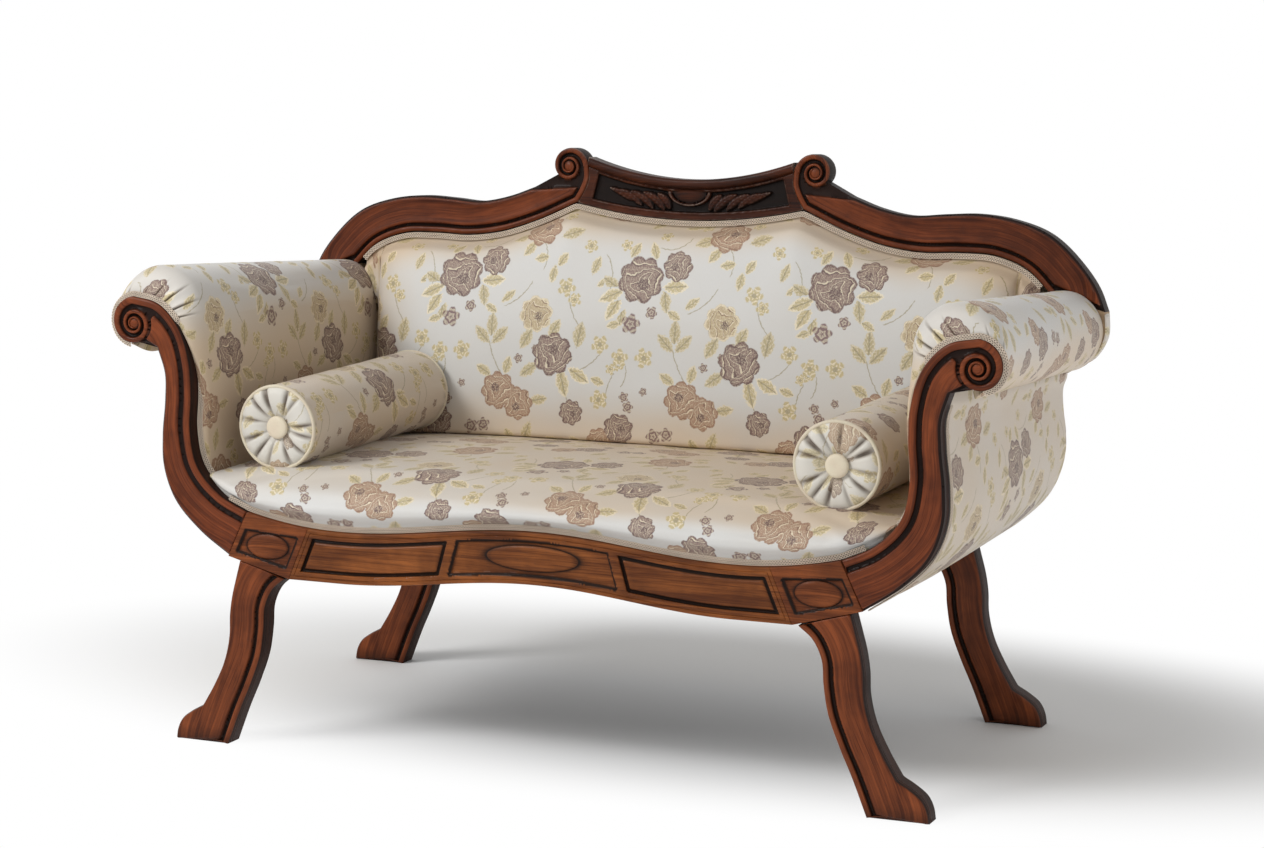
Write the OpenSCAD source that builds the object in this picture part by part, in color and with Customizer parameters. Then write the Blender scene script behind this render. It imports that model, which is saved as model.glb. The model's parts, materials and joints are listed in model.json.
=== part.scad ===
// Scroll-arm sofa on four sabre legs: a moulded show-wood frame with lyre-shaped arm
// facades and a broken-arch crest, sprung upholstery and two loose bolsters.
// The origin lies on the floor under the middle of the sofa. +X is to the right as one
// faces the sofa from the front, +Y points to its back and +Z points up.

/* [Seat frame] */
// Width between the two arm joints, along the top of the front rail
seat_w = 1022; // [940:2:1260]
// Front face of the arms to the front face of the back frame
seat_run = 628; // [560:1:720]
// Height of the front rail's lower edge beside the legs
rail_low = 288; // [250:1:320]
// Height of the front rail's face
rail_h = 83; // [76:1:96]
// Rise of the front rail towards its middle
rail_arch = 26; // [10:1:34]
// Thickness of the show-wood boards
board_t = 34; // [30:1:40]
// Width of a corner block at its top edge
block_w = 113; // [96:1:126]
// Thickness of the hidden side and back rails
inner_rail_t = 28; // [22:1:34]

/* [Legs] */
// Thickness of a leg, front to back
leg_t = 38; // [30:1:42]
// How far a toe stands outside the arm joint
leg_splay = 144; // [110:1:170]

/* [Arms] */
// Arm joint to the eye of the scroll, sideways
arm_reach = 207; // [196:1:230]
// Front rail's lower edge to the eye of the scroll
arm_rise = 405; // [385:1:440]
// Radius of the arm scroll, eye to its top
scroll_r = 45; // [40:1:48]
// Radius of the stuffed arm roll at its front end
roll_front_r = 74; // [68:1:78]
// Radius of the stuffed arm roll at its rear end
roll_rear_r = 67; // [60:1:70]
// How far the arm roll falls from front to back
roll_fall = 39; // [20:1:50]

/* [Back] */
// Lean of the back frame, in degrees
rake = 3.2; // [0:0.1:6]
// Arm joint to the eye of the crest scroll, upwards
crest_rise = 531; // [500:1:580]
// Middle of the sofa to the eye of the crest scroll
crest_eye_x = 230; // [200:1:260]
// Radius of the crest scroll, eye to its inner side
crest_scroll_r = 38; // [34:1:42]
// Height of the crest tablet in its middle
tablet_h = 70; // [62:1:76]

/* [Moulding] */
// Width of the bead along the inner edges
bead_w = 13; // [10:1:15]
// Width of the sunk groove beside a bead
groove_w = 8; // [5:1:9]
// Depth of grooves and sunk panels
groove_d = 5; // [3:1:7]

/* [Upholstery] */
// Height of the seat's crown above the floor
seat_z = 462; // [450:1:480]
// Depth of the back padding in front of its frame, at the seat
back_pad_t = 78; // [60:1:90]
// Thickness of the covering fabric
cover_t = 2.5; // [1.5:0.5:3]
// Width of the gimp braid
gimp_w = 10; // [7:1:12]

/* [Bolsters] */
// Radius of a bolster
bolster_r = 71; // [62:1:74]
// Length of a bolster
bolster_l = 478; // [400:1:486]
// Middle of the sofa to a bolster's axis
bolster_x = 484; // [440:1:500]
// Radius of a bolster's end button
button_r = 19; // [14:1:24]

/* [Hidden] */

$fn = 48;

// Gap between pieces that lie on each other
fit_gap = 0.3;
// How far a cut runs past the face that it opens
overrun = 2;
// Points per stretch of a spline
curve_steps = 6;

// Places along the seat frame
joint_x = seat_w / 2;
rail_high = rail_low + rail_h;
// Share of the arm's rise at which the arm joint meets the rail's top edge
joint_rise_share = 0.259;
joint_z = rail_low + joint_rise_share * arm_rise;
// How far the arm joint leans outwards, and how far its foot lies over the rail's lower edge
joint_lean = 36;
joint_foot = 30;
// Sideways lean of the block's and the inner panel ends, for each unit of drop
block_lean_share = 0.43;
panel_lean_share = 0.29;
block_x = joint_x - block_w;
// Share of the rail's half width over which it dips from its middle
dip_share = 0.665;
dip_x = dip_share * joint_x;
eye_x = joint_x + arm_reach;
eye_z = rail_low + arm_rise;

// The leaning back frame: its top rear edge sets the sofa's depth
crest_top_share = 0.85;
crest_top = crest_rise + crest_top_share * crest_scroll_r;
// Forward reach of the seat's edge before the front of the show-wood
seat_bulge = 9;
overall_d = seat_bulge + seat_run + board_t * cos(rake) + crest_top * sin(rake);
front_y = seat_bulge - overall_d / 2;
back_y = front_y + seat_run;

// Points and curves
function backwards(v) = [for (i = [len(v) - 1 : -1 : 0]) v[i]];
function cumulate(v, i = 0, sum = 0) =
    i == len(v) ? [] : concat([sum + v[i]], cumulate(v, i + 1, sum + v[i]));
function mixed(a, b, t) = a + (b - a) * t;
function clamped(t) = max(0, min(1, t));
function chord(p, i) = norm(p[i + 1] - p[i]);
function slope_at(p, i) =
    i == 0 ? (p[1] - p[0]) / chord(p, 0)
    : i == len(p) - 1 ? (p[i] - p[i - 1]) / chord(p, i - 1)
    : ((p[i] - p[i - 1]) / chord(p, i - 1) * chord(p, i)
        + (p[i + 1] - p[i]) / chord(p, i) * chord(p, i - 1)) / (chord(p, i) + chord(p, i - 1));
function hermite(a, b, ta, tb, t) =
    a * (2 * t * t * t - 3 * t * t + 1) + ta * (t * t * t - 2 * t * t + t)
    + b * (3 * t * t - 2 * t * t * t) + tb * (t * t * t - t * t);
// A smooth curve through hand-placed points
function spline(p, steps = curve_steps) = concat(
    [for (i = [0 : len(p) - 2]) for (k = [0 : steps - 1])
        hermite(p[i], p[i + 1], slope_at(p, i) * chord(p, i), slope_at(p, i + 1) * chord(p, i),
            k / steps)],
    [p[len(p) - 1]]);
function left_normal(p, i) = let (
        a = p[max(0, i - 1)],
        b = p[min(len(p) - 1, i + 1)],
        d = (b - a) / norm(b - a)
    ) [-d[1], d[0]];
// A curve moved sideways, to the left of its own direction
function beside(p, d) = [for (i = [0 : len(p) - 1]) p[i] + d * left_normal(p, i)];
function placed(shares, origin, size) =
    [for (s = shares) [origin[0] + s[0] * size[0], origin[1] + s[1] * size[1]]];
function run_lengths(p) = concat([0], cumulate([for (i = [0 : len(p) - 2]) chord(p, i)]));
// The point at a share of a curve's length
function along(p, share, runs) = let (
        goal = share * runs[len(runs) - 1],
        k = min(len(p) - 2, max([0, for (i = [0 : len(p) - 2]) if (runs[i] <= goal) i]))
    ) mixed(p[k], p[k + 1], clamped((goal - runs[k]) / chord(p, k)));

// Cuts a flat ring of points into triangles, ear by ear, n being its normal
function ring_normal(r, i = 0, n = [0, 0, 0]) = i == len(r) ? n
    : ring_normal(r, i + 1, n + cross(r[i] - r[0], r[(i + 1) % len(r)] - r[0]));
function turns(a, b, c, n) = cross(b - a, c - b) * n;
function in_corner(q, a, b, c, n) = turns(a, b, q, n) >= 0 && turns(b, c, q, n) >= 0 && turns(c, a, q, n) >= 0;
function is_ear(r, ids, k, n) = let (m = len(ids), before = (k + m - 1) % m, after = (k + 1) % m,
        a = r[ids[before]], b = r[ids[k]], c = r[ids[after]])
    turns(a, b, c, n) > 0 && len([for (j = [0 : m - 1]) if (j != before && j != k && j != after
        && in_corner(r[ids[j]], a, b, c, n)) j]) == 0;
function without(v, k) = [for (i = [0 : len(v) - 1]) if (i != k) v[i]];
function ears(r, ids, n, k = 0) = len(ids) < 4 ? [ids]
    : k < len(ids) - 1 && !is_ear(r, ids, k, n) ? ears(r, ids, n, k + 1)
    : concat([[ids[(k + len(ids) - 1) % len(ids)], ids[k], ids[(k + 1) % len(ids)]]],
        ears(r, without(ids, k), n, max(0, k - 1)));
function middle(r) = [for (q = r) 1] * r / len(r);
// Twice the volume swept from ring to ring, with its sign
function swept(rings, j = 0, v = 0) = j == len(rings) - 1 ? v
    : swept(rings, j + 1, v + ring_normal(rings[j]) * (middle(rings[j + 1]) - middle(rings[j])));
function cap(r) = ears(r, [for (i = [0 : len(r) - 1]) i], ring_normal(r));

// A closed skin over rings of points, each ring with as many points as the next. A lining that
// faces another skin's inner side is cut along the other diagonals, so that the two stay apart.
// Whole ends are left as one face each.
module skin(shape, lining = false, whole = false) {
    rings = swept(shape) < 0 ? shape : [for (ring = shape) backwards(ring)];
    n = len(rings[0]);
    m = len(rings);
    ring_ids = [for (i = [0 : n - 1]) i];
    polyhedron(
        points = [for (ring = rings) for (q = ring) q],
        faces = concat(
            [for (f = whole ? [ring_ids] : cap(rings[0])) backwards(f)],
            [for (j = [0 : m - 2]) for (i = [0 : n - 1]) let (k = (i + 1) % n) each lining
                ? [[j * n + i, j * n + k, (j + 1) * n + k], [j * n + i, (j + 1) * n + k, (j + 1) * n + i]]
                : [[j * n + i, j * n + k, (j + 1) * n + i], [j * n + k, (j + 1) * n + k, (j + 1) * n + i]]],
            [for (f = whole ? [ring_ids] : cap(rings[m - 1])) [for (i = f) (m - 1) * n + i]]
        )
    );
}

// A flat outline in the X-Z plane, given a thickness towards the back
module board(outline, y, t) {
    translate([0, y + t, 0]) rotate([90, 0, 0]) linear_extrude(height = t) polygon(outline);
}

// The same, cut off at the edge of the board that carries it
module moulding(outline, edge, y, t) {
    translate([0, y + t, 0]) rotate([90, 0, 0]) linear_extrude(height = t) intersection() {
        polygon(outline);
        polygon(edge);
    }
}

module on_left() {
    mirror([1, 0, 0]) children();
}

module leaning() {
    translate([0, back_y, joint_z]) rotate([-rake, 0, 0]) children();
}

// Front rail: serpentine in its height, with sunk panels and raised ovals
function dip(x) = rail_arch * (1 + cos(180 * min(1, abs(x) / dip_x))) / 2;
function rail_top_z(x) = rail_high + dip(x)
    + (joint_z - rail_high) * pow(max(0, abs(x) - dip_x) / (joint_x - dip_x), 2);
block_foot_x = block_x + block_lean_share * (rail_top_z(block_x) - rail_low);
function rail_foot_z(x) = rail_low + dip(x)
    + joint_foot * max(0, abs(x) - block_foot_x) / (joint_x + joint_lean - block_foot_x);
rail_steps = 40;
rail_outline = concat(
    [for (k = [0 : rail_steps]) let (x = mixed(-block_x, block_x, k / rail_steps)) [x, rail_top_z(x)]],
    [for (k = [0 : rail_steps]) let (x = mixed(block_foot_x, -block_foot_x, k / rail_steps))
        [x, rail_foot_z(x)]]);

// Border of plain wood round a panel, and the joint lines between the panels
panel_border = 13;
// Places of the panel ends along the rail's top, as shares of the width between the joints
centre_end_share = 0.255;
side_start_share = 0.285;
side_end_share = 0.765;
oval_w_share = 0.157;
oval_h_share = 0.52;
panel_steps = 10;
function panel(x0, x1, lean0, lean1, inset) = let (
        top = panel_border + inset,
        low = panel_border + inset,
        a = x0 + inset,
        b = x1 - inset,
        tall = rail_h - top - low
    ) concat(
        [for (k = [0 : panel_steps]) let (x = mixed(a, b, k / panel_steps)) [x, rail_top_z(x) - top]],
        [for (k = [0 : panel_steps])
            let (x = mixed(b + lean1 * tall, a + lean0 * tall, k / panel_steps))
            [x, rail_foot_z(x) + low]]);
centre_end_x = centre_end_share * joint_x;
side_start_x = side_start_share * joint_x;
side_end_x = side_end_share * joint_x;

module sunk(y = front_y) {
    translate([0, y + groove_d, 0]) rotate([90, 0, 0])
        linear_extrude(height = groove_d + overrun) children();
}

module side_panel_groove() {
    difference() {
        polygon(panel(side_start_x, side_end_x, panel_lean_share, block_lean_share, 0));
        polygon(panel(side_start_x, side_end_x, panel_lean_share, block_lean_share, groove_w));
    }
}

module front_rail() {
    color("saddlebrown") difference() {
        board(rail_outline, front_y, board_t);
        sunk() side_panel_groove();
        sunk() mirror([1, 0, 0]) side_panel_groove();
        sunk() difference() {
            polygon(panel(-centre_end_x, centre_end_x, -panel_lean_share, panel_lean_share, 0));
            oval_points([0, rail_low + rail_arch + rail_h / 2],
                oval_w_share * seat_w, oval_h_share * rail_h);
        }
    }
}

oval_steps = 48;
module oval_points(centre, w, h) {
    polygon([for (k = [0 : oval_steps - 1]) let (a = 360 * k / oval_steps)
        centre + [w / 2 * cos(a), h / 2 * sin(a)]]);
}

// Corner block: joins the rail, the arm facade and the leg
block_top_steps = 6;
block_outline = concat(
    [for (k = [0 : block_top_steps]) let (x = mixed(block_x, joint_x, k / block_top_steps))
        [x, rail_top_z(x)]],
    [[joint_x + joint_lean, rail_low + joint_foot], [block_foot_x, rail_low]]);
block_recess_shares = [[0.09, 0.16], [0.92, 0.14], [0.92, 0.64], [0.09, 0.80]];
function in_block(s) = mixed(
    mixed([block_foot_x, rail_low], [joint_x + joint_lean, rail_low + joint_foot], s[0]),
    mixed([block_x, rail_top_z(block_x)], [joint_x, joint_z], s[0]), s[1]);
block_oval_share = [0.5, 0.44];
block_oval_w_share = 0.68;

module corner_block(y) {
    color("sienna") difference() {
        board(block_outline, y, board_t);
        sunk(y) difference() {
            polygon([for (s = block_recess_shares) in_block(s)]);
            oval_points(in_block(block_oval_share), block_oval_w_share * block_w,
                oval_h_share * rail_h);
        }
        leg_dowel_set(y, dowel_r + fit_slide);
    }
}
module right_corner_block() { corner_block(front_y); }
module left_corner_block() { on_left() right_corner_block(); }

// Arm facade: a lyre-shaped board with a bead that winds into a scroll at its top
facade_inner_shares = [[0, 0.259], [0.25, 0.321], [0.45, 0.43], [0.51, 0.573], [0.494, 0.72],
    [0.507, 0.85], [0.60, 0.995], [0.78, 1.086]];
facade_outer_shares = [[0.797, 0.906], [0.734, 0.80], [0.737, 0.70], [0.768, 0.55], [0.766, 0.43],
    [0.676, 0.296], [0.444, 0.168]];
// A scroll turns about its eye and shrinks to this share of its radius in each full turn
spiral_share = 0.51;
// Share of a scroll's radius at which its bead ends and its groove starts
bead_share = 0.72;
scroll_turn = 620;
scroll_step = 12;
function scroll_radius(r, a) = r * pow(spiral_share, a / 360);
// Points of a scroll from its start, turning clockwise by a degrees from a start direction
function scroll_point(eye, r, start, a) = eye
    + scroll_radius(r, a) * [cos(start - a), sin(start - a)];
arm_origin = [joint_x, rail_low];
arm_size = [arm_reach, arm_rise];
arm_eye = [eye_x, eye_z];
facade_inner = spline(concat(placed(facade_inner_shares, arm_origin, arm_size),
    [arm_eye + [0, scroll_r]]));
facade_outer = spline(concat(placed(facade_outer_shares, arm_origin, arm_size),
    [[joint_x + joint_lean, rail_low + joint_foot]]));
outer_scroll_turn = 192;
facade_outline = concat(facade_inner,
    [for (a = [scroll_step : scroll_step : outer_scroll_turn]) scroll_point(arm_eye, scroll_r, 90, a)],
    facade_outer);
function scroll_band(inner_path, eye, r, start, turn, w) = concat(
    inner_path,
    [for (a = [scroll_step : scroll_step : turn]) scroll_point(eye, r, start, a)],
    [for (a = [turn : -scroll_step : scroll_step]) scroll_point(eye, r * bead_share, start, a)],
    backwards(beside(inner_path, -w)));
facade_bead = scroll_band(facade_inner, arm_eye, scroll_r, 90, scroll_turn, bead_w);
// Width of the plain edge outside the broad band
band_edge = 3;
// The broad band beside the groove ends in a point that tucks in beside the scroll
band_start = 6;
facade_band_inner = [for (i = [0 : len(facade_inner) - 1 - band_start])
    beside(facade_inner, -bead_w - groove_w)[i]];
band_end_a = 165;
band_low_a = 232;
band_a_step = 11;
band_clear = 6;
function about_eye(a, r) = arm_eye + r * [cos(a), sin(a)];
volute_side_a = 270;
volute_side_r = scroll_radius(scroll_r, volute_side_a) + band_clear;
facade_band = concat(facade_band_inner,
    [for (a = [band_end_a : band_a_step : band_low_a]) about_eye(a, volute_side_r)],
    beside(facade_outer, -band_edge));
eye_share = 0.22;

module lyre_face(y) {
    moulding(facade_bead, facade_outline, y, groove_d);
    moulding(facade_band, facade_outline, y, groove_d);
    translate([arm_eye[0], y + groove_d, arm_eye[1]]) rotate([90, 0, 0])
        cylinder(r = eye_share * scroll_r, h = groove_d);
}

module right_arm_facade() {
    color("sienna") {
        board(facade_outline, front_y + groove_d, board_t - groove_d);
        lyre_face(front_y);
    }
}
module left_arm_facade() { on_left() right_arm_facade(); }

// Sabre leg: a thick board sawn to an S, its toe turned outwards, with a beaded inner edge
leg_outer_shares = [[0.10, 1.10], [0.17, 0.975], [0.225, 0.87], [0.257, 0.77], [0.27, 0.64], [0.34, 0.493],
    [0.486, 0.34], [0.64, 0.213]];
leg_toe_shares = [[0.80, 0.168], [0.917, 0.122], [0.98, 0.06], [1, 0]];
leg_inner_shares = [[0.3125, 0], [0.146, 0.208], [-0.007, 0.378], [-0.132, 0.549],
    [-0.18, 0.694], [-0.208, 0.833], [-0.306, 0.93], [-0.47, 0.998]];
leg_size = [leg_splay, rail_low];
leg_origin = [joint_x, 0];
leg_ankle = len(leg_outer_shares) - 1;
leg_outer = concat(spline(placed(leg_outer_shares, leg_origin, leg_size)),
    spline(concat([placed(leg_outer_shares, leg_origin, leg_size)[leg_ankle]],
        placed(leg_toe_shares, leg_origin, leg_size))));
leg_inner = spline(placed(leg_inner_shares, leg_origin, leg_size));
leg_bead_w = 10;
leg_groove_w = 8;
// Height of the leg's top edge over a point of the block's lower edge
function under_block(x) = rail_foot_z(x) - fit_gap;
leg_outline = concat(
    [for (q = leg_outer) [q[0], min(q[1], under_block(q[0]))]],
    [for (q = leg_inner) [q[0], min(q[1], under_block(q[0]))]]);

module leg(y, t) {
    color("sienna") difference() {
        board(leg_outline, y, t);
        sunk(y) polygon(concat(beside(leg_inner, -leg_bead_w),
            backwards(beside(leg_inner, -leg_bead_w - leg_groove_w))));
        leg_dowel_set(y, dowel_r + fit_slide);
    }
}
module right_front_leg() { leg(front_y, leg_t); }
module left_front_leg() { on_left() right_front_leg(); }
module right_rear_leg() { leg(back_y, leg_t); }
module left_rear_leg() { on_left() right_rear_leg(); }

// Hidden seat frame
outer_knee = [for (q = facade_outer) if (q[1] < joint_z - 1 / curve_steps) q];
knee_x = lookup(joint_z, [for (i = [len(facade_outer) - 1 : -1 : 0])
    [facade_outer[i][1], facade_outer[i][0]]]);
rear_block_outline = concat(
    [for (k = [0 : block_top_steps]) let (x = mixed(block_x, joint_x, k / block_top_steps))
        [x, rail_top_z(x)]],
    [[knee_x, joint_z]], outer_knee, [[block_foot_x, rail_low]]);
module right_rear_block() {
    color("burlywood") difference() {
        board(rear_block_outline, back_y, board_t);
        leg_dowel_set(back_y, dowel_r + fit_slide);
    }
}
module left_rear_block() { on_left() right_rear_block(); }

// The seat webbing is tacked under the hidden rails and a batten behind the front rail
side_rail_x = joint_x - inner_rail_t / 2;
side_rail_y0 = front_y + board_t;
web_z = rail_foot_z(side_rail_x + inner_rail_t);
function block_edge_x(z) = block_foot_x - block_lean_share * (z - rail_low);
module back_rail() {
    color("burlywood") board([[-block_edge_x(rail_high), rail_high],
        [block_edge_x(rail_high), rail_high], [block_edge_x(web_z), web_z],
        [-block_edge_x(web_z), web_z]], back_y, inner_rail_t);
}
batten_t = 18;
batten_h = 20;
module web_batten() {
    color("burlywood") translate([-side_rail_x, side_rail_y0, web_z])
        cube([2 * side_rail_x, batten_t, batten_h]);
}

// Side rail: stands between the front and rear blocks, close to their outer edge
module right_side_rail() {
    color("burlywood") translate([side_rail_x, side_rail_y0, web_z])
        cube([inner_rail_t, back_y - side_rail_y0, rail_high - web_z]);
}
module left_side_rail() { on_left() right_side_rail(); }

// Corner braces: four triangular blocks in the corners of the seat frame
brace_leg = 70;
brace_h = 30;
module corner_brace() {
    linear_extrude(height = brace_h) polygon([[0, 0], [-brace_leg, 0], [0, brace_leg]]);
}
module corner_braces() {
    color("burlywood") for (side = [0, 1]) mirror([side, 0, 0]) {
        translate([side_rail_x, side_rail_y0, rail_high - brace_h]) corner_brace();
        translate([side_rail_x, back_y, rail_high - brace_h]) mirror([0, 1, 0]) corner_brace();
    }
}

// Dowels: two from each leg up into its block, and one across each joint of the crest
dowel_r = 5;
dowel_half = 28;
fit_slide = 0.05;
leg_dowel_places = [[joint_x - 0.29 * block_w, 0.5], [joint_x + 0.01 * block_w, 0.5]];
module leg_dowel_set(y, r) {
    for (place = leg_dowel_places)
        translate([place[0], y + place[1] * board_t, under_block(place[0]) - dowel_half])
            cylinder(r = r, h = 2 * dowel_half);
}
module leg_dowels() {
    color("tan") for (side = [0, 1]) mirror([side, 0, 0]) {
        leg_dowel_set(front_y, dowel_r);
        leg_dowel_set(back_y, dowel_r);
    }
}

// Back frame, drawn upright over the arm joint and then leaned back
post_inner_shares = [[0, 0.259], [0.25, 0.321], [0.45, 0.43], [0.51, 0.573], [0.494, 0.72],
    [0.475, 0.86], [0.48, 0.955], [0.55, 1.04]];
post_outer_shares = [[1.12, 0.93], [1.02, 0.845], [0.87, 0.80], [0.76, 0.76], [0.737, 0.70],
    [0.768, 0.55], [0.766, 0.43], [0.676, 0.296], [0.444, 0.168]];
crest_foot_in = [joint_x + 0.67 * arm_reach, rail_low + 1.105 * arm_rise];
crest_foot_out = [joint_x + 1.12 * arm_reach, rail_low + 1.04 * arm_rise];
post_outline = concat(
    spline(concat(placed(post_inner_shares, arm_origin, arm_size), [crest_foot_in])),
    spline(concat([crest_foot_out], placed(post_outer_shares, arm_origin, arm_size))));

// The leaning frame is measured from the arm joint upwards
function from_joint(p) = [for (q = p) [q[0], q[1] - joint_z]];
module right_back_post() {
    color("burlywood") difference() {
        leaning() board(from_joint(post_outline), 0, board_t);
        translate([0, back_y - board_t, joint_z - crest_rise])
            cube([eye_x + arm_reach, 3 * board_t, crest_rise]);
        leaning() post_dowel(dowel_r + fit_slide);
    }
}
module left_back_post() { on_left() right_back_post(); }

dowel_depth_share = 0.6;
tablet_dowel_z = crest_rise - 1.15 * crest_scroll_r;
module post_dowel(r) {
    middle = (crest_foot_in + crest_foot_out) / 2 - [0, joint_z];
    tilt = atan2(crest_foot_out[1] - crest_foot_in[1], crest_foot_out[0] - crest_foot_in[0]);
    translate([middle[0], dowel_depth_share * board_t, middle[1]]) rotate([0, -tilt, 0])
        translate([0, 0, -dowel_half]) cylinder(r = r, h = 2 * dowel_half);
}
module tablet_dowel(r) {
    translate([crest_eye_x - 0.95 * crest_scroll_r - dowel_half, dowel_depth_share * board_t,
        tablet_dowel_z]) rotate([0, 90, 0]) cylinder(r = r, h = 2 * dowel_half);
}
module crest_dowels() {
    color("tan") leaning() for (side = [0, 1]) mirror([side, 0, 0]) {
        post_dowel(dowel_r);
        tablet_dowel(dowel_r);
    }
}

// Crest rails: an S-curved moulded rail on each side that winds into a scroll
crest_outer_shares = [[0.981, 0.167], [0.94, 0.36], [0.865, 0.585], [0.782, 0.685], [0.70, 0.72],
    [0.62, 0.708], [0.54, 0.69], [0.465, 0.74], [0.40, 0.82]];
crest_inner_shares = [[0.822, 0.30], [0.748, 0.402], [0.66, 0.418], [0.57, 0.41], [0.49, 0.445],
    [0.39, 0.55]];
crest_over = 24;
crest_size = [eye_x + crest_over, crest_rise - (crest_foot_out[1] - joint_z)];
crest_origin = [0, crest_foot_out[1] - joint_z];
crest_eye = [crest_eye_x, crest_rise];
cusp = [crest_eye_x - crest_scroll_r / 2, crest_rise - 1.64 * crest_scroll_r];
crest_inner = spline(concat([[crest_foot_in[0], crest_foot_in[1] - joint_z]],
    placed(crest_inner_shares, crest_origin, crest_size), [cusp]));
crest_throat = spline([cusp, crest_eye + crest_scroll_r * [-0.82, -1.1],
    crest_eye + crest_scroll_r * [-1.02, -0.55], crest_eye - [crest_scroll_r, 0]]);
crest_outer_turn = 216;
crest_outer = spline(concat(placed(backwards(crest_outer_shares), crest_origin, crest_size),
    [[crest_foot_out[0], crest_foot_out[1] - joint_z]]));
crest_edge = concat(crest_inner, [for (i = [1 : len(crest_throat) - 1]) crest_throat[i]]);
crest_outline = concat(crest_edge,
    [for (a = [scroll_step : scroll_step : crest_outer_turn])
        scroll_point(crest_eye, crest_scroll_r, 180, a)],
    crest_outer);
crest_turn = 560;
// The crest's mouldings are narrower than the arms'
crest_slim = 3;
crest_bead_w = bead_w - crest_slim;
crest_groove_w = groove_w - crest_slim;
crest_bead = scroll_band(crest_edge, crest_eye, crest_scroll_r, 180, crest_turn, crest_bead_w);
crest_band_start = 5;
crest_band_stop = 20;
crest_band = concat(
    [for (i = [crest_band_start : len(crest_edge) - crest_band_stop])
        beside(crest_edge, -crest_bead_w - crest_groove_w)[i]],
    [for (i = [1 : len(crest_outer) - crest_band_start]) beside(crest_outer, -band_edge)[i]]);

module right_crest_rail() {
    color("sienna") leaning() {
        difference() {
            board(crest_outline, groove_d, board_t - groove_d);
            post_dowel(dowel_r + fit_slide);
            tablet_dowel(dowel_r + fit_slide);
        }
        moulding(crest_bead, crest_outline, 0, groove_d);
        moulding(crest_band, crest_outline, 0, groove_d);
        translate([crest_eye[0], groove_d, crest_eye[1]]) rotate([90, 0, 0])
            cylinder(r = eye_share * crest_scroll_r, h = groove_d);
    }
}
module left_crest_rail() { on_left() right_crest_rail(); }

// Crest tablet: sunk field between the scrolls, under a rolled lip, with a half moon
tablet_rise = 29;
tablet_low_rise = 24;
tablet_drop = 17;
tablet_top_z = crest_rise - tablet_drop;
function tablet_top(x) = tablet_top_z + tablet_rise * pow(x / (crest_eye_x - 1.4 * crest_scroll_r), 2);
function tablet_foot(x) = tablet_top_z - tablet_h + tablet_low_rise * pow(x / cusp[0], 2);
tablet_side = [for (q = beside(crest_throat, fit_gap)) if (q[1] < tablet_top(q[0])) q];
tablet_end = tablet_side[len(tablet_side) - 1];
tablet_steps = 24;
tablet_outline = concat(
    [for (k = [0 : tablet_steps]) let (x = mixed(-tablet_end[0], tablet_end[0], k / tablet_steps))
        [x, tablet_top(x)]],
    backwards(tablet_side),
    [for (k = [1 : tablet_steps - 1]) let (x = mixed(cusp[0], -cusp[0], k / tablet_steps))
        [x, tablet_foot(x)]],
    [for (q = tablet_side) [-q[0], q[1]]]);
field_border = 12;
field_top = 22;
field_x = crest_eye_x - 1.5 * crest_scroll_r;
field_foot_x = crest_eye_x - 1.2 * crest_scroll_r;
field = concat(
    [for (k = [0 : tablet_steps]) let (x = mixed(-field_x, field_x, k / tablet_steps))
        [x, tablet_top(x) - field_top]],
    [for (k = [0 : tablet_steps]) let (x = mixed(field_foot_x, -field_foot_x, k / tablet_steps))
        [x, tablet_foot(x) + field_border]]);
moon_r = 40;
// The half moon is this share as tall as it is wide
moon_squash_share = 0.55;
module half_moon(r) {
    intersection() {
        translate([0, tablet_top(0) - field_top]) circle(r = r);
        translate([-r, tablet_top(0) - field_top - r]) square([2 * r, r]);
    }
}

module crest_tablet() {
    color("sienna") leaning() difference() {
        board(tablet_outline, 0, board_t);
        tablet_dowel(dowel_r + fit_slide);
        mirror([1, 0, 0]) tablet_dowel(dowel_r + fit_slide);
        sunk(0) difference() {
            polygon(field);
            intersection() {
                scale([1, moon_squash_share]) translate([0, (tablet_top(0) - field_top) * (1 / moon_squash_share - 1)])
                    half_moon(moon_r);
                polygon(field);
            }
        }
    }
}

// Stay rail and muntin of the back frame
stay_z = 28;
stay_h = 44;
stay_x = joint_x + 0.26 * arm_reach;
module stay_rail() {
    color("burlywood") leaning() translate([-stay_x, 0, stay_z]) cube([2 * stay_x, board_t, stay_h]);
}
muntin_w = 50;
// The muntin stands back behind the padding's tacked edge
muntin_in = 14;
module back_muntin() {
    color("burlywood") leaning() board(
        [[-muntin_w / 2, stay_z + stay_h], [muntin_w / 2, stay_z + stay_h],
        [muntin_w / 2, tablet_foot(0) - fit_gap], [-muntin_w / 2, tablet_foot(0) - fit_gap]],
        muntin_in, board_t - muntin_in);
}

// Places shared by the upholstery: the fabric starts just behind the show-wood
pad_y0 = front_y + board_t + fit_gap;
web_t = 1.5;
// Padding ends this far in front of the back frame, with the webbing between them
back_gap = web_t + 2 * fit_gap;
function frame_y(z) = back_y + (z - joint_z) * tan(rake);

// Arm board and arm rail carry the arm padding between the facade and the back post
roll_in = 36;
roll_up = 21;
roll_front = arm_eye + [-roll_in, roll_up];
roll_shift = 7;
roll_rear = roll_front + [-roll_shift, -roll_fall];
board_half_w = 34;
board_half_h = 11;
arm_board_y0 = front_y + board_t;
function box_ring(c, y0, t) = [for (q = [[-1, -1], [1, -1], [1, 1], [-1, 1]])
    let (z = c[1] + q[1] * board_half_h) [c[0] + q[0] * board_half_w, mixed(y0, frame_y(z), t), z]];
module right_arm_board() {
    color("burlywood") skin([box_ring(roll_front, arm_board_y0, 0), box_ring(roll_rear, arm_board_y0, 1)]);
}
module left_arm_board() { on_left() right_arm_board(); }

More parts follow.
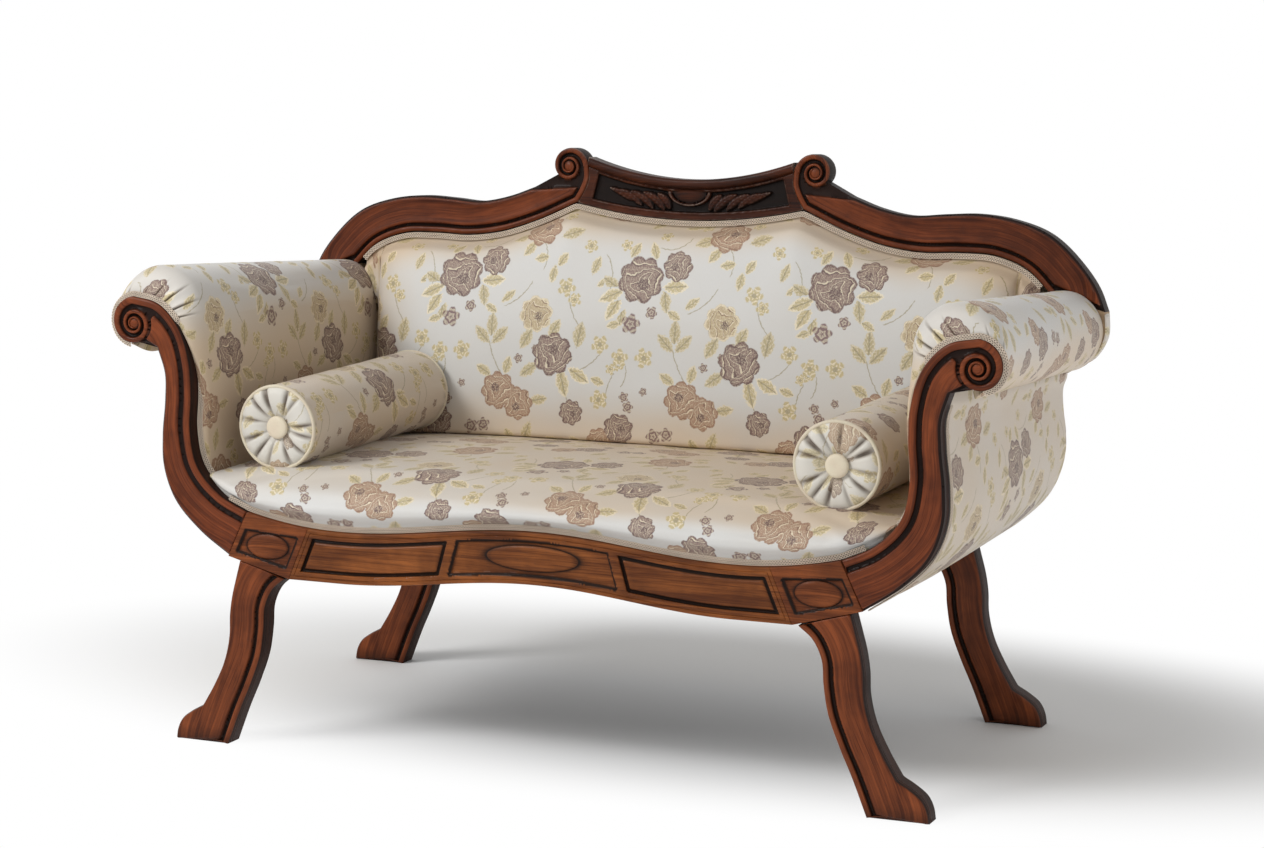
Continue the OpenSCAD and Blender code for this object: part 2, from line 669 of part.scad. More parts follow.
// Inner face of the arm padding, from the seat up to the roll
arm_face_shares = [[0.411, 0.372], [0.43, 0.437], [0.449, 0.516], [0.449, 0.60], [0.435, 0.684],
    [0.43, 0.77], [0.44, 0.86]];
arm_rail_w = 24;
arm_rail_h = 22;
arm_rail_drop = 5;
arm_rail_share = 0.43;
arm_rail_in = [joint_x + arm_rail_share * arm_reach,
    rail_low + arm_face_shares[0][1] * arm_rise - arm_rail_drop - arm_rail_h];
module right_arm_rail() {
    color("burlywood") translate([arm_rail_in[0], arm_board_y0, arm_rail_in[1]])
        cube([arm_rail_w, frame_y(arm_rail_in[1]) - arm_board_y0, arm_rail_h]);
}
module left_arm_rail() { on_left() right_arm_rail(); }

// Arm padding: a slab inside the arm that swells into the roll
roll_start_a = 186;
roll_end_a = -72;
roll_steps = 18;
arm_slab_t = 34;
fall_from = rail_low + 0.45 * arm_rise;
fall_to = rail_low + 0.86 * arm_rise;
// The upper part of the arm falls towards the back
function fallen(q, t) =
    [q[0], q[1] - t * roll_fall * clamped((q[1] - fall_from) / (fall_to - fall_from))];
arm_face = placed(arm_face_shares, arm_origin, arm_size);
function roll_arc(t) = let (c = mixed(roll_front, roll_rear, t), r = mixed(roll_front_r, roll_rear_r, t))
    [for (k = [0 : roll_steps]) let (a = mixed(roll_start_a, roll_end_a, k / roll_steps))
        c + r * [cos(a), sin(a)]];
function arm_path(t) = concat([for (q = arm_face) fallen(q, t)], roll_arc(t));
function at_depth(ring, t, y0, end_gap) =
    [for (q = ring) [q[0], mixed(y0, frame_y(q[1]) - end_gap, t), q[1]]];
arm_stations = [0, 0.25, 0.5, 0.75, 1];
// The padding sits over the arm board like a saddle and is open under it
function over_board(t) = let (c = mixed(roll_front, roll_rear, t), w = board_half_w + fit_gap,
        h = board_half_h + fit_gap)
    [c + [w, -h], c + [w, h], c + [-w, h], c + [-w, -h]];
module right_arm_stuffing() {
    color("wheat") skin([for (t = arm_stations) at_depth(concat(
        beside(arm_path(t), -cover_t - fit_gap), over_board(t),
        backwards(beside([for (q = arm_face) fallen(q, t)], -arm_slab_t))),
        t, pad_y0, back_gap)], lining = true);
}
module left_arm_stuffing() { on_left() right_arm_stuffing(); }
module right_arm_cover() {
    color("lightgray") skin([for (t = arm_stations) let (p = arm_path(t))
        at_depth(concat(p, backwards(beside(p, -cover_t))), t, pad_y0, back_gap)]);
}
module left_arm_cover() { on_left() right_arm_cover(); }

// Pleated facing: gathers the roll's fabric round the scroll of the facade
facing_start_share = 0.72;
facing_turn = 165;
facing_y = 12;
facing_steps = 60;
facing_pleats = 12;
facing_wave = 2.5;
facing_rim = 3;
facing_path = let (n = len(facade_inner)) concat(
    [for (i = [floor(facing_start_share * n) : n - 1]) facade_inner[i]],
    [for (a = [scroll_step : scroll_step : facing_turn]) scroll_point(arm_eye, scroll_r, 90, a)]);
facing_runs = run_lengths(facing_path);
facing_a0 = 214;
facing_a1 = -52;
function facing_ring(t) = let (
        a = along(beside(facing_path, fit_gap), t, facing_runs),
        angle = mixed(facing_a0, facing_a1, t),
        wave = facing_wave * (1 + cos(360 * facing_pleats * t)) / 2,
        b = roll_front + max(roll_front_r - wave, norm(a - roll_front) + facing_rim) * [cos(angle), sin(angle)],
        back = front_y + board_t,
        front = front_y + facing_y
    ) [
        [a[0], back, a[1]],
        [a[0], front + wave, a[1]],
        [mixed(a[0], b[0], 0.45), front - facing_wave + wave, mixed(a[1], b[1], 0.45)],
        [mixed(a[0], b[0], 0.82), front + facing_wave + wave, mixed(a[1], b[1], 0.82)],
        [b[0], mixed(front, back, 0.5), b[1]],
        [b[0], back, b[1]]
    ];
module right_roll_facing() {
    color("gainsboro") skin([for (k = [facing_steps : -1 : 0]) facing_ring(k / facing_steps)]);
}
module left_roll_facing() { on_left() right_roll_facing(); }

// Outer arm: a fabric panel on a light backing, from under the roll to the side rail
panel_proud = 8;
panel_t = 5;
panel_top_gap = 4;
panel_top_z = roll_front[1] - roll_front_r - panel_top_gap;
panel_curve = [for (q = beside(facade_outer, panel_proud)) if (q[1] < panel_top_z) q];
panel_inner_curve = [for (q = beside(facade_outer, panel_proud - panel_t)) if (q[1] < panel_top_z) q];
function every_other(v) = [for (i = [0 : len(v) - 1]) if (i % 2 == 0 || i == len(v) - 1) v[i]];
panel_path = every_other(panel_curve);
panel_inner = every_other(panel_inner_curve);
module right_outer_arm() {
    color("lightgray") skin([for (t = arm_stations) at_depth(concat(
        [for (q = panel_path) fallen(q, t)], backwards([for (q = panel_inner) fallen(q, t)])),
        t, pad_y0, -board_t)]);
}
module left_outer_arm() { on_left() right_outer_arm(); }

// Seat: a sprung seat over webbing, with a crown and a front edge that bulges forward
seat_half_share = 0.382;
seat_half = joint_x + seat_half_share * arm_reach;
seat_edge_drop = 12;
seat_back_drop = 14;
seat_full_h = 60;
sill_table = [for (q = facade_inner) if (q[0] < seat_half + seat_edge_drop && q[1] < eye_z) q];
// The seat clears the rail's curved edge between its stations
sill_gap = 1.4;
function sill_z(x) = sill_gap + (abs(x) <= joint_x ? rail_top_z(x)
    : lookup(abs(x), [for (i = [0 : len(sill_table) - 1]) if (i == 0
        || sill_table[i][0] > sill_table[i - 1][0]) sill_table[i]]));
function seat_top(x) = seat_z - seat_edge_drop * pow(x / seat_half, 4);
hessian_z = rail_high + fit_gap;
seat_under_z = hessian_z + web_t + fit_gap;
seat_under_rise = 35;
side_rail_out = side_rail_x + inner_rail_t;
function under_z(x) = seat_under_z
    + seat_under_rise * clamped((abs(x) - side_rail_out) / (seat_half - side_rail_out));
gimp_t = 3;
seat_gimp_y = 8;
seat_foot_y = seat_gimp_y + gimp_t + fit_gap;
seat_corner_y = 24;
seat_lip = 2;
seat_slope = 16;
seat_top_y = 45;
seat_tuck = 20;
seat_end_gap = 6;
seat_end_y = seat_run - seat_end_gap;
// Depths of the seat's front edge in the middle and at its corners, and its heights
seat_front_ys = [-0.9 * seat_bulge, -seat_bulge, -seat_lip, seat_slope, seat_top_y];
seat_corner_ys = [seat_tuck, seat_tuck, seat_tuck, seat_slope + seat_bulge, seat_top_y];
seat_front_h_shares = [0.36, 0.52, 0.70, 0.87, 0.97];
seat_run_shares = [[0.16, 0], [0.36, 0], [0.575, 0], [0.735, 0.5], [0.83, 1]];
seat_foot_h_share = 0.2;
function seat_foot_h(x) = min(gimp_w + fit_gap, seat_foot_h_share * (seat_top(x) - sill_z(x)));
function seat_path(x) = let (zc = sill_z(x), zt = seat_top(x), h = zt - zc,
        s = clamped(h / seat_full_h), foot = mixed(seat_corner_y, seat_foot_y, s)) concat(
    [[foot, zc], [foot, zc + seat_foot_h(x)]],
    [for (i = [0 : len(seat_front_ys) - 1])
        [mixed(seat_corner_ys[i], seat_front_ys[i], s), zc + seat_front_h_shares[i] * h]],
    [for (q = seat_run_shares) [q[0] * seat_run, zt - q[1] * seat_back_drop]],
    [[seat_end_y, zt - seat_back_drop], [seat_end_y, under_z(x)]]);
seat_stations = [0, 0.15, 0.3, 0.45, 0.58, 0.68, 0.76, 0.83, 0.9, 0.95, 1];
function both_ways(v) = concat([for (i = [len(v) - 1 : -1 : 1]) -v[i]], v);
function at_x(ring, x) = [for (q = ring) [x, front_y + q[0], q[1]]];
module seat_cover() {
    color("lightgray") skin([for (t = both_ways(seat_stations)) let (x = t * seat_half, p = seat_path(x))
        at_x(concat(p, backwards(beside(p, -cover_t))), x)]);
}
module seat_stuffing() {
    color("wheat") skin([for (t = both_ways(seat_stations)) let (x = t * seat_half, p = seat_path(x))
        at_x(concat(beside(p, -cover_t - fit_gap),
            [[board_t + fit_gap, under_z(x)], [board_t + fit_gap, sill_z(x)]]), x)],
        lining = true, whole = true);
}
module seat_hessian() {
    x1 = side_rail_out - fit_gap;
    x2 = block_edge_x(hessian_z) - fit_gap;
    y0 = side_rail_y0 + fit_gap;
    y1 = back_y - fit_gap;
    y2 = back_y + inner_rail_t / 2;
    color("peru") translate([0, 0, hessian_z]) linear_extrude(height = web_t)
        polygon([[-x1, y0], [x1, y0], [x1, y1], [x2, y1], [x2, y2], [-x2, y2], [-x2, y1], [-x1, y1]]);
}

// Webbing: straps across, and straps from front to back under them
strap_w = 50;
strap_under = fit_gap + web_t;
strap_col_shares = [-0.391, -0.264, -0.137, 0, 0.137, 0.264, 0.391];
strap_rows = 5;
strap_first = 90;
strap_last = 560;
strap_margin = 6;
module seat_webbing() {
    color("tan") {
        for (k = [0 : strap_rows - 1])
            translate([-side_rail_out + strap_margin, front_y
                + mixed(strap_first, strap_last, k / (strap_rows - 1)) - strap_w / 2, web_z - strap_under])
                cube([2 * side_rail_out - 2 * strap_margin, strap_w, web_t]);
        for (col = strap_col_shares)
            translate([col * seat_w - strap_w / 2, side_rail_y0 + strap_margin,
                web_z - 2 * strap_under])
                cube([strap_w, seat_run - board_t + inner_rail_t - 2 * strap_margin, web_t]);
    }
}

// Springs: narrow-waisted coils on the crossings of the straps
spring_col_shares = [-0.391, -0.132, 0.132, 0.391];
spring_rows = [1, 2, 3];
spring_r = 38;
spring_waist = 22;
wire_r = 2;
spring_turns = 4;
spring_seg = 8;
module coil(h) {
    n = spring_turns * spring_seg;
    skin([for (i = [0 : n]) let (a = 360 * i / spring_seg, t = i / n,
            r = spring_waist + (spring_r - spring_waist) * pow(2 * t - 1, 2),
            c = [r * cos(a), r * sin(a), wire_r + (h - 2 * wire_r) * t])
        [for (q = [[-1, 0], [0, -1], [1, 0], [0, 1]])
            c + wire_r * [q[0] * cos(a), q[0] * sin(a), q[1]]]]);
}
module seat_springs() {
    h = hessian_z - web_z - fit_gap;
    color("silver") for (col = spring_col_shares) for (k = spring_rows)
        translate([col * seat_w, front_y
            + mixed(strap_first, strap_last, k / (strap_rows - 1)), web_z]) coil(h);
}

// Dust cover: thin cloth tacked under the seat, cut back round the legs
dust_t = 1;
dust_z = web_z - 2 * strap_under - fit_gap - dust_t;
dust_clear = 8;
dust_x_share = 0.80;
module dust_cover() {
    y0 = front_y + board_t + dust_clear;
    y1 = back_y - dust_clear;
    y2 = back_y + inner_rail_t - dust_clear;
    x1 = side_rail_out - fit_gap;
    x2 = dust_x_share * joint_x;
    color("dimgray") translate([0, 0, dust_z]) linear_extrude(height = dust_t)
        polygon([[-x1, y0], [x1, y0], [x1, y1], [x2, y1], [x2, y2], [-x2, y2], [-x2, y1], [-x1, y1]]);
}
tack_r = 4;
tack_h = 1.2;
tack_step = 8;
tack_in_share = 0.96;
module cover_tacks() {
    color("dimgray") translate([0, 0, dust_z - fit_gap - tack_h]) {
        for (k = [0 : tack_step]) let (x = mixed(-dust_x_share, dust_x_share, k / tack_step) * joint_x) {
            translate([x * tack_in_share, front_y + board_t + batten_t / 2 + dust_clear / 2, 0])
                cylinder(r = tack_r, h = tack_h);
            translate([x * tack_in_share, back_y + inner_rail_t / 2 - tack_r, 0])
                cylinder(r = tack_r, h = tack_h);
        }
        for (side = [-1, 1]) for (k = [0 : tack_step - 1])
            translate([side * (joint_x), mixed(front_y + strap_first, back_y - strap_first,
                k / (tack_step - 1)), 0]) cylinder(r = tack_r, h = tack_h);
    }
}

// Back padding: one broad crowned pad, with a recessed edge under the crest
pad_edge = 8;
pad_recess = 4;
pad_border = gimp_w + 2;
pad_half_share = 0.40;
pad_half = joint_x + pad_half_share * arm_reach;
pad_low_gap = 1;
pad_fade_share = 0.35;
pad_round = 5;
pad_side_round = 14;
pad_step_h = 31;
pad_step_run = 13;
crest_table = [for (i = [len(crest_inner) - 1 : -1 : 0]) crest_inner[i]];
// The padding clears the crest's curved edge between its stations
pad_top_gap = 1.5;
function pad_top(x) = (abs(x) <= cusp[0] ? tablet_foot(x) : lookup(abs(x), crest_table)) - pad_top_gap;
wing_clear = 3;
function pad_low(x) = abs(x) <= pad_half
    ? seat_top(x) - seat_back_drop + pad_low_gap - joint_z
    : roll_rear[1] - joint_z + wing_clear
        + sqrt(max(0, pow(roll_rear_r, 2) - pow(roll_rear[0] - abs(x), 2)));
function pad_swell(x, s) = back_pad_t * (1 - pad_fade_share * s) * sqrt(max(0, 1 - pow(s, pad_round)))
    * sqrt(max(0, 1 - pow(min(1, abs(x) / pad_half), pad_side_round)));
pad_shares = [0, 0.03, 0.12, 0.27, 0.42, 0.57, 0.70, 0.81, 0.89, 0.95, 0.985, 1];
function pad_z(x) = let (low = pad_low(x), top = pad_top(x))
    concat([for (s = pad_shares) mixed(low, top - pad_border, s)], [top]);
function pad_step(x, z) = clamped((z - pad_top(x) + pad_step_h) / pad_step_run);
function pad_front(x) = let (zs = pad_z(x)) [for (i = [0 : len(zs) - 1])
    let (y = mixed(-back_gap - pad_edge, pad_recess, pad_step(x, zs[i]))
            - (i < len(pad_shares) ? pad_swell(x, pad_shares[i]) : 0))
        [y, zs[i] + (i == 0 ? y * tan(rake) : 0)]];
function pad_rear(x) = [for (z = pad_z(x))
    [mixed(-back_gap, pad_recess + pad_edge, pad_step(x, z)), z]];
pad_stations = [0, 0.12, 0.24, 0.34, cusp[0] / pad_half, 0.38, 0.46, 0.56, 0.66, 0.76, 0.85, 0.92, 0.97, 1];
wing_shares = [0.404, 0.44, 0.49, 0.54, 0.585];
pad_xs = both_ways(concat([for (t = pad_stations) t * pad_half],
    [for (t = wing_shares) joint_x + t * arm_reach]));
function at_back_x(ring, x) = [for (q = ring) [x, q[0], q[1]]];
// The front moved inwards: along its normals on the pad, straight back on its thin wings
function pad_inner(x, d) = let (p = pad_front(x))
    abs(x) > pad_half ? [for (q = p) q + [d, 0]] : beside(p, -d);
module back_cover() {
    color("lightgray") leaning() skin([for (x = pad_xs)
        at_back_x(concat(pad_front(x), backwards(pad_inner(x, cover_t))), x)]);
}
module back_stuffing() {
    color("wheat") leaning() skin([for (x = pad_xs)
        at_back_x(concat(pad_inner(x, cover_t + fit_gap), backwards(pad_rear(x))), x)],
        lining = true, whole = true);
}
back_strap_x = joint_x + 0.57 * arm_reach;
back_strap_zs = [0.20, 0.32, 0.44, 0.56];
module back_webbing() {
    color("tan") leaning() for (z = back_strap_zs)
        translate([-back_strap_x, -web_t - fit_gap, z * crest_rise - strap_w / 2])
            cube([2 * back_strap_x, web_t, strap_w]);
}

// Outside back: cloth over the frame from behind, bent at the arm joint
outside_t = 4;
outside_in = 3;
outside_lap = 15;
outside_post = [for (q = backwards(beside(from_joint(spline(concat([crest_foot_out],
    placed(post_outer_shares, arm_origin, arm_size)))), -outside_in))) if (q[1] > 0) q];
outside_top = concat(outside_post, beside(crest_inner, -outside_lap),
    [for (k = [1 : tablet_steps / 2]) let (x = cusp[0] * (1 - 2 * k / tablet_steps))
        [x, tablet_foot(x) + outside_lap]]);
outside_low = [[block_foot_x, web_z + fit_gap], [joint_x + joint_lean - outside_t, rail_low + joint_foot
    + outside_t], each backwards([for (q = beside(facade_outer, -outside_in)) if (q[1] < joint_z
    && q[1] > rail_low + joint_foot + outside_t) q])];
module outside_back() {
    color("lightgray") {
        leaning() board(concat([[knee_x - outside_in, 0]], outside_top,
            [for (q = backwards(outside_top)) [-q[0], q[1]]], [[-knee_x + outside_in, 0]]),
            board_t + fit_gap, outside_t);
        board(concat(outside_low, [[knee_x - outside_in, joint_z], [-knee_x + outside_in, joint_z]],
            [for (q = backwards(outside_low)) [-q[0], q[1]]]), back_y + board_t + fit_gap, outside_t);
    }
}

// Gimp braid: covers the tacked edges of the fabric along the show-wood
gimp_end_share = 0.96;
module seat_gimp() {
    color("tan") skin([for (t = both_ways([for (v = seat_stations) if (v < gimp_end_share) v]))
        let (x = t * seat_half, z = sill_z(x), top = z + seat_foot_h(x) - fit_gap)
        at_x([[seat_gimp_y, z], [seat_gimp_y + gimp_t, z], [seat_gimp_y + gimp_t, top],
            [seat_gimp_y, top]], x)]);
}
module back_gimp() {
    color("tan") leaning() skin([for (x = pad_xs) let (z = pad_top(x), y = pad_recess - fit_gap - gimp_t)
        at_back_x([[y, z - gimp_w], [y + gimp_t, z - gimp_w], [y + gimp_t, z], [y, z]], x)]);
}
module braid(path, y0, y1, t) {
    a = beside(path, fit_gap);
    b = beside(path, fit_gap + t);
    skin([for (i = [len(path) - 1 : -1 : 0])
        [[a[i][0], y0, a[i][1]], [b[i][0], y0, b[i][1]], [b[i][0], y1, b[i][1]], [a[i][0], y1, a[i][1]]]]);
}
arm_gimp_low = rail_low + 0.39 * arm_rise;
inner_gimp_path = let (n = len(facade_inner)) [for (i = [0 : floor(facing_start_share * n) - 2])
    if (facade_inner[i][1] > arm_gimp_low) facade_inner[i]];
outer_gimp_path = [for (q = facade_outer) if (q[1] < panel_top_z) q];
volute_gimp_y = 6.2;
volute_gimp_w = 6;
module right_arm_gimp() {
    color("tan") {
        braid(inner_gimp_path, front_y + board_t - gimp_w, front_y + board_t, gimp_t);
        braid(outer_gimp_path, front_y + board_t - gimp_w, front_y + board_t, gimp_t);
        braid(facing_path, front_y + volute_gimp_y, front_y + volute_gimp_y + gimp_t, volute_gimp_w);
    }
}
module left_arm_gimp() { on_left() right_arm_gimp(); }

// Bolsters: a stuffed roll with a covered case, gathered ends, piping and a covered button
bolster_y0 = 60;
pipe_r = 3;
pipe_proud = 1.5;
case_r = bolster_r - pipe_proud;
crown_clear = 0.1;
bolster_z = seat_top(bolster_x) + fit_gap + crown_clear + case_r;
shoulder = 14;
shoulder_in = 4;
end_pleats = 14;
end_point_rate = 3;
end_rise = 7;
end_dip = 3;
pleat_depth = 2.5;
end_t = 2.5;
button_t = 8;
module bolster_place() {
    translate([bolster_x, front_y + bolster_y0, bolster_z]) rotate([-90, 0, 0]) children();
}
// Both ends alike: the children are drawn at the front end, looking along the axis
module two_ends() {
    children();
    translate([0, 0, bolster_l]) mirror([0, 0, 1]) children();
}
module right_bolster_case() {
    a = case_r - shoulder_in;
    color("silver") bolster_place() rotate_extrude() polygon([
        [a, 0], [case_r - shoulder_in / 4, shoulder / 2], [case_r, 1.6 * shoulder],
        [case_r, bolster_l - 1.6 * shoulder], [case_r - shoulder_in / 4, bolster_l - shoulder / 2],
        [a, bolster_l], [a - cover_t, bolster_l],
        [case_r - cover_t - shoulder_in / 4, bolster_l - shoulder / 2],
        [case_r - cover_t, bolster_l - 1.6 * shoulder], [case_r - cover_t, 1.6 * shoulder],
        [case_r - cover_t - shoulder_in / 4, shoulder / 2], [a - cover_t, 0]]);
}
module right_bolster_fill() {
    a = case_r - cover_t - fit_gap;
    h0 = end_dip + end_t + fit_gap;
    color("wheat") bolster_place() rotate_extrude() polygon([
        [0, h0], [a - shoulder_in, h0], [a - shoulder_in / 4, shoulder],
        [a, 2 * shoulder], [a, bolster_l - 2 * shoulder], [a - shoulder_in / 4, bolster_l - shoulder],
        [a - shoulder_in, bolster_l - h0], [0, bolster_l - h0]]);
}
// The piping lies against the rim of the case's mouth
pipe_out = sqrt(pow(pipe_r + fit_gap, 2) - pow(bolster_r - pipe_r - case_r + shoulder_in, 2));
end_shares = [[0.24, 1, 0], [0.33, 0.6, 1], [0.5, -0.6, 1], [0.72, -1, 0.8], [0.9, -0.45, 0.4], [1, 0, 0]];
module bolster_end() {
    r1 = case_r - shoulder_in - cover_t - fit_gap;
    n = end_pleats * end_point_rate;
    function ring(q, push) = [for (i = [0 : n - 1]) let (a = -360 * i / n)
        [q[0] * r1 * cos(a), q[0] * r1 * sin(a), push + (q[1] > 0 ? q[1] * end_dip : q[1] * end_rise)
            + q[2] * pleat_depth * cos(end_pleats * a) / 2]];
    skin(concat([for (q = end_shares) ring(q, 0)], [for (q = backwards(end_shares)) ring(q, end_t)]));
}
module pipe_ring() {
    translate([0, 0, -pipe_out]) rotate_extrude()
        translate([bolster_r - pipe_r, 0]) circle(r = pipe_r, $fn = 12);
}
module right_bolster_ends() {
    color("gainsboro") bolster_place() two_ends() {
        bolster_end();
        pipe_ring();
    }
}
module right_bolster_buttons() {
    color("gray") bolster_place() two_ends() translate([0, 0, end_dip - fit_gap])
        rotate_extrude() polygon([[0, 0], [button_r / 2, 0], [button_r, -button_t / 3],
            [button_r * 0.95, -button_t * 0.6], [button_r * 0.6, -button_t * 0.92], [0, -button_t]]);
}
module left_bolster_case() { on_left() right_bolster_case(); }
module left_bolster_fill() { on_left() right_bolster_fill(); }
module left_bolster_ends() { on_left() right_bolster_ends(); }
module left_bolster_buttons() { on_left() right_bolster_buttons(); }

front_rail();
left_corner_block();
right_corner_block();
left_arm_facade();
right_arm_facade();
left_front_leg();
right_front_leg();
left_rear_leg();
right_rear_leg();
left_rear_block();
right_rear_block();
back_rail();
left_side_rail();
right_side_rail();
corner_braces();
web_batten();
left_back_post();
right_back_post();
stay_rail();
back_muntin();
left_crest_rail();
right_crest_rail();
crest_tablet();
left_arm_board();
right_arm_board();
left_arm_rail();
right_arm_rail();
leg_dowels();
crest_dowels();
seat_webbing();
seat_springs();
seat_hessian();
seat_stuffing();
seat_cover();
back_webbing();
back_stuffing();
back_cover();
left_arm_stuffing();
right_arm_stuffing();
left_arm_cover();
right_arm_cover();
left_roll_facing();
right_roll_facing();
left_outer_arm();
right_outer_arm();
outside_back();
dust_cover();
cover_tacks();
seat_gimp();
back_gimp();
left_arm_gimp();
right_arm_gimp();
left_bolster_fill();
left_bolster_case();
left_bolster_ends();
left_bolster_buttons();
right_bolster_fill();
right_bolster_case();
right_bolster_ends();
right_bolster_buttons();
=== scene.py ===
"""Scroll-arm sofa: moulded show-wood, brocade upholstery, braid and bolsters over a packed frame."""

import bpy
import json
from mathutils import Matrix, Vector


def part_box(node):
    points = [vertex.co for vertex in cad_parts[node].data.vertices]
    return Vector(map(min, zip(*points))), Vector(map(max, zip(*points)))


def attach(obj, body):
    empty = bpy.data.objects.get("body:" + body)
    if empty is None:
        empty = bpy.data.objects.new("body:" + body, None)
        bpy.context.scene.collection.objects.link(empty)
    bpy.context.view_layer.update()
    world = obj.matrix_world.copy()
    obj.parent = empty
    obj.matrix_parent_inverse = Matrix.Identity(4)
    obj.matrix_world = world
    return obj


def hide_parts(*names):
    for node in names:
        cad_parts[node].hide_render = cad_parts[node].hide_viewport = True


bl_info = {
    "name": "Scroll-Arm Sofa",
    "version": (1, 0, 0),
    "blender": (4, 5, 0),
    "location": "View3D > Sidebar > Sofa",
    "description": "Show-wood, upholstery and trimmings of a scroll-arm sofa over its packed frame",
    "category": "Add Mesh",
}

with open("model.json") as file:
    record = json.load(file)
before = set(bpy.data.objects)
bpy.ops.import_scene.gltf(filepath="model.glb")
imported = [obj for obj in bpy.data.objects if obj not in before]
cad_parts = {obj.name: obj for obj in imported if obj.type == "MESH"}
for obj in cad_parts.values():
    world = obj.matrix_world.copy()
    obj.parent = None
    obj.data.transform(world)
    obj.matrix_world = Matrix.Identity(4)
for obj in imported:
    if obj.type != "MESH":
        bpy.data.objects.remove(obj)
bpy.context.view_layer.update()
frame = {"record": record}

import json
import math

import bmesh
import bpy
import numpy as np
from bpy.props import FloatProperty, FloatVectorProperty, IntProperty, PointerProperty
from mathutils import Matrix, Vector, geometry

# ---- Sizes of the packed frame that the visible pieces are set out from, in metres ----
JOINT_X = 0.511
RAIL_LOW, RAIL_H, RAIL_ARCH = 0.288, 0.083, 0.026
RAIL_HIGH = RAIL_LOW + RAIL_H
BOARD_T, BLOCK_W, LEG_T, LEG_SPLAY = 0.034, 0.113, 0.038, 0.144
ARM_REACH, ARM_RISE, SCROLL_R = 0.207, 0.405, 0.045
ROLL_FRONT_R, ROLL_REAR_R, ROLL_FALL = 0.074, 0.067, 0.039
SEAT_RUN, SEAT_Z = 0.628, 0.462
BACK_PAD_T = 0.078
RAKE = math.radians(3.2)
CREST_RISE, CREST_EYE_X, CREST_R = 0.531, 0.230, 0.038
TABLET_H = 0.070
JOINT_Z = RAIL_LOW + 0.259 * ARM_RISE
JOINT_LEAN, JOINT_FOOT = 0.036, 0.030
BLOCK_LEAN, PANEL_LEAN = 0.43, 0.29
BLOCK_X = JOINT_X - BLOCK_W
DIP_X = 0.665 * JOINT_X
EYE = np.array([JOINT_X + ARM_REACH, RAIL_LOW + ARM_RISE])
CREST_EYE = np.array([CREST_EYE_X, CREST_RISE])
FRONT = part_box("front_rail")[0][1]
BACK = FRONT + SEAT_RUN
GAP = 0.0003
SPIRAL = 0.51
RIB = 0.72


# ---- Points and curves ----
def spline(points, steps=14):
    """A smooth curve through given points."""
    p = np.asarray(points, float)
    run = np.linalg.norm(np.diff(p, axis=0), axis=1)
    d = np.diff(p, axis=0) / run[:, None]
    tan = np.empty_like(p)
    tan[0], tan[-1] = d[0], d[-1]
    tan[1:-1] = ((d[:-1] * run[1:, None] + d[1:] * run[:-1, None])
                 / (run[:-1] + run[1:])[:, None])
    out = []
    for i in range(len(p) - 1):
        for k in range(steps):
            t = k / steps
            out.append(p[i] * (2 * t ** 3 - 3 * t * t + 1) + tan[i] * run[i] * (t ** 3 - 2 * t * t + t)
                       + p[i + 1] * (3 * t * t - 2 * t ** 3) + tan[i + 1] * run[i] * (t ** 3 - t * t))
    out.append(p[-1])
    return np.array(out)


def normals_of(path):
    """Left-hand normals of a plane curve."""
    p = np.asarray(path, float)
    a = np.vstack([p[:1], p[:-1]])
    b = np.vstack([p[1:], p[-1:]])
    d = b - a
    d /= np.maximum(np.linalg.norm(d, axis=1), 1e-12)[:, None]
    return np.stack([-d[:, 1], d[:, 0]], axis=1)


def beside(path, d):
    """A curve moved sideways, to the left of its own direction."""
    return np.asarray(path, float) + d * normals_of(path)


def ring_normals(ring):
    """Normals of a closed outline, to the left of its own direction."""
    return normals_of(np.vstack([ring[-1:], ring, ring[:1]]))[1:-1]


def anticlockwise(ring):
    x, y = ring.T
    return np.sum(x * np.roll(y, -1) - np.roll(x, -1) * y) > 0


def runs_of(path):
    """Length along a curve at each of its points."""
    return np.concatenate([[0], np.cumsum(np.linalg.norm(np.diff(path, axis=0), axis=1))])


OUTLINE_STEP = 0.003


def even(path, step=OUTLINE_STEP):
    """The same curve with points an even step apart."""
    p = np.asarray(path, float)
    s = runs_of(p)
    n = max(2, int(round(s[-1] / step)) + 1)
    goal = np.linspace(0, s[-1], n)
    return np.stack([np.interp(goal, s, p[:, i]) for i in range(p.shape[1])], axis=1)


def placed(shares, origin, size):
    """Given shares set out from an origin."""
    return [(origin[0] + a * size[0], origin[1] + b * size[1]) for a, b in shares]


def mixed(a, b, t):
    return a + (b - a) * t


def smooth(t):
    t = np.clip(t, 0, 1)
    return t * t * (3 - 2 * t)


def to_path(points, path, closed=False):
    """Distance of points from a curve, and the length along it of the nearest place."""
    p = np.asarray(points, float)
    q = np.asarray(path, float)
    if closed:
        q = np.vstack([q, q[:1]])
    a, b = q[:-1], q[1:]
    ab = b - a
    length2 = np.maximum((ab * ab).sum(1), 1e-18)
    s0 = runs_of(q)[:-1]
    dist = np.empty(len(p))
    along = np.empty(len(p))
    for i in range(0, len(p), 4000):
        c = p[i:i + 4000]
        t = np.clip(((c[:, None] - a[None]) * ab[None]).sum(2) / length2, 0, 1)
        d = np.linalg.norm(c[:, None] - a[None] - t[:, :, None] * ab[None], axis=2)
        k = d.argmin(1)
        j = np.arange(len(c))
        dist[i:i + 4000] = d[j, k]
        along[i:i + 4000] = s0[k] + t[j, k] * np.sqrt(length2[k])
    return dist, along


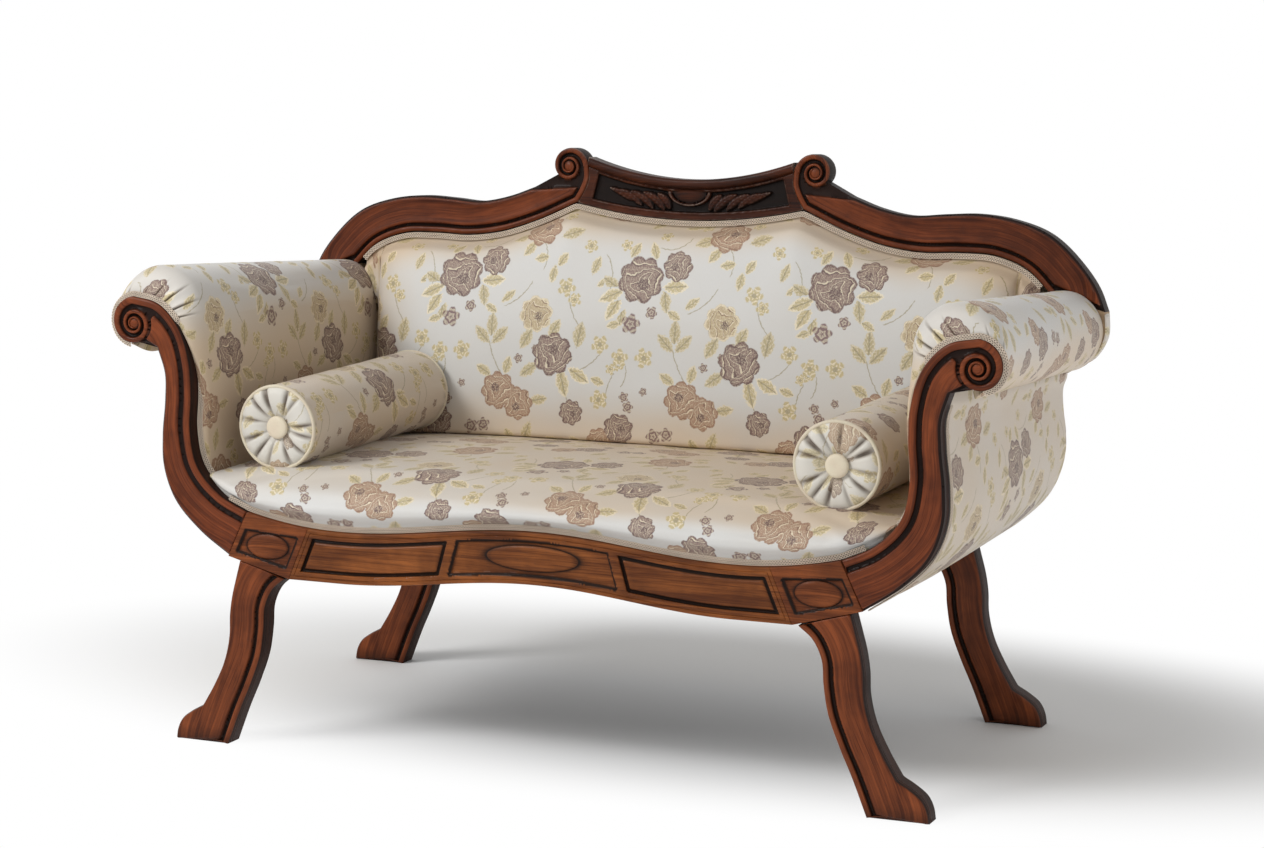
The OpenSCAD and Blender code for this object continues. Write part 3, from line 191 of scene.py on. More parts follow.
def inside(points, polygon):
    """Which points lie in a closed outline."""
    p = np.asarray(points, float)
    q = np.asarray(polygon, float)
    hit = np.zeros(len(p), bool)
    for a, b in zip(q, np.roll(q, -1, axis=0)):
        if a[1] != b[1]:
            cross = (a[1] > p[:, 1]) != (b[1] > p[:, 1])
            hit ^= cross & (p[:, 0] < (b[0] - a[0]) * (p[:, 1] - a[1]) / (b[1] - a[1]) + a[0])
    return hit


def depth_in(points, polygon):
    """Distance from a closed outline, positive inside it."""
    d = to_path(points, polygon, closed=True)[0]
    return np.where(inside(points, polygon), d, -d)


def leaned(v):
    """Points of the upright back frame, measured from the arm joint, in their leaning places."""
    v = np.asarray(v, float)
    out = v.copy()
    out[:, 1] = BACK + v[:, 1] * math.cos(RAKE) + v[:, 2] * math.sin(RAKE)
    out[:, 2] = JOINT_Z - v[:, 1] * math.sin(RAKE) + v[:, 2] * math.cos(RAKE)
    return out


# ---- Outlines of the show-wood, as on the packed frame ----
def rail_dip(x):
    return RAIL_ARCH * (1 + np.cos(np.pi * np.minimum(1, np.abs(x) / DIP_X))) / 2


def rail_top(x):
    return (RAIL_HIGH + rail_dip(x)
            + (JOINT_Z - RAIL_HIGH) * (np.maximum(0, np.abs(x) - DIP_X) / (JOINT_X - DIP_X)) ** 2)


BLOCK_FOOT_X = BLOCK_X + BLOCK_LEAN * (float(rail_top(BLOCK_X)) - RAIL_LOW)


def rail_foot(x):
    return (RAIL_LOW + rail_dip(x)
            + JOINT_FOOT * np.maximum(0, np.abs(x) - BLOCK_FOOT_X) / (JOINT_X + JOINT_LEAN - BLOCK_FOOT_X))


def strip(x0, x1, f, n):
    x = np.linspace(x0, x1, n)
    return np.stack([x, f(x)], axis=1)


ARM = ((JOINT_X, RAIL_LOW), (ARM_REACH, ARM_RISE))
# The lower outer corner of the joint between block and arm facade
JOINT_END = np.array([JOINT_X + JOINT_LEAN, RAIL_LOW + JOINT_FOOT])
FACADE_IN_SHARES = [(0, 0.259), (0.25, 0.321), (0.45, 0.43), (0.51, 0.573), (0.494, 0.72),
                    (0.507, 0.85), (0.60, 0.995), (0.78, 1.086)]
FACADE_OUT_SHARES = [(0.797, 0.906), (0.734, 0.80), (0.737, 0.70), (0.768, 0.55), (0.766, 0.43),
                     (0.676, 0.296), (0.444, 0.168)]
FACADE_IN = spline(placed(FACADE_IN_SHARES, *ARM) + [(EYE[0], EYE[1] + SCROLL_R)])
FACADE_OUT = spline(placed(FACADE_OUT_SHARES, *ARM) + [tuple(JOINT_END)])
LEG = ((JOINT_X, 0), (LEG_SPLAY, RAIL_LOW))
LEG_OUT_SHARES = [(0.10, 1.10), (0.17, 0.975), (0.225, 0.87), (0.257, 0.77), (0.27, 0.64),
                  (0.34, 0.493), (0.486, 0.34), (0.64, 0.213)]
LEG_TOE_SHARES = [(0.80, 0.168), (0.917, 0.122), (0.98, 0.06), (1, 0)]
LEG_IN_SHARES = [(0.3125, 0), (0.146, 0.208), (-0.007, 0.378), (-0.132, 0.549),
                 (-0.18, 0.694), (-0.208, 0.833), (-0.306, 0.93), (-0.47, 0.998)]
LEG_OUT = np.vstack([spline(placed(LEG_OUT_SHARES, *LEG)),
                     spline(placed(LEG_OUT_SHARES[-1:] + LEG_TOE_SHARES, *LEG))[1:]])
LEG_IN = spline(placed(LEG_IN_SHARES, *LEG))

CREST_FOOT_IN = np.array([JOINT_X + 0.67 * ARM_REACH, RAIL_LOW + 1.105 * ARM_RISE - JOINT_Z])
CREST_FOOT_OUT = np.array([JOINT_X + 1.12 * ARM_REACH, RAIL_LOW + 1.04 * ARM_RISE - JOINT_Z])
CREST_OUT_SHARES = [(0.981, 0.167), (0.94, 0.36), (0.865, 0.585), (0.782, 0.685), (0.70, 0.72),
                    (0.62, 0.708), (0.54, 0.69), (0.465, 0.74), (0.40, 0.82)]
CREST_IN_SHARES = [(0.822, 0.30), (0.748, 0.402), (0.66, 0.418), (0.57, 0.41), (0.49, 0.445),
                   (0.39, 0.55)]
CREST = ((0, CREST_FOOT_OUT[1]), (EYE[0] + 0.024, CREST_RISE - CREST_FOOT_OUT[1]))
CUSP = np.array([CREST_EYE_X - CREST_R / 2, CREST_RISE - 1.64 * CREST_R])
CREST_IN = spline([tuple(CREST_FOOT_IN)] + placed(CREST_IN_SHARES, *CREST) + [tuple(CUSP)])
CREST_THROAT = spline([CUSP, CREST_EYE + CREST_R * np.array([-0.82, -1.1]),
                       CREST_EYE + CREST_R * np.array([-1.02, -0.55]), CREST_EYE - [CREST_R, 0]])
CREST_OUT = spline(placed(CREST_OUT_SHARES[::-1], *CREST) + [tuple(CREST_FOOT_OUT)])


def scroll_points(eye, r, start, turns, share=1.0):
    """Points of a scroll that winds clockwise from a start direction, in degrees."""
    a = np.asarray(turns, float)
    rr = share * r * SPIRAL ** (a / 360)
    d = np.radians(start - a)
    return np.stack([eye[0] + rr * np.cos(d), eye[1] + rr * np.sin(d)], axis=1)


def in_scroll(points, eye, r, start):
    """Turn in degrees and share of the winding radius for points round a scroll's eye."""
    d = points - eye
    rho = np.maximum(np.hypot(d[:, 0], d[:, 1]), 1e-6)
    a0 = (start - np.degrees(np.arctan2(d[:, 1], d[:, 0]))) % 360
    r0 = r * SPIRAL ** (a0 / 360)
    n = np.maximum(0, np.floor(np.log(rho / r0) / math.log(SPIRAL)))
    a = a0 + 360 * n
    return a, rho / (r * SPIRAL ** (a / 360)), rho


TABLET_TOP_Z = CREST_RISE - 0.017


def tablet_top(x):
    return TABLET_TOP_Z + 0.029 * (x / (CREST_EYE_X - 1.4 * CREST_R)) ** 2


def tablet_foot(x):
    return TABLET_TOP_Z - TABLET_H + 0.024 * (x / CUSP[0]) ** 2


# ---- Mesh helpers ----
SAME_PLACE = 1e-6
SIDES = (("right", 1), ("left", -1))


def shown(name, mesh):
    """An object for a mesh, in the scene."""
    obj = bpy.data.objects.new(name, mesh)
    bpy.context.scene.collection.objects.link(obj)
    return obj


def marked(mesh, marks):
    """Writes float marks, one number per vertex, that the materials read."""
    for key, values in marks.items():
        mesh.attributes.new(key, "FLOAT", "POINT").data.foreach_set(
            "value", np.asarray(values, np.float32))


def rounded_look(mesh):
    mesh.polygons.foreach_set("use_smooth", [True] * len(mesh.polygons))


def joined(mesh, others):
    """Adds the faces of other meshes to a mesh."""
    bm = bmesh.new()
    for part in [mesh] + others:
        bm.from_mesh(part)
    bm.to_mesh(mesh)
    bm.free()


def outward(mesh, merge=False):
    """Turns all faces outwards, and where asked first merges points in the same place."""
    bm = bmesh.new()
    bm.from_mesh(mesh)
    if merge:
        bmesh.ops.remove_doubles(bm, verts=bm.verts[:], dist=SAME_PLACE)
    bmesh.ops.recalc_face_normals(bm, faces=bm.faces[:])
    bm.to_mesh(mesh)
    bm.free()


def grid_faces(rows, cols, closed=False):
    """Faces over points that lie in rows; closed joins each row's last point to its first."""
    return [(i * cols + j, i * cols + (j + 1) % cols, (i + 1) * cols + (j + 1) % cols, (i + 1) * cols + j)
            for i in range(rows - 1) for j in range(cols if closed else cols - 1)]


def new_piece(name, verts, faces, uv=None, uv_name="grain", marks=None, angle=40.0):
    """A mesh object with an optional UV per vertex and float marks per vertex."""
    mesh = bpy.data.meshes.new(name)
    mesh.from_pydata([tuple(map(float, v)) for v in verts], [], [tuple(map(int, f)) for f in faces])
    mesh.update()
    if uv is not None:
        uv = np.asarray(uv, np.float32)
        index = np.empty(len(mesh.loops), np.int32)
        mesh.loops.foreach_get("vertex_index", index)
        layer = mesh.uv_layers.new(name=uv_name)
        layer.data.foreach_set("uv", uv[index].ravel())
    marked(mesh, marks or {})
    rounded_look(mesh)
    if angle is not None:
        mesh.set_sharp_from_angle(angle=math.radians(angle))
    return shown(name, mesh)


def finished(obj, material, body="sofa", nodes=()):
    """Gives a finished piece its material, slot and body, and hides the nodes it stands for."""
    obj.data.materials.clear()
    obj.data.materials.append(material)
    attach(obj, body)
    if nodes:
        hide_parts(*nodes)
    return obj


def mirrored(obj, name):
    """The same piece on the other side of the sofa, its faces still pointing outwards."""
    mesh = obj.data.copy()
    mesh.name = name
    mesh.transform(Matrix.Scale(-1, 4, (1, 0, 0)))
    mesh.flip_normals()
    return shown(name, mesh)


def in_order(curve, axis):
    """A curve's points by one of their coordinates, to look places up in it."""
    return curve[np.argsort(curve[:, axis])]


def baked(obj):
    """Applies what modifiers an object has and gives back a plain mesh object."""
    deps = bpy.context.evaluated_depsgraph_get()
    mesh = bpy.data.meshes.new_from_object(obj.evaluated_get(deps), preserve_all_data_layers=True,
                                           depsgraph=deps)
    mesh.name = obj.name
    obj.modifiers.clear()
    old = obj.data
    obj.data = mesh
    bpy.data.meshes.remove(old)
    return obj


# The face is meshed in millimetres, because the mesher drops what is smaller than its tolerance
MM = 1000
# The painted shade of a board's side walls and back, and the depth at which the face begins to darken with
# old polish and painted shade
WALL_SHADE, DARK_FROM = 0.74, 0.0008


def boundary_loops(bm):
    """The open edges of a mesh, as ordered loops of vertices."""
    todo = dict.fromkeys(e for e in bm.edges if len(e.link_faces) == 1)
    loops = []
    while todo:
        first = next(iter(todo))
        start, v = first.verts
        loop = [start]
        del todo[first]
        while v is not start:
            loop.append(v)
            step = next((e for e in v.link_edges if e in todo), None)
            if step is None:
                break
            del todo[step]
            v = step.other_vert(v)
        loops.append(loop)
    return loops


def relief_board(name, outline, lines, height, pitch, grain=None, thick=BOARD_T, wall=(), lean=False,
                 y0=FRONT, dark=0.0045, angle=42.0, stain=None):
    """A carved board: its face follows height(points) behind the front plane.

    lines are feature curves that the face's mesh follows, pitch is the mesh's size between them,
    and grain is the curve that the wood's grain runs along, level if there is none. wall holds
    (inset, depth) rows between the face and the back. A lean board is part of the back. dark is
    the depth at which the face is black, with old polish and painted shade in the recess, and
    darkening(points, mark) may change how dark it is; the side walls and back get painted shade.
    """
    outline = np.asarray(outline, float)
    keep = np.linalg.norm(outline - np.roll(outline, 1, axis=0), axis=1) > 2e-4
    outline = outline[keep]
    verts = [Vector(p) for p in outline * MM]
    edges = []
    for line in lines:
        line = np.asarray(line, float)
        ok = depth_in(line, outline) > 2e-4
        last = None
        for p, good in zip(line, ok):
            if good:
                verts.append(Vector(p * MM))
                if last is not None:
                    edges.append((last, len(verts) - 1))
                last = len(verts) - 1
            else:
                last = None
    low, high = outline.min(0), outline.max(0)
    gx, gz = np.meshgrid(np.arange(low[0], high[0], pitch), np.arange(low[1], high[1], pitch))
    gx[::2] += pitch / 2
    g = np.stack([gx.ravel(), gz.ravel()], axis=1)
    g = g[depth_in(g, outline) > pitch * 0.4]
    verts += [Vector(p * MM) for p in g]
    out = geometry.delaunay_2d_cdt(verts, edges, [list(range(len(outline)))], 1, 1e-3)
    flat = np.array([(v.x, v.y) for v in out[0]]) / MM
    y = height(flat)
    bm = bmesh.new()
    bverts = [bm.verts.new((p[0], h, p[1])) for p, h in zip(flat, y)]
    for f in out[2]:
        bm.faces.new([bverts[i] for i in f])
    for v in [v for v in bm.verts if not v.link_faces]:
        bm.verts.remove(v)
    loop = boundary_loops(bm)
    if len(loop) != 1:
        raise RuntimeError("the face of %s isn't one sheet (%d edges)" % (name, len(loop)))
    loop = loop[0]
    ring2 = np.array([(v.co.x, v.co.z) for v in loop])
    inwards = ring_normals(ring2) * (1 if anticlockwise(ring2) else -1)
    rows = [loop]
    for inset, depth in tuple(wall) + ((0.0, thick),):
        q = ring2 + inwards * inset
        rows.append([bm.verts.new((p[0], depth, p[1])) for p in q])
    n = len(loop)
    for a, b in zip(rows[:-1], rows[1:]):
        for i in range(n):
            bm.faces.new((a[i], a[(i + 1) % n], b[(i + 1) % n], b[i]))
    bm.faces.new(rows[-1])
    bmesh.ops.recalc_face_normals(bm, faces=bm.faces[:])
    bm.verts.index_update()
    v = np.array([tuple(q.co) for q in bm.verts])
    faces = [[q.index for q in f.verts] for f in bm.faces]
    face_rows = len(v) - n * (len(rows) - 1)
    bm.free()
    flat = v[:, [0, 2]]
    d, s = (flat[:, 1], flat[:, 0]) if grain is None else to_path(flat, grain)
    # Old polish and painted shade in the recesses: the face darkens the deeper it lies
    mark = smooth((v[:, 1] - DARK_FROM) / (dark - DARK_FROM))
    if stain:
        mark = stain(flat, mark)
    # Painted shade on the side walls and the back
    mark[face_rows:] = WALL_SHADE
    uv = np.stack([s, d + v[:, 1]], axis=1)
    if lean:
        v = leaned(v)
    else:
        v[:, 1] += y0
    return new_piece(name, v, faces, uv, "grain", {"antique": mark}, angle)


def rib(t, depth, power=2.6):
    """Depth behind a rib's crest at -1..1 across it."""
    return depth * (1 - (1 - np.clip(np.abs(t), 0, 1) ** power) ** (1 / power))


def edge_round(sd, r, depth):
    """Depth behind a face near its rounded edge, sd inside the edge."""
    t = np.clip(1 - sd / r, 0, 1)
    return depth * (1 - np.sqrt(np.maximum(0, 1 - t * t)))


# ---- Materials: one class wraps a socket, one method adds any other node ----
class Value:
    """A node's output that takes part in Python expressions as Math nodes."""

    def __init__(self, net, socket):
        self.net = net
        self.socket = socket

    def step(self, start, end):
        """0 at start, 1 at end and smooth between them; start may be the larger."""
        return self.net.add("ShaderNodeMapRange", {"interpolation_type": "SMOOTHSTEP", "clamp": True},
                            {0: self, 1: start, 2: end, 3: 0.0, 4: 1.0})

    def ramp(self, start, end, a, b):
        """Runs from a at start to b at end, held at both."""
        return self.net.add("ShaderNodeMapRange", {"clamp": True}, {0: self, 1: start, 2: end, 3: a, 4: b})


def _math(operation, swapped):
    """A method of Value that adds one Math node."""
    def method(self, *others):
        terms = (self,) + others
        return self.net.add("ShaderNodeMath", {"operation": operation},
                            dict(enumerate(terms[::-1] if swapped else terms)))
    return method


for _name, _operation in (
        ("__add__", "ADD"), ("__radd__", "ADD"), ("__sub__", "SUBTRACT"), ("__rsub__", "SUBTRACT"),
        ("__mul__", "MULTIPLY"), ("__rmul__", "MULTIPLY"), ("__truediv__", "DIVIDE"),
        ("__rtruediv__", "DIVIDE"), ("__pow__", "POWER"), ("__abs__", "ABSOLUTE"),
        ("__lt__", "LESS_THAN"), ("__gt__", "GREATER_THAN"), ("sin", "SINE"), ("cos", "COSINE"),
        ("fract", "FRACT"), ("low", "MINIMUM"), ("high", "MAXIMUM")):
    setattr(Value, _name, _math(_operation, _name in ("__rsub__", "__rtruediv__")))


class Net:
    """The node tree of one material."""

    def __init__(self, name):
        old = bpy.data.materials.get(name)
        self.material = old or bpy.data.materials.new(name)
        self.material.use_nodes = True
        self.tree = self.material.node_tree
        self.tree.nodes.clear()
        self.place = 0

    def add(self, kind, settings=None, inputs=None, out=0):
        """One node: its settings first, then the values or links of its sockets."""
        node = self.tree.nodes.new(kind)
        node.location = (self.place % 24 * 190, -(self.place // 24) * 260)
        self.place += 1
        for key, value in (settings or {}).items():
            setattr(node, key, value)
        for key, value in (inputs or {}).items():
            socket = self._find(node.inputs, key)
            if isinstance(value, Value):
                self.tree.links.new(value.socket, socket)
            elif isinstance(value, (tuple, list)) and len(value) == 3 and socket.type == "RGBA":
                socket.default_value = tuple(value) + (1.0,)
            else:
                socket.default_value = value
        return Value(self, self._find(node.outputs, out)) if len(node.outputs) else None

    @staticmethod
    def _find(sockets, key):
        if isinstance(key, int):
            return sockets[key]
        for socket in sockets:
            if socket.identifier == key:
                return socket
        return sockets[key]

    def mix(self, factor, a, b, how="MIX"):
        """Colours a and b mixed."""
        return self.add("ShaderNodeMix", {"data_type": "RGBA", "blend_type": how},
                        {"Factor_Float": factor, "A_Color": a, "B_Color": b}, "Result_Color")

    def either(self, factor, a, b):
        """Vectors a and b mixed."""
        return self.add("ShaderNodeMix", {"data_type": "VECTOR"},
                        {"Factor_Float": factor, "A_Vector": a, "B_Vector": b}, "Result_Vector")

    def number(self, factor, a, b):
        """Numbers a and b mixed."""
        return self.add("ShaderNodeMix", {"data_type": "FLOAT"},
                        {"Factor_Float": factor, "A_Float": a, "B_Float": b}, "Result_Float")

    def uv(self, name):
        return self.add("ShaderNodeUVMap", {"uv_map": name})

    def spot(self):
        return self.add("ShaderNodeTexCoord", out="Object")

    def mark(self, name):
        return self.add("ShaderNodeAttribute", {"attribute_name": name}, out="Fac")

    def vector(self, operation, *terms, out="Vector"):
        """One Vector Math node."""
        return self.add("ShaderNodeVectorMath", {"operation": operation}, dict(enumerate(terms)), out)

    def parts(self, vector, names="xyz"):
        """The named parts of a vector."""
        return [self.vector("DOT_PRODUCT", vector, tuple(int(k == name) for k in "xyz"), out="Value")
                for name in names]

    def scaled(self, vector, size, move=(0, 0, 0)):
        return self.add("ShaderNodeMapping", inputs={"Vector": vector, "Location": move, "Scale": size})

    def noise(self, vector, scale, detail, rough, twist=0.0, seed=0.0, out=0):
        return self.add("ShaderNodeTexNoise", {"noise_dimensions": "4D"},
                        {"Vector": vector, "W": seed, "Scale": scale, "Detail": detail,
                         "Roughness": rough, "Distortion": twist}, out)

    def bump(self, height, distance, strength=1.0):
        return self.add("ShaderNodeBump", inputs={"Height": height, "Distance": distance,
                                                  "Strength": strength})

    def surface(self, **inputs):
        """The Principled shader of the material, and the material."""
        shader = self.add("ShaderNodeBsdfPrincipled", inputs={k.replace("_", " "): v
                                                              for k, v in inputs.items()})
        self.add("ShaderNodeOutputMaterial", inputs={"Surface": shader})
        return self.material


def shade(colour, k):
    return tuple(min(1.0, c * k) for c in colour[:3])


def show_wood(name, amber=0.0, edge_rub_glint=0.0, dim=1.0):
    """Antiqued polished wood: streaks follow the piece's grain, and grooves and sides are near black with old
    polish and painted shade.

    amber is how golden it is, edge_rub_glint how silvery its sharp edges are, with rubbed polish and a
    painted highlight, and dim how light it is.
    """
    look = bpy.context.scene.sofa_colours
    net = Net(name)
    along = net.uv("grain")
    fibre = net.noise(net.scaled(along, (7, 520, 1)), 1.0, 5.0, 0.62, 0.3)
    figure = net.noise(net.scaled(along, (3.4, 70, 1)), 1.0, 4.0, 0.6, 1.1, 3.0)
    broad = net.noise(net.scaled(along, (2.6, 17, 1)), 1.0, 2.0, 0.5, 0.6, 13.0)
    cloud = net.noise(net.spot(), 11.0, 3.0, 0.6, 0.2, 7.0)
    pore = net.noise(net.scaled(along, (60, 2400, 1)), 1.0, 2.0, 0.5, 0.0, 11.0)
    dark = shade(mixed(np.array(look.wood_dark), np.array(look.amber_dark), amber), dim)
    light = shade(mixed(np.array(look.wood_light), np.array(look.amber_light), amber), dim)
    streak = (figure * 0.62 + fibre * 0.42 + broad * 0.40 - 0.24).step(0.30, 0.68)
    body = net.mix(streak, dark, light)
    body = net.mix(cloud.step(0.42, 0.70) * 0.55, body, shade(dark, 0.8))
    body = net.mix(pore.step(0.58, 0.70) * 0.60, body, shade(look.groove, 1.6))
    # Old polish and painted shade: grooves, recesses and the boards' sides turn near black
    old = net.mark("antique")
    smudge = net.noise(net.spot(), 85.0, 4.0, 0.68, 0.0, 5.0)
    patina_and_shade_mix = (old + (smudge - 0.5) * 0.55 * (1.0 - old)).step(0.10, 0.88)
    body = net.mix(patina_and_shade_mix * look.patina_and_shade_strength, body, tuple(look.groove))
    if edge_rub_glint:
        # Rubbed polish and a painted highlight along the sharp edges
        rub_glint_mask = (net.add("ShaderNodeNewGeometry", out="Pointiness") + (smudge - 0.5) * 0.10).step(0.525, 0.60)
        body = net.mix(rub_glint_mask * (1.0 - old) * edge_rub_glint, body, tuple(look.rub_glint_colour))
    rough = fibre.ramp(0.3, 0.8, 0.30, 0.46) + old * 0.30
    height = pore.step(0.68, 0.55) * 0.5 + fibre * 0.35 + smudge * 0.25
    return net.surface(Base_Color=body, Roughness=rough, Normal=net.bump(height, 0.00035, 0.55),
                       Coat_Weight=0.05, Coat_Roughness=0.16, IOR=1.5, Specular_IOR_Level=0.12)


def frame_wood(name, colour):
    """Plain unpolished timber of the hidden frame, its grain along the longest side."""
    net = Net(name)
    spot = net.spot()
    fibre = net.noise(net.scaled(spot, (14, 120, 120)), 1.0, 5.0, 0.6, 0.5)
    ring = net.noise(net.scaled(spot, (2.4, 24, 24)), 1.0, 2.0, 0.5, 1.2, 4.0)
    body = net.mix((fibre * 0.6 + ring * 0.6).step(0.35, 0.85), shade(colour, 0.62), shade(colour, 1.1))
    return net.surface(Base_Color=body, Roughness=fibre.ramp(0.2, 0.8, 0.62, 0.85),
                       Normal=net.bump(fibre, 0.0004, 0.6))


def woven(name, colour, pitch, rough=0.85, line=None):
    """Plain woven cloth or webbing seen close to: over-and-under threads and faint slubs."""
    net = Net(name)
    x, y, z = net.parts(net.spot())
    k = 2 * math.pi / pitch
    warp = ((x + z) * k).sin()
    weft = (y * k).sin()
    weave = warp * weft * 0.5 + 0.5
    slub = net.noise(net.spot(), 180.0, 3.0, 0.6)
    tint = net.mix(weave * 0.45, shade(colour, 0.78), shade(colour, 1.12))
    tint = net.mix(slub.step(0.35, 0.8) * 0.4, tint, shade(colour, 0.7))
    if line is not None:
        band = ((x * (2 * math.pi / 0.050)).cos()).step(0.78, 0.9)
        tint = net.mix(band * 0.7, tint, line)
    return net.surface(Base_Color=tint, Roughness=rough, Normal=net.bump(weave, 0.0005, 0.7))


def metal(name, colour, rough=0.32):
    """Bare steel wire or tacks with a little tarnish."""
    net = Net(name)
    tarnish = net.noise(net.spot(), 60.0, 4.0, 0.6)
    tint = net.mix(tarnish.step(0.4, 0.75), colour, shade(colour, 0.55))
    return net.surface(Base_Color=tint, Metallic=1.0, Roughness=tarnish.ramp(0.3, 0.8, rough, rough + 0.25),
                       Normal=net.bump(tarnish, 0.0002, 0.4))


# ---- What a user may change ----
def colour(name, description, value):
    return FloatVectorProperty(name=name, description=description, default=value, size=3, min=0, max=1,
                               subtype="COLOR")


def length(name, description, value, low=0.0, high=1.0):
    return FloatProperty(name=name, description=description, default=value, min=low, max=high,
                         precision=4, unit="LENGTH", subtype="DISTANCE")


def share(name, description, value):
    return FloatProperty(name=name, description=description, default=value, min=0, max=1,
                         subtype="FACTOR")


class SofaColours(bpy.types.PropertyGroup):
    """Colours of the wood, the brocade and the trimmings."""
    wood_dark: colour("Wood, dark", "Dark streaks of the show-wood", (0.046, 0.0095, 0.0036))
    wood_light: colour("Wood, light", "Light streaks of the show-wood", (0.255, 0.061, 0.019))
    amber_dark: colour("Amber, dark", "Dark streaks where the wood is golden", (0.085, 0.023, 0.006))
    amber_light: colour("Amber, light", "Light streaks where the wood is golden", (0.335, 0.112, 0.026))
    # The grooves' near black also stands for painted shade in recesses and on the boards' sides
    groove: colour("Grooves", "Old dark polish in the grooves", (0.0045, 0.0028, 0.0022))
    # Pale sharp edges: rubbed polish with a painted highlight
    rub_glint_colour: colour("Worn edges", "Edges from which the polish is rubbed", (0.30, 0.225, 0.18))
    # Strength of the old polish and the painted shade in grooves and on sides
    patina_and_shade_strength: share("Antiquing", "How strongly grooves and sides are darkened", 0.94)
    ground: colour("Satin ground", "Ground of the brocade in the light", (0.64, 0.64, 0.625))
    ground_warm: colour("Satin shade", "Ground of the brocade in the shade", (0.66, 0.555, 0.425))
    mauve: colour("Mauve thread", "Dark thread of the roses", (0.175, 0.088, 0.085))
    copper: colour("Copper thread", "Warm thread of the roses", (0.34, 0.185, 0.115))
    gold: colour("Gold thread", "Metal thread of the leaves and stems", (0.56, 0.46, 0.22))
    cream: colour("Cream thread", "Pale thread of petals, piping and buttons", (0.72, 0.65, 0.49))
    braid: colour("Braid", "Looped braid along the wood", (0.72, 0.60, 0.48))


class SofaMoulding(bpy.types.PropertyGroup):
    """Sizes of the carved mouldings."""
    bead_w: length("Bead width", "Width of the bead along the arms' inner edges", 0.013, 0.008, 0.016)
    groove_w: length("Groove width", "Width of the groove beside the bead", 0.008, 0.004, 0.009)
    depth: length("Relief", "Depth of grooves behind the front plane", 0.0055, 0.003, 0.008)
    edge_r: length("Edge rounding", "Radius of the bands' edges", 0.0028, 0.001, 0.004)
    coil_turn: FloatProperty(name="Coil", description="Turn of the scrolls, in degrees", default=900,
                             min=540, max=1000)


class SofaUpholstery(bpy.types.PropertyGroup):
    """Sizes of the padding and of the brocade's pattern."""
    repeat_w: length("Pattern width", "Sideways repeat of the brocade", 0.350, 0.2, 0.6)
    repeat_h: length("Pattern height", "Upward repeat of the brocade", 0.430, 0.2, 0.8)
    thread: length("Thread", "Pitch of the brocade's threads", 0.0011, 0.0005, 0.003)
    puff: length("Swelling", "How far a simulated pad may swell", 0.006, 0.0, 0.02)
    pleats: IntProperty(name="Pleats", description="Gathers in a bolster's end", default=12, min=8,
                        max=24)


class SofaTrim(bpy.types.PropertyGroup):
    """Sizes of braid, piping and buttons."""
    braid_w: length("Braid width", "Width of the looped braid", 0.0095, 0.006, 0.012)
    loop: length("Loop", "Distance from loop to loop along the braid", 0.0046, 0.003, 0.01)
    cord_r: length("Piping", "Radius of the piping of the bolsters", 0.003, 0.002, 0.005)
    button_r: length("Button", "Radius of a bolster's button", 0.019, 0.012, 0.025)


class SofaStage(bpy.types.PropertyGroup):
    """Lights, floor and camera."""
    key: FloatProperty(name="Key light", description="Power of the large lamp", default=128, min=0,
                       unit="POWER")
    fill: FloatProperty(name="Fill light", description="Power of the filling lamp", default=13, min=0,
                        unit="POWER")
    sky: FloatProperty(name="Surround", description="Strength of the even light all round", default=0.43,
                       min=0)
    lens: FloatProperty(name="Lens", description="Focal length of the camera, in millimetres",
                        default=85.87, min=20, max=200)


class SofaOperator:
    """What every operator of this file shares."""
    bl_options = {"REGISTER", "UNDO"}

    def execute(self, context):
        self.build(context.scene)
        return {"FINISHED"}


# ---- Show-wood ----
def carved(nodes, outline, lines, height, look, **more):
    """A carved board in place of its node; a second node gets its mirror image."""
    piece = relief_board("carved_" + nodes[0], outline, lines, height, **more)
    pieces = [piece] + [mirrored(piece, "carved_" + node) for node in nodes[1:]]
    for obj, node in zip(pieces, nodes):
        finished(obj, look, nodes=(node,))


def offsets(path, steps):
    """Curves to the right of a path, for the mesh to follow."""
    return [even(beside(path, -d)) for d in steps]


def ring_lines(polygon, steps):
    """Curves inside a polygon's outline, broken where its corners leave no room."""
    p = np.asarray(polygon, float)
    if not anticlockwise(p):
        p = p[::-1]
    ring = even(np.vstack([p, p[:1]]))[:-1]
    out = []
    for d in steps:
        q = ring + d * ring_normals(ring)
        keep = depth_in(q, p) > d * 0.93
        q, keep = np.vstack([q, q[:1]]), np.append(keep, keep[0])
        starts = np.flatnonzero(np.diff(keep)) + 1
        out += [run for run, ok in zip(np.split(q, starts), np.split(keep, starts)) if ok[0] and len(run) > 1]
    return out


# How far beside a curve the mesh has lines of its own: over a bead, a band's edge and a sunk edge
BEAD_STEPS = (0.0006, 0.0015, 0.003, 0.005, 0.007, 0.0085, 0.0094, 0.010, 0.0106)
BAND_STEPS = (-0.0002, 0.0004, 0.001, 0.0018, 0.0028)
SUNK_STEPS = (-0.0002, 0.0006, 0.0013, 0.0025, 0.0036, 0.005)
SPIRAL_STEPS = (0.995, 0.975, 0.94, 0.90, 0.86, 0.82, 0.78, 0.745, 0.725, 0.70, 0.66, 0.60, 0.55)


def spiral_lines(eye, r, start, turn):
    """Windings for the mesh to follow over a scroll's face."""
    a = np.arange(0, turn + 1, 5.0)
    return [scroll_points(eye, r, start, a, k) for k in SPIRAL_STEPS]


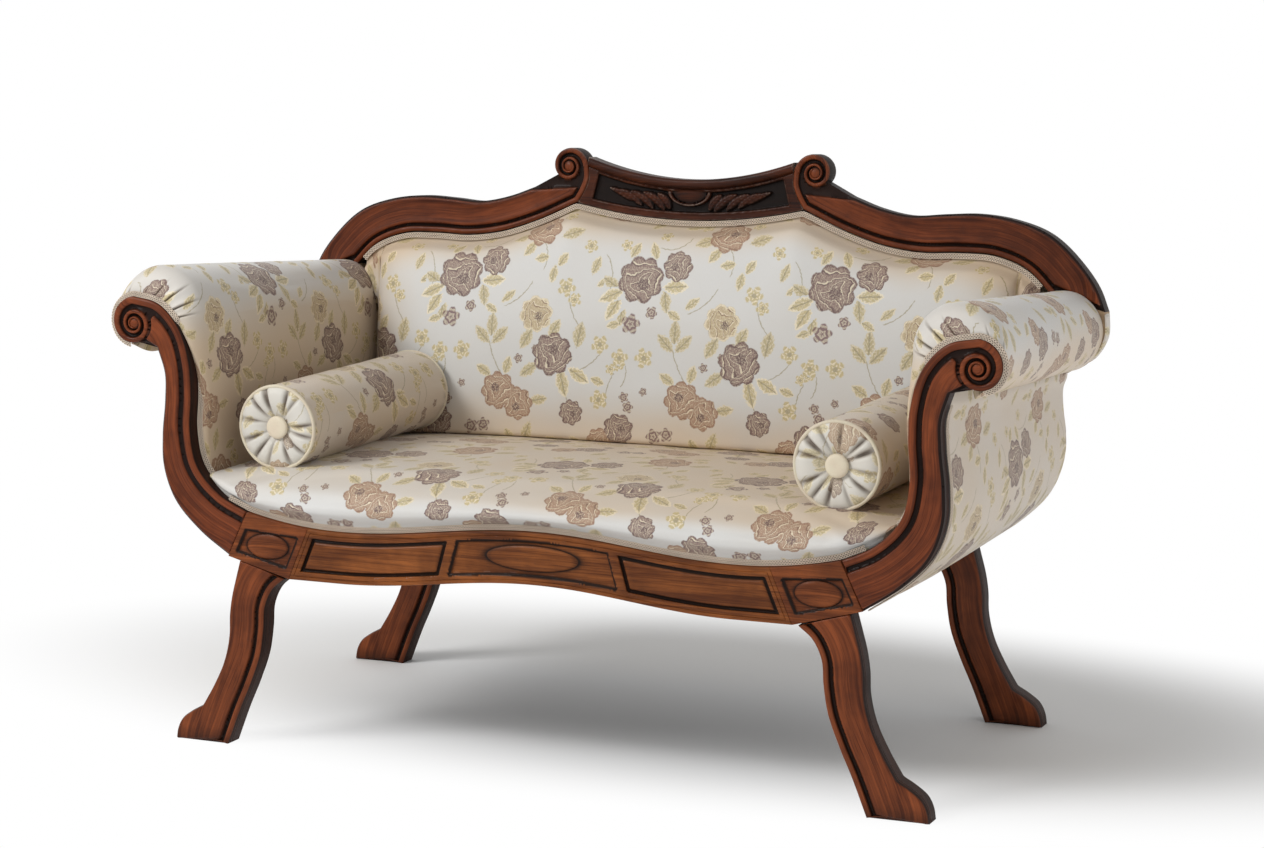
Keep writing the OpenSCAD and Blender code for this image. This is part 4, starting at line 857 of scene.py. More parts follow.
def spiral_depth(points, eye, r, start, turn, depth):
    """Depth of a scroll's face: a winding rib with a deep groove beside it, and a small eye."""
    a, u, rho = in_scroll(points, eye, r, start)
    y = np.where(u > RIB, rib((u - (1 + RIB) / 2) / ((1 - RIB) / 2), depth, 3.2),
                 depth + 0.0022 * np.sin(np.pi * np.clip((u - SPIRAL) / (RIB - SPIRAL), 0, 1)))
    core = r * SPIRAL ** (turn / 360)
    y = np.where(a > turn, depth * 0.9, y)
    dome = rho < core * 1.3
    y = np.where(dome, np.minimum(y, 0.0006 + depth * 0.8 * (rho / (core * 1.3)) ** 2.4), y)
    return y, (u <= 1.0) & (rho <= r * SPIRAL ** (a / 360))


def moulded(p, edge, bead, face, m, back=0.0008, crown=1.0, swell=0.0, run=0.01):
    """Depth of a bead along an edge, the groove beside it, and a band with rounded edges.

    back is how much deeper the groove is than the bead's foot, and swell and run say how far
    the band sinks towards its middle.
    """
    d = to_path(p, edge)[0]
    groove = np.full(len(p), m.depth + back)
    y = np.where(d < bead, rib((d - bead / 2) / (bead / 2), m.depth), groove)
    sd = depth_in(p, face)
    band = edge_round(sd, m.edge_r, m.depth * crown) + 0.0003 + swell * smooth((sd - m.edge_r) / run)
    return np.minimum(y, np.where(sd > 0, band, groove))


class SOFA_OT_arm_facades(SofaOperator, bpy.types.Operator):
    """Carves the lyre-shaped arm facades with their beads and scrolls"""
    bl_idname = "sofa.arm_facades"
    bl_label = "Arm Facades"

    def build(self, scene):
        m = scene.sofa_moulding
        outer_turn = 192
        outline = np.vstack([
            even(FACADE_IN),
            scroll_points(EYE, SCROLL_R, 90, np.arange(4, outer_turn + 1, 4)),
            even(FACADE_OUT)])
        side_r = SCROLL_R * SPIRAL ** 0.75 + 0.006
        inner = beside(FACADE_IN, -m.bead_w - m.groove_w)
        inner = inner[:int(len(inner) * 0.87)]
        a = np.radians(np.arange(165, 233, 4))
        band = np.vstack([inner, EYE + side_r * np.stack([np.cos(a), np.sin(a)], axis=1),
                          beside(FACADE_OUT, -0.003)])

        def height(p):
            y = moulded(p, FACADE_IN, m.bead_w, band, m, swell=0.0009, run=0.012)
            a, u, rho = in_scroll(p, EYE, SCROLL_R, 90)
            coil, within = spiral_depth(p, EYE, SCROLL_R, 90, m.coil_turn, m.depth)
            rim = (a > outer_turn) & (a < 360) & (u > 0.999)
            return np.where(within & ~rim & ((a > 0) | (rho < side_r - 0.004)), coil, y)

        lines = offsets(FACADE_IN, (0.0006, 0.0016, 0.003, 0.0048, 0.0065, 0.0082, 0.010, 0.0114,
                                    0.0124, 0.013, 0.0136, 0.017))
        lines += ring_lines(band, (-0.0002, 0.0003, 0.0009, 0.0017, 0.0028, 0.006))
        lines += spiral_lines(EYE, SCROLL_R, 90, m.coil_turn)
        carved(("right_arm_facade", "left_arm_facade"), outline, lines, height, show_wood("wood_arm"),
               grain=FACADE_IN, pitch=0.006, wall=((0.0, m.depth + 0.004),))


def in_block(s, t):
    """A point of the right corner block's face, from its shares outwards and upwards."""
    low = mixed(np.array([BLOCK_FOOT_X, RAIL_LOW]), JOINT_END, s)
    high = mixed(np.array([BLOCK_X, float(rail_top(BLOCK_X))]), np.array([JOINT_X, JOINT_Z]), s)
    return mixed(low, high, t)


def in_oval(p, centre, w, h):
    """Distance from an oval's centre, as a share of its radius there."""
    return np.hypot((p[:, 0] - centre[0]) / (w / 2), (p[:, 1] - centre[1]) / (h / 2))


def oval_dome(p, centre, w, h, depth):
    """Depth of a domed oval, and where it is."""
    e = in_oval(p, centre, w, h)
    return 0.0006 + depth * (1 - np.sqrt(np.maximum(0, 1 - np.clip(e, 0, 1) ** 2.6))), e < 1


def sunk_edge(sd, depth, run):
    """Depth of a sunk panel near its moulded edge, sd inside the panel."""
    t = np.clip(sd / run, 0, 1)
    return depth * np.where(sd <= 0, 0, 0.35 * smooth(t * 4) + 0.65 * smooth((t - 0.35) / 0.65))


def panel_shade(p, mark, panel, centre, w, h):
    """Painted shade of a sunk panel: black along its moulded edge and round its oval, golden between."""
    sd = depth_in(p, panel)
    e = in_oval(p, centre, w, h)
    # Painted shade along the moulded edge, and a painted shadow cast round the oval and on its rim
    moulding = np.exp(-((sd - 0.0016) / 0.0022) ** 2)
    cast = 0.75 * np.exp(-np.clip(e - 1, 0, 9) / 0.10) * (e > 0.985)
    ground = 0.16 + np.maximum(moulding * 0.95, cast)
    inside = np.where(e < 0.985, 0.45 * smooth((e - 0.80) / 0.18), ground)
    return np.where(sd > 0.0004, inside, mark)


def oval_lines(centre, w, h):
    """Ovals for the mesh to follow over a dome and round it."""
    a = np.linspace(0, 2 * math.pi, 73)
    ring = np.stack([w / 2 * np.cos(a), h / 2 * np.sin(a)], axis=1)
    return [centre + ring * k for k in (0.25, 0.5, 0.7, 0.82, 0.92, 0.97, 1.0, 1.04, 1.12, 1.25)]


class SOFA_OT_corner_blocks(SofaOperator, bpy.types.Operator):
    """Carves the corner blocks with their sunk panels and domed ovals"""
    bl_idname = "sofa.corner_blocks"
    bl_label = "Corner Blocks"

    def build(self, scene):
        m = scene.sofa_moulding
        top = strip(BLOCK_X, JOINT_X, rail_top, 30)
        outline = np.vstack([even(top, 0.004), [in_block(1, 0)], [in_block(0, 0)]])
        recess = np.array([in_block(*s) for s in ((0.09, 0.16), (0.92, 0.14), (0.92, 0.66), (0.09, 0.80))])
        centre = in_block(0.5, 0.44)
        w, h = 0.68 * BLOCK_W, 0.50 * RAIL_H

        def height(p):
            edge = depth_in(p, outline)
            y = edge_round(np.maximum(edge, 0), 0.0014, 0.0012)
            y = y + sunk_edge(depth_in(p, recess), m.depth, 0.005)
            dome, here = oval_dome(p, centre, w, h, m.depth * 0.85)
            return np.where(here, np.minimum(y, dome), y)

        lines = (ring_lines(outline, (0.0004, 0.0009, 0.0015)) + ring_lines(recess, SUNK_STEPS)
                 + oval_lines(centre, w, h))
        carved(("right_corner_block", "left_corner_block"), outline, lines, height,
               show_wood("wood_block", amber=0.30), pitch=0.005,
               stain=lambda p, mark: panel_shade(p, mark, recess, centre, w, h))


# The plain border above and below the rail's panels, and where in a side panel its field rises
PANEL_BORDER = 0.013
FIELD_FROM, FIELD_TO = 0.0035, 0.010


def rail_panel(x0, x1, lean0, lean1):
    """The outline of a panel of the rail, from its upper corners and the lean of its ends."""
    tall = RAIL_H - 2 * PANEL_BORDER
    return np.vstack([strip(x0, x1, lambda x: rail_top(x) - PANEL_BORDER, 40),
                      strip(x1 + lean1 * tall, x0 + lean0 * tall, lambda x: rail_foot(x) + PANEL_BORDER, 40)])


class SOFA_OT_front_rail(SofaOperator, bpy.types.Operator):
    """Carves the serpentine front rail with its panels and oval"""
    bl_idname = "sofa.front_rail"
    bl_label = "Front Rail"

    def build(self, scene):
        m = scene.sofa_moulding
        outline = np.vstack([strip(-BLOCK_X, BLOCK_X, rail_top, 200),
                             strip(BLOCK_FOOT_X, -BLOCK_FOOT_X, rail_foot, 200)])
        side = rail_panel(0.285 * JOINT_X, 0.765 * JOINT_X, PANEL_LEAN, BLOCK_LEAN)
        other = side[::-1] * [-1, 1]
        middle = rail_panel(-0.255 * JOINT_X, 0.255 * JOINT_X, -PANEL_LEAN, PANEL_LEAN)
        centre = (0.0, RAIL_LOW + RAIL_ARCH + RAIL_H / 2)
        w, h = 0.157 * 1.022, 0.50 * RAIL_H

        def height(p):
            edge = depth_in(p, outline)
            y = edge_round(np.maximum(edge, 0), 0.0016, 0.0014)
            y = y + 0.0010 * (1 - smooth(np.abs(edge - 0.0065) / 0.0008))
            for panel in (side, other):
                sd = depth_in(p, panel)
                sink = m.depth * smooth(sd / 0.0022)
                rise = m.depth * 0.9 * smooth((sd - FIELD_FROM) / (FIELD_TO - FIELD_FROM))
                y = y + np.where(sd > 0, sink - rise, 0)
            y = y + sunk_edge(depth_in(p, middle), m.depth, 0.005)
            dome, here = oval_dome(p, centre, w, h, m.depth * 0.85)
            return np.where(here, np.minimum(y, dome), y)

        lines = ring_lines(outline, (0.0005, 0.0011, 0.0017, 0.0057, 0.0061, 0.0065, 0.0069, 0.0073))
        for panel in (side, other):
            lines += ring_lines(panel, (-0.0002, 0.0006, 0.0013, 0.0022, 0.0035, 0.005, 0.0065, 0.008, 0.010))
        lines += ring_lines(middle, SUNK_STEPS)
        lines += oval_lines(centre, w, h)
        carved(("front_rail",), outline, lines, height, show_wood("wood_rail", amber=0.75), pitch=0.005,
               stain=lambda p, mark: panel_shade(p, mark, middle, centre, w, h))


LEG_BEAD, LEG_GROOVE = 0.010, 0.007
# The wood is darker from this height down to the toes
TOE_Z = 0.045


class SOFA_OT_legs(SofaOperator, bpy.types.Operator):
    """Carves the four sabre legs with a bead along the inner edge"""
    bl_idname = "sofa.legs"
    bl_label = "Sabre Legs"

    def build(self, scene):
        m = scene.sofa_moulding
        cap = lambda q: np.stack([q[:, 0], np.minimum(q[:, 1], rail_foot(q[:, 0]) - GAP)], axis=1)
        inner = even(LEG_IN)
        outline = np.vstack([cap(even(LEG_OUT)), cap(inner)])
        face = np.vstack([cap(even(beside(LEG_OUT, -0.0006))),
                          cap(even(beside(LEG_IN, -LEG_BEAD - LEG_GROOVE)))])
        lines = offsets(LEG_IN, BEAD_STEPS + (0.0135,)) + ring_lines(face, BAND_STEPS)
        look = show_wood("wood_leg", amber=0.10)
        wall = ((0.0, 0.0075), (0.0009, 0.0083), (0.0, 0.0092), (0.0, 0.0122), (0.0009, 0.0131),
                (0.0, 0.0140))
        for end, y0 in (("front", FRONT), ("rear", BACK)):
            carved(("right_%s_leg" % end, "left_%s_leg" % end), outline, lines,
                   lambda p: moulded(p, LEG_IN, LEG_BEAD, face, m, crown=0.9), look, pitch=0.006,
                   grain=LEG_IN, thick=LEG_T, y0=y0, wall=wall,
                   stain=lambda p, mark: np.maximum(mark, 0.55 * smooth((TOE_Z - p[:, 1]) / TOE_Z)))


class SOFA_OT_crest_rails(SofaOperator, bpy.types.Operator):
    """Carves the S-curved crest rails that wind into scrolls"""
    bl_idname = "sofa.crest_rails"
    bl_label = "Crest Rails"

    def build(self, scene):
        m = scene.sofa_moulding
        outer_turn = 216
        edge = np.vstack([CREST_IN, CREST_THROAT[1:]])
        outline = np.vstack([even(CREST_IN), even(CREST_THROAT)[1:],
                             scroll_points(CREST_EYE, CREST_R, 180, np.arange(5, outer_turn + 1, 5)),
                             even(CREST_OUT)])
        bead, groove = m.bead_w - 0.003, m.groove_w - 0.003
        inner = beside(edge, -bead - groove)
        inner = inner[int(0.02 * len(inner)):int(0.80 * len(inner))]
        outer = beside(CREST_OUT, -0.003)
        outer = outer[2:int(0.97 * len(outer))]
        band = np.vstack([inner, outer])
        coil_turn = m.coil_turn - 120

        def height(p):
            y = moulded(p, edge, bead, band, m, back=0.0006, swell=0.0012)
            coil, within = spiral_depth(p, CREST_EYE, CREST_R, 180, coil_turn, m.depth)
            return np.where(within, coil, y)

        lines = offsets(edge, BEAD_STEPS) + ring_lines(band, BAND_STEPS + (0.006,))
        lines += spiral_lines(CREST_EYE, CREST_R, 180, coil_turn)
        carved(("right_crest_rail", "left_crest_rail"), outline, lines, height,
               show_wood("wood_crest", edge_rub_glint=0.5, dim=0.85), grain=edge, lean=True, pitch=0.006)


# Height of the tablet's rolled lip, and how far its plain face stands back
LIP, TABLET_BACK = 0.0165, 0.0028


class SOFA_OT_crest_tablet(SofaOperator, bpy.types.Operator):
    """Carves the tablet with its rolled lip, half moon and leaves"""
    bl_idname = "sofa.crest_tablet"
    bl_label = "Crest Tablet"

    def build(self, scene):
        m = scene.sofa_moulding
        side = [q for q in beside(CREST_THROAT, GAP) if q[1] < tablet_top(q[0])]
        side = even(np.array(side))
        end = side[-1]
        outline = np.vstack([strip(-end[0], end[0], tablet_top, 90), side[::-1][1:],
                             strip(CUSP[0], -CUSP[0], tablet_foot, 90)[1:-1], side * [-1, 1]])
        fx, gx = CREST_EYE_X - 1.5 * CREST_R, CREST_EYE_X - 1.2 * CREST_R
        field_top, border = 0.022, 0.012
        field = np.vstack([strip(-fx, fx, lambda x: tablet_top(x) - field_top, 90),
                           strip(gx, -gx, lambda x: tablet_foot(x) + border, 90)])
        moon = np.array([0.0, float(tablet_top(0)) - field_top])
        moon_r, squash = 0.040, 0.62

        def height(p):
            down = tablet_top(p[:, 0]) - p[:, 1]
            y = np.where(down < LIP, rib((down - LIP / 2) / (LIP / 2), 0.0058, 2.2) - 0.0030, TABLET_BACK)
            y = y + 0.0012 * (1 - smooth(np.abs(down - LIP - 0.0008) / 0.0012))
            sd = depth_in(p, field)
            bead = 0.0012 * (1 - smooth(np.abs(sd + 0.0022) / 0.0014))
            floor = TABLET_BACK + (m.depth + 0.0012) * smooth(sd / 0.0024)
            y = np.where(sd > 0, floor, y - bead)
            e = np.hypot((p[:, 0] - moon[0]) / moon_r, (p[:, 1] - moon[1]) / (moon_r * squash))
            disc = 0.0022 + 0.0032 * np.clip(e / 0.80, 0, 1) ** 2
            ring = 0.0012 + rib((e - 0.92) / 0.09, 0.005)
            here = (p[:, 1] < moon[1] + 0.0005) & (sd > 0)
            y = np.where(here & (e < 0.80), disc, y)
            y = np.where(here & (np.abs(e - 0.92) < 0.09), np.minimum(y, ring), y)
            mirror = np.stack([np.abs(p[:, 0]), p[:, 1]], axis=1)
            for base, tip, wide, bend in TABLET_LEAVES:
                y = np.minimum(y, leaf_depth(mirror, moon, base, tip, wide, bend, sd))
            return y

        steps = (0.0008, 0.0025, 0.005, 0.008, 0.011, 0.0135, 0.0155, 0.0162, 0.0168, 0.018, 0.0195)
        lines = [strip(-end[0] + d, end[0] - d, lambda x: tablet_top(x) - d, 140) for d in steps]
        lines += ring_lines(field, (-0.0036, -0.0028, -0.0022, -0.0016, -0.0008, 0, 0.0006, 0.0012, 0.0018,
                                    0.0024))
        carved(("crest_tablet",), outline, lines, height, show_wood("wood_tablet", edge_rub_glint=0.55, dim=0.34),
               lean=True, pitch=0.0016, dark=0.007, angle=60)


# Leaves to the right of the half moon, from its rim outwards, as offsets from the moon's middle:
# root, tip, half width and bend.
TABLET_LEAVES = (
    ((0.036, -0.031), (0.060, -0.003), 0.0115, 0.30),
    ((0.046, -0.033), (0.088, -0.002), 0.0115, 0.34),
    ((0.068, -0.031), (0.112, -0.001), 0.0105, 0.32),
    ((0.090, -0.026), (0.134, 0.001), 0.0095, 0.28),
    ((0.108, -0.018), (0.152, 0.004), 0.0080, 0.18),
)


def leaf_depth(p, moon, root, tip, wide, bend, sd):
    """Depth of one carved leaf with a rib and side veins; where it isn't, it is far behind."""
    a = moon + root
    b = moon + tip
    d = b - a
    run = np.linalg.norm(d)
    d = d / run
    n = np.array([-d[1], d[0]])
    q = p - a
    s = (q @ d) / run
    v = (q @ n) - bend * run * 4 * s * (1 - s) * 0.25
    half = wide * np.sqrt(np.clip(s, 0, 1)) * np.clip(1 - s, 0, 1) ** 0.62 * 1.7
    t = np.abs(v) / np.maximum(half, 1e-5)
    ok = (s > 0.0) & (s < 1.0) & (t < 1) & (sd > 0.0004)
    y = 0.0014 + 0.0046 * t ** 2.2 + 0.0016 * (1 - s) + 0.0012 * (1 - smooth(np.abs(v) / 0.0012))
    y = y + 0.0004 * np.sin(s * 38 - np.abs(v) * 900)
    return np.where(ok, y, 1.0)


# ---- Upholstery ----
GIMP_Y = 0.008
# The seat's fall from its middle to its ends, and to the rear, and the gap above the wood's edge
SEAT_CROWN, SEAT_FALL, SILL = 0.012, 0.014, 0.0014
PAD_Y0 = FRONT + BOARD_T + GAP
BACK_GAP = 0.0021
SEAT_HALF = JOINT_X + 0.382 * ARM_REACH
BACK_HALF = JOINT_X + 0.585 * ARM_REACH
SIDE_RAIL_X = 0.524
ARM_CLOTH_T = 0.012
# Where the roll's cloth is tacked at the front: behind the facade, and on the scroll
TACK_LOW, TACK_HIGH = FRONT + 0.0315, FRONT + 0.010
ROLL_UNDER = 0.004
ROLL_FRONT = EYE + [-0.036, 0.021]
ROLL_REAR = ROLL_FRONT + [-0.007, -ROLL_FALL]
ARM_FACE = np.array(placed([(0.411, 0.372), (0.43, 0.437), (0.449, 0.516), (0.449, 0.60), (0.435, 0.684),
                            (0.43, 0.77), (0.44, 0.86)], *ARM))
FALL_FROM, FALL_TO = RAIL_LOW + 0.45 * ARM_RISE, RAIL_LOW + 0.86 * ARM_RISE


def frame_y(z):
    """Where the leaning front of the back frame is at a height."""
    return BACK + (z - JOINT_Z) * math.tan(RAKE)


def fallen(path, t):
    """A line of the arm lowered as its roll falls, at a share of the way to the rear."""
    q = np.array(path, float)
    q[:, 1] -= t * ROLL_FALL * np.clip((q[:, 1] - FALL_FROM) / (FALL_TO - FALL_FROM), 0, 1)
    return q


def seat_top(x):
    return SEAT_Z - SEAT_CROWN * (x / SEAT_HALF) ** 4


def sill(x):
    """Height of the tacked edge of the seat over the rail, the blocks and the facades."""
    x = abs(x)
    if x <= JOINT_X:
        return SILL + float(rail_top(x))
    part = FACADE_IN[:int(len(FACADE_IN) * 0.4)]
    return SILL + float(np.interp(x, part[:, 0], part[:, 1]))


def weave():
    """The brocade, which the first operator has made."""
    return bpy.data.materials["rose_brocade"]


def grid_normals(grid, outwards, place):
    """Unit normals of a grid of points; the one at a place looks the way outwards."""
    n = np.cross(np.gradient(grid, axis=0), np.gradient(grid, axis=1))
    n /= np.maximum(np.linalg.norm(n, axis=2), 1e-9)[:, :, None]
    return n if n[place] @ outwards > 0 else -n


def waves(u, v, scale, seed):
    """Gentle unevenness of stuffed cloth, the same on every run."""
    rng = np.random.default_rng(seed)
    out = np.zeros(np.broadcast(u, v).shape)
    for _ in range(9):
        k = rng.uniform(0.6, 1.7) / scale
        a, p = rng.uniform(0, 2 * math.pi, 2)
        out += np.sin(2 * math.pi * k * (u * math.cos(a) + v * math.sin(a)) + p) / 9
    return out


def sheet_mesh(name, grid, uv, back, shaded=0.0, crease_shades=0.0, phase=(0.0, 0.0), angle=60):
    """A closed skin: a grid of points over its front, joined to a grid over its back.

    For every point of the grid, shaded says how far the cloth is in painted shade, and crease_shades how deep
    in a crease it is, where it gets painted shade; phase moves the pattern of the cloth.
    """
    rows, cols = grid.shape[:2]
    n = rows * cols
    verts = np.vstack([grid.reshape(-1, 3), back.reshape(-1, 3)])
    flat = np.tile(uv.reshape(-1, 2) + phase, (2, 1))
    marks = {key: np.tile(np.broadcast_to(values, (rows, cols)).ravel(), 2)
             for key, values in (("shade", shaded), ("pit", crease_shades))}
    faces = grid_faces(rows, cols)
    faces += [tuple(n + k for k in reversed(f)) for f in faces]
    rim = (list(range(cols)) + [i * cols + cols - 1 for i in range(1, rows)]
           + [(rows - 1) * cols + j for j in range(cols - 2, -1, -1)]
           + [i * cols for i in range(rows - 2, 0, -1)])
    faces += [(b, a, n + a, n + b) for a, b in zip(rim, rim[1:] + rim[:1])]
    obj = new_piece(name, verts, faces, flat, "weave", marks, None)
    outward(obj.data, merge=True)
    obj.data.set_sharp_from_angle(angle=math.radians(angle))
    return obj


CLOTH_FRAMES = 14


def held(*free):
    """How firmly a pad's points are held, from the fades that let them go."""
    return 1 - np.minimum.reduce(free)


def tight(pad, pinned, cap):
    """Swells a pad by a short cloth simulation; pinned(p) says which points stay where they are."""
    mesh = pad.data
    n = len(mesh.vertices)
    start = np.empty(n * 3)
    mesh.vertices.foreach_get("co", start)
    start = start.reshape(-1, 3)
    hold = pinned(start)
    group = pad.vertex_groups.new(name="pinned")
    for w in sorted(set(np.round(hold, 2))):
        if w > 0:
            group.add([int(i) for i in np.nonzero(np.round(hold, 2) == w)[0]], float(w), "REPLACE")
    cloth = pad.modifiers.new("cloth", "CLOTH")
    for key, value in (("quality", 6), ("mass", 0.35), ("tension_stiffness", 22),
                       ("compression_stiffness", 22), ("shear_stiffness", 8), ("bending_stiffness", 1.6),
                       ("use_pressure", True), ("uniform_pressure_force", 3.0),
                       ("vertex_group_mass", "pinned")):
        setattr(cloth.settings, key, value)
    cloth.settings.effector_weights.gravity = 0
    cloth.collision_settings.use_collision = False
    cloth.collision_settings.use_self_collision = False
    cloth.point_cache.frame_start = 1
    cloth.point_cache.frame_end = CLOTH_FRAMES
    scene = bpy.context.scene
    for f in range(1, CLOTH_FRAMES + 1):
        scene.frame_set(f)
    deps = bpy.context.evaluated_depsgraph_get()
    after = np.empty(n * 3)
    pad.evaluated_get(deps).data.vertices.foreach_get("co", after)
    move = after.reshape(-1, 3) - start
    size = np.linalg.norm(move, axis=1)
    move *= (np.minimum(size, cap) / np.maximum(size, 1e-9))[:, None]
    pad.modifiers.remove(cloth)
    pad.vertex_groups.remove(group)
    scene.frame_set(1)
    mesh.vertices.foreach_set("co", (start + move).ravel())
    mesh.update()


def rounder(obj):
    """One level of subdivision, applied."""
    sub = obj.modifiers.new("rounder", "SUBSURF")
    sub.levels = sub.render_levels = 1
    sub.boundary_smooth = "PRESERVE_CORNERS"
    return baked(obj)


def seat_profile(x):
    """The seat's section at a place across it, from its tacked front edge to its rear."""
    zc, zt = sill(x), float(seat_top(x))
    h = zt - zc
    s = float(np.clip(h / 0.060, 0, 1))
    foot = mixed(0.024, 0.0113, s)
    pts = [(foot, zc), (foot - 0.001 * s, zc + min(0.0103, 0.2 * h))]
    for front, corner, share_z in ((-0.0081, 0.020, 0.36), (-0.009, 0.020, 0.52), (-0.002, 0.020, 0.70),
                                   (0.016, 0.025, 0.87), (0.045, 0.045, 0.97)):
        pts.append((mixed(corner, front, s), zc + share_z * h))
    for share_y, drop in ((0.16, 0), (0.36, 0), (0.575, 0), (0.735, 0.5), (0.83, 1)):
        pts.append((share_y * SEAT_RUN, zt - drop * SEAT_FALL))
    pts.append((SEAT_RUN - 0.006, zt - SEAT_FALL))
    return even(spline(pts, 8), 0.004)


class SOFA_OT_seat_pad(SofaOperator, bpy.types.Operator):
    """Makes the crowned seat with its rounded front edge"""
    bl_idname = "sofa.seat_pad"
    bl_label = "Seat"

    def build(self, scene):
        look = scene.sofa_upholstery
        cols = 118
        rows = 74
        xs = SEAT_HALF * np.sin(np.linspace(-1, 1, cols) * math.pi / 2 * 0.94) / math.sin(math.pi / 2 * 0.94)
        grid = np.empty((cols, rows, 3))
        uv = np.empty((cols, rows, 2))
        for i, x in enumerate(xs):
            p = seat_profile(x)
            s = runs_of(p)
            goal = s[-1] * np.linspace(0, 1, rows) ** 1.25
            across = np.full(rows, x)
            y, z = FRONT + np.interp(goal, s, p[:, 0]), np.interp(goal, s, p[:, 1])
            grid[i] = np.stack([across, y, z], axis=1)
            uv[i] = np.stack([across, goal], axis=1)
        n = grid_normals(grid, (0, 0, 1), (cols // 2, rows // 2))
        ease = np.minimum(smooth((uv[:, :, 1] - 0.012) / 0.05),
                          smooth((SEAT_HALF - np.abs(uv[:, :, 0])) / 0.05))
        ease = ease * smooth((grid[:, -1:, 1] - grid[:, :, 1]) / 0.07)
        grid += n * (0.0016 * waves(uv[:, :, 0], uv[:, :, 1], 0.16, 5) * ease)[:, :, None]
        low = grid.copy()
        past_rail = np.clip((np.abs(grid[:, :, 0]) - SIDE_RAIL_X) / (SEAT_HALF - SIDE_RAIL_X), 0, 1)
        low[:, :, 2] = np.minimum(grid[:, :, 2] - 0.004, RAIL_HIGH + 0.004 + 0.035 * past_rail)
        low[:, :, 1] = np.maximum(grid[:, :, 1] + 0.003, FRONT + BOARD_T + 0.0006)
        low[:, -1, 1] = grid[:, -1, 1]
        # Painted shade on the seat's top, growing towards the rear and the right; below the crown it is left
        # lit
        lit = smooth((SEAT_Z - SEAT_CROWN - grid[:, :, 2]) / 0.03)
        shade_amount = (1 - lit) * np.clip(0.40 + 0.35 * (grid[:, :, 1] - FRONT) / SEAT_RUN
                                   + 0.25 * grid[:, :, 0] / SEAT_HALF, 0, 1)
        pad = sheet_mesh("seat_pad", grid, uv, low, shaded=shade_amount + 0.14, phase=(0.040, -0.285))
        def hold(p):
            x, y, z = p.T
            loose = held(smooth((SEAT_HALF - np.abs(x)) / 0.04), smooth((BACK - 0.012 - y) / 0.08),
                         smooth((z - np.array([sill(k) for k in x]) - 0.012) / 0.03))
            return np.where(z < seat_top(x) - 0.072, 1.0, loose)
        tight(pad, hold, look.puff)
        rounder(pad)
        finished(pad, weave(), nodes=("seat_cover", "seat_stuffing"))


PAD_HALF = JOINT_X + 0.40 * ARM_REACH


def pad_top(x):
    x = abs(x)
    if x <= CUSP[0]:
        return float(tablet_foot(x)) - 0.0015
    table = CREST_IN[::-1]
    return float(np.interp(x, table[:, 0], table[:, 1])) - 0.0015


def pad_low(x):
    x = abs(x)
    if x <= PAD_HALF:
        return float(seat_top(x)) - SEAT_FALL + 0.001 - JOINT_Z
    return (ROLL_REAR[1] - JOINT_Z + 0.003
            + math.sqrt(max(0, ROLL_REAR_R ** 2 - (ROLL_REAR[0] - x) ** 2)))


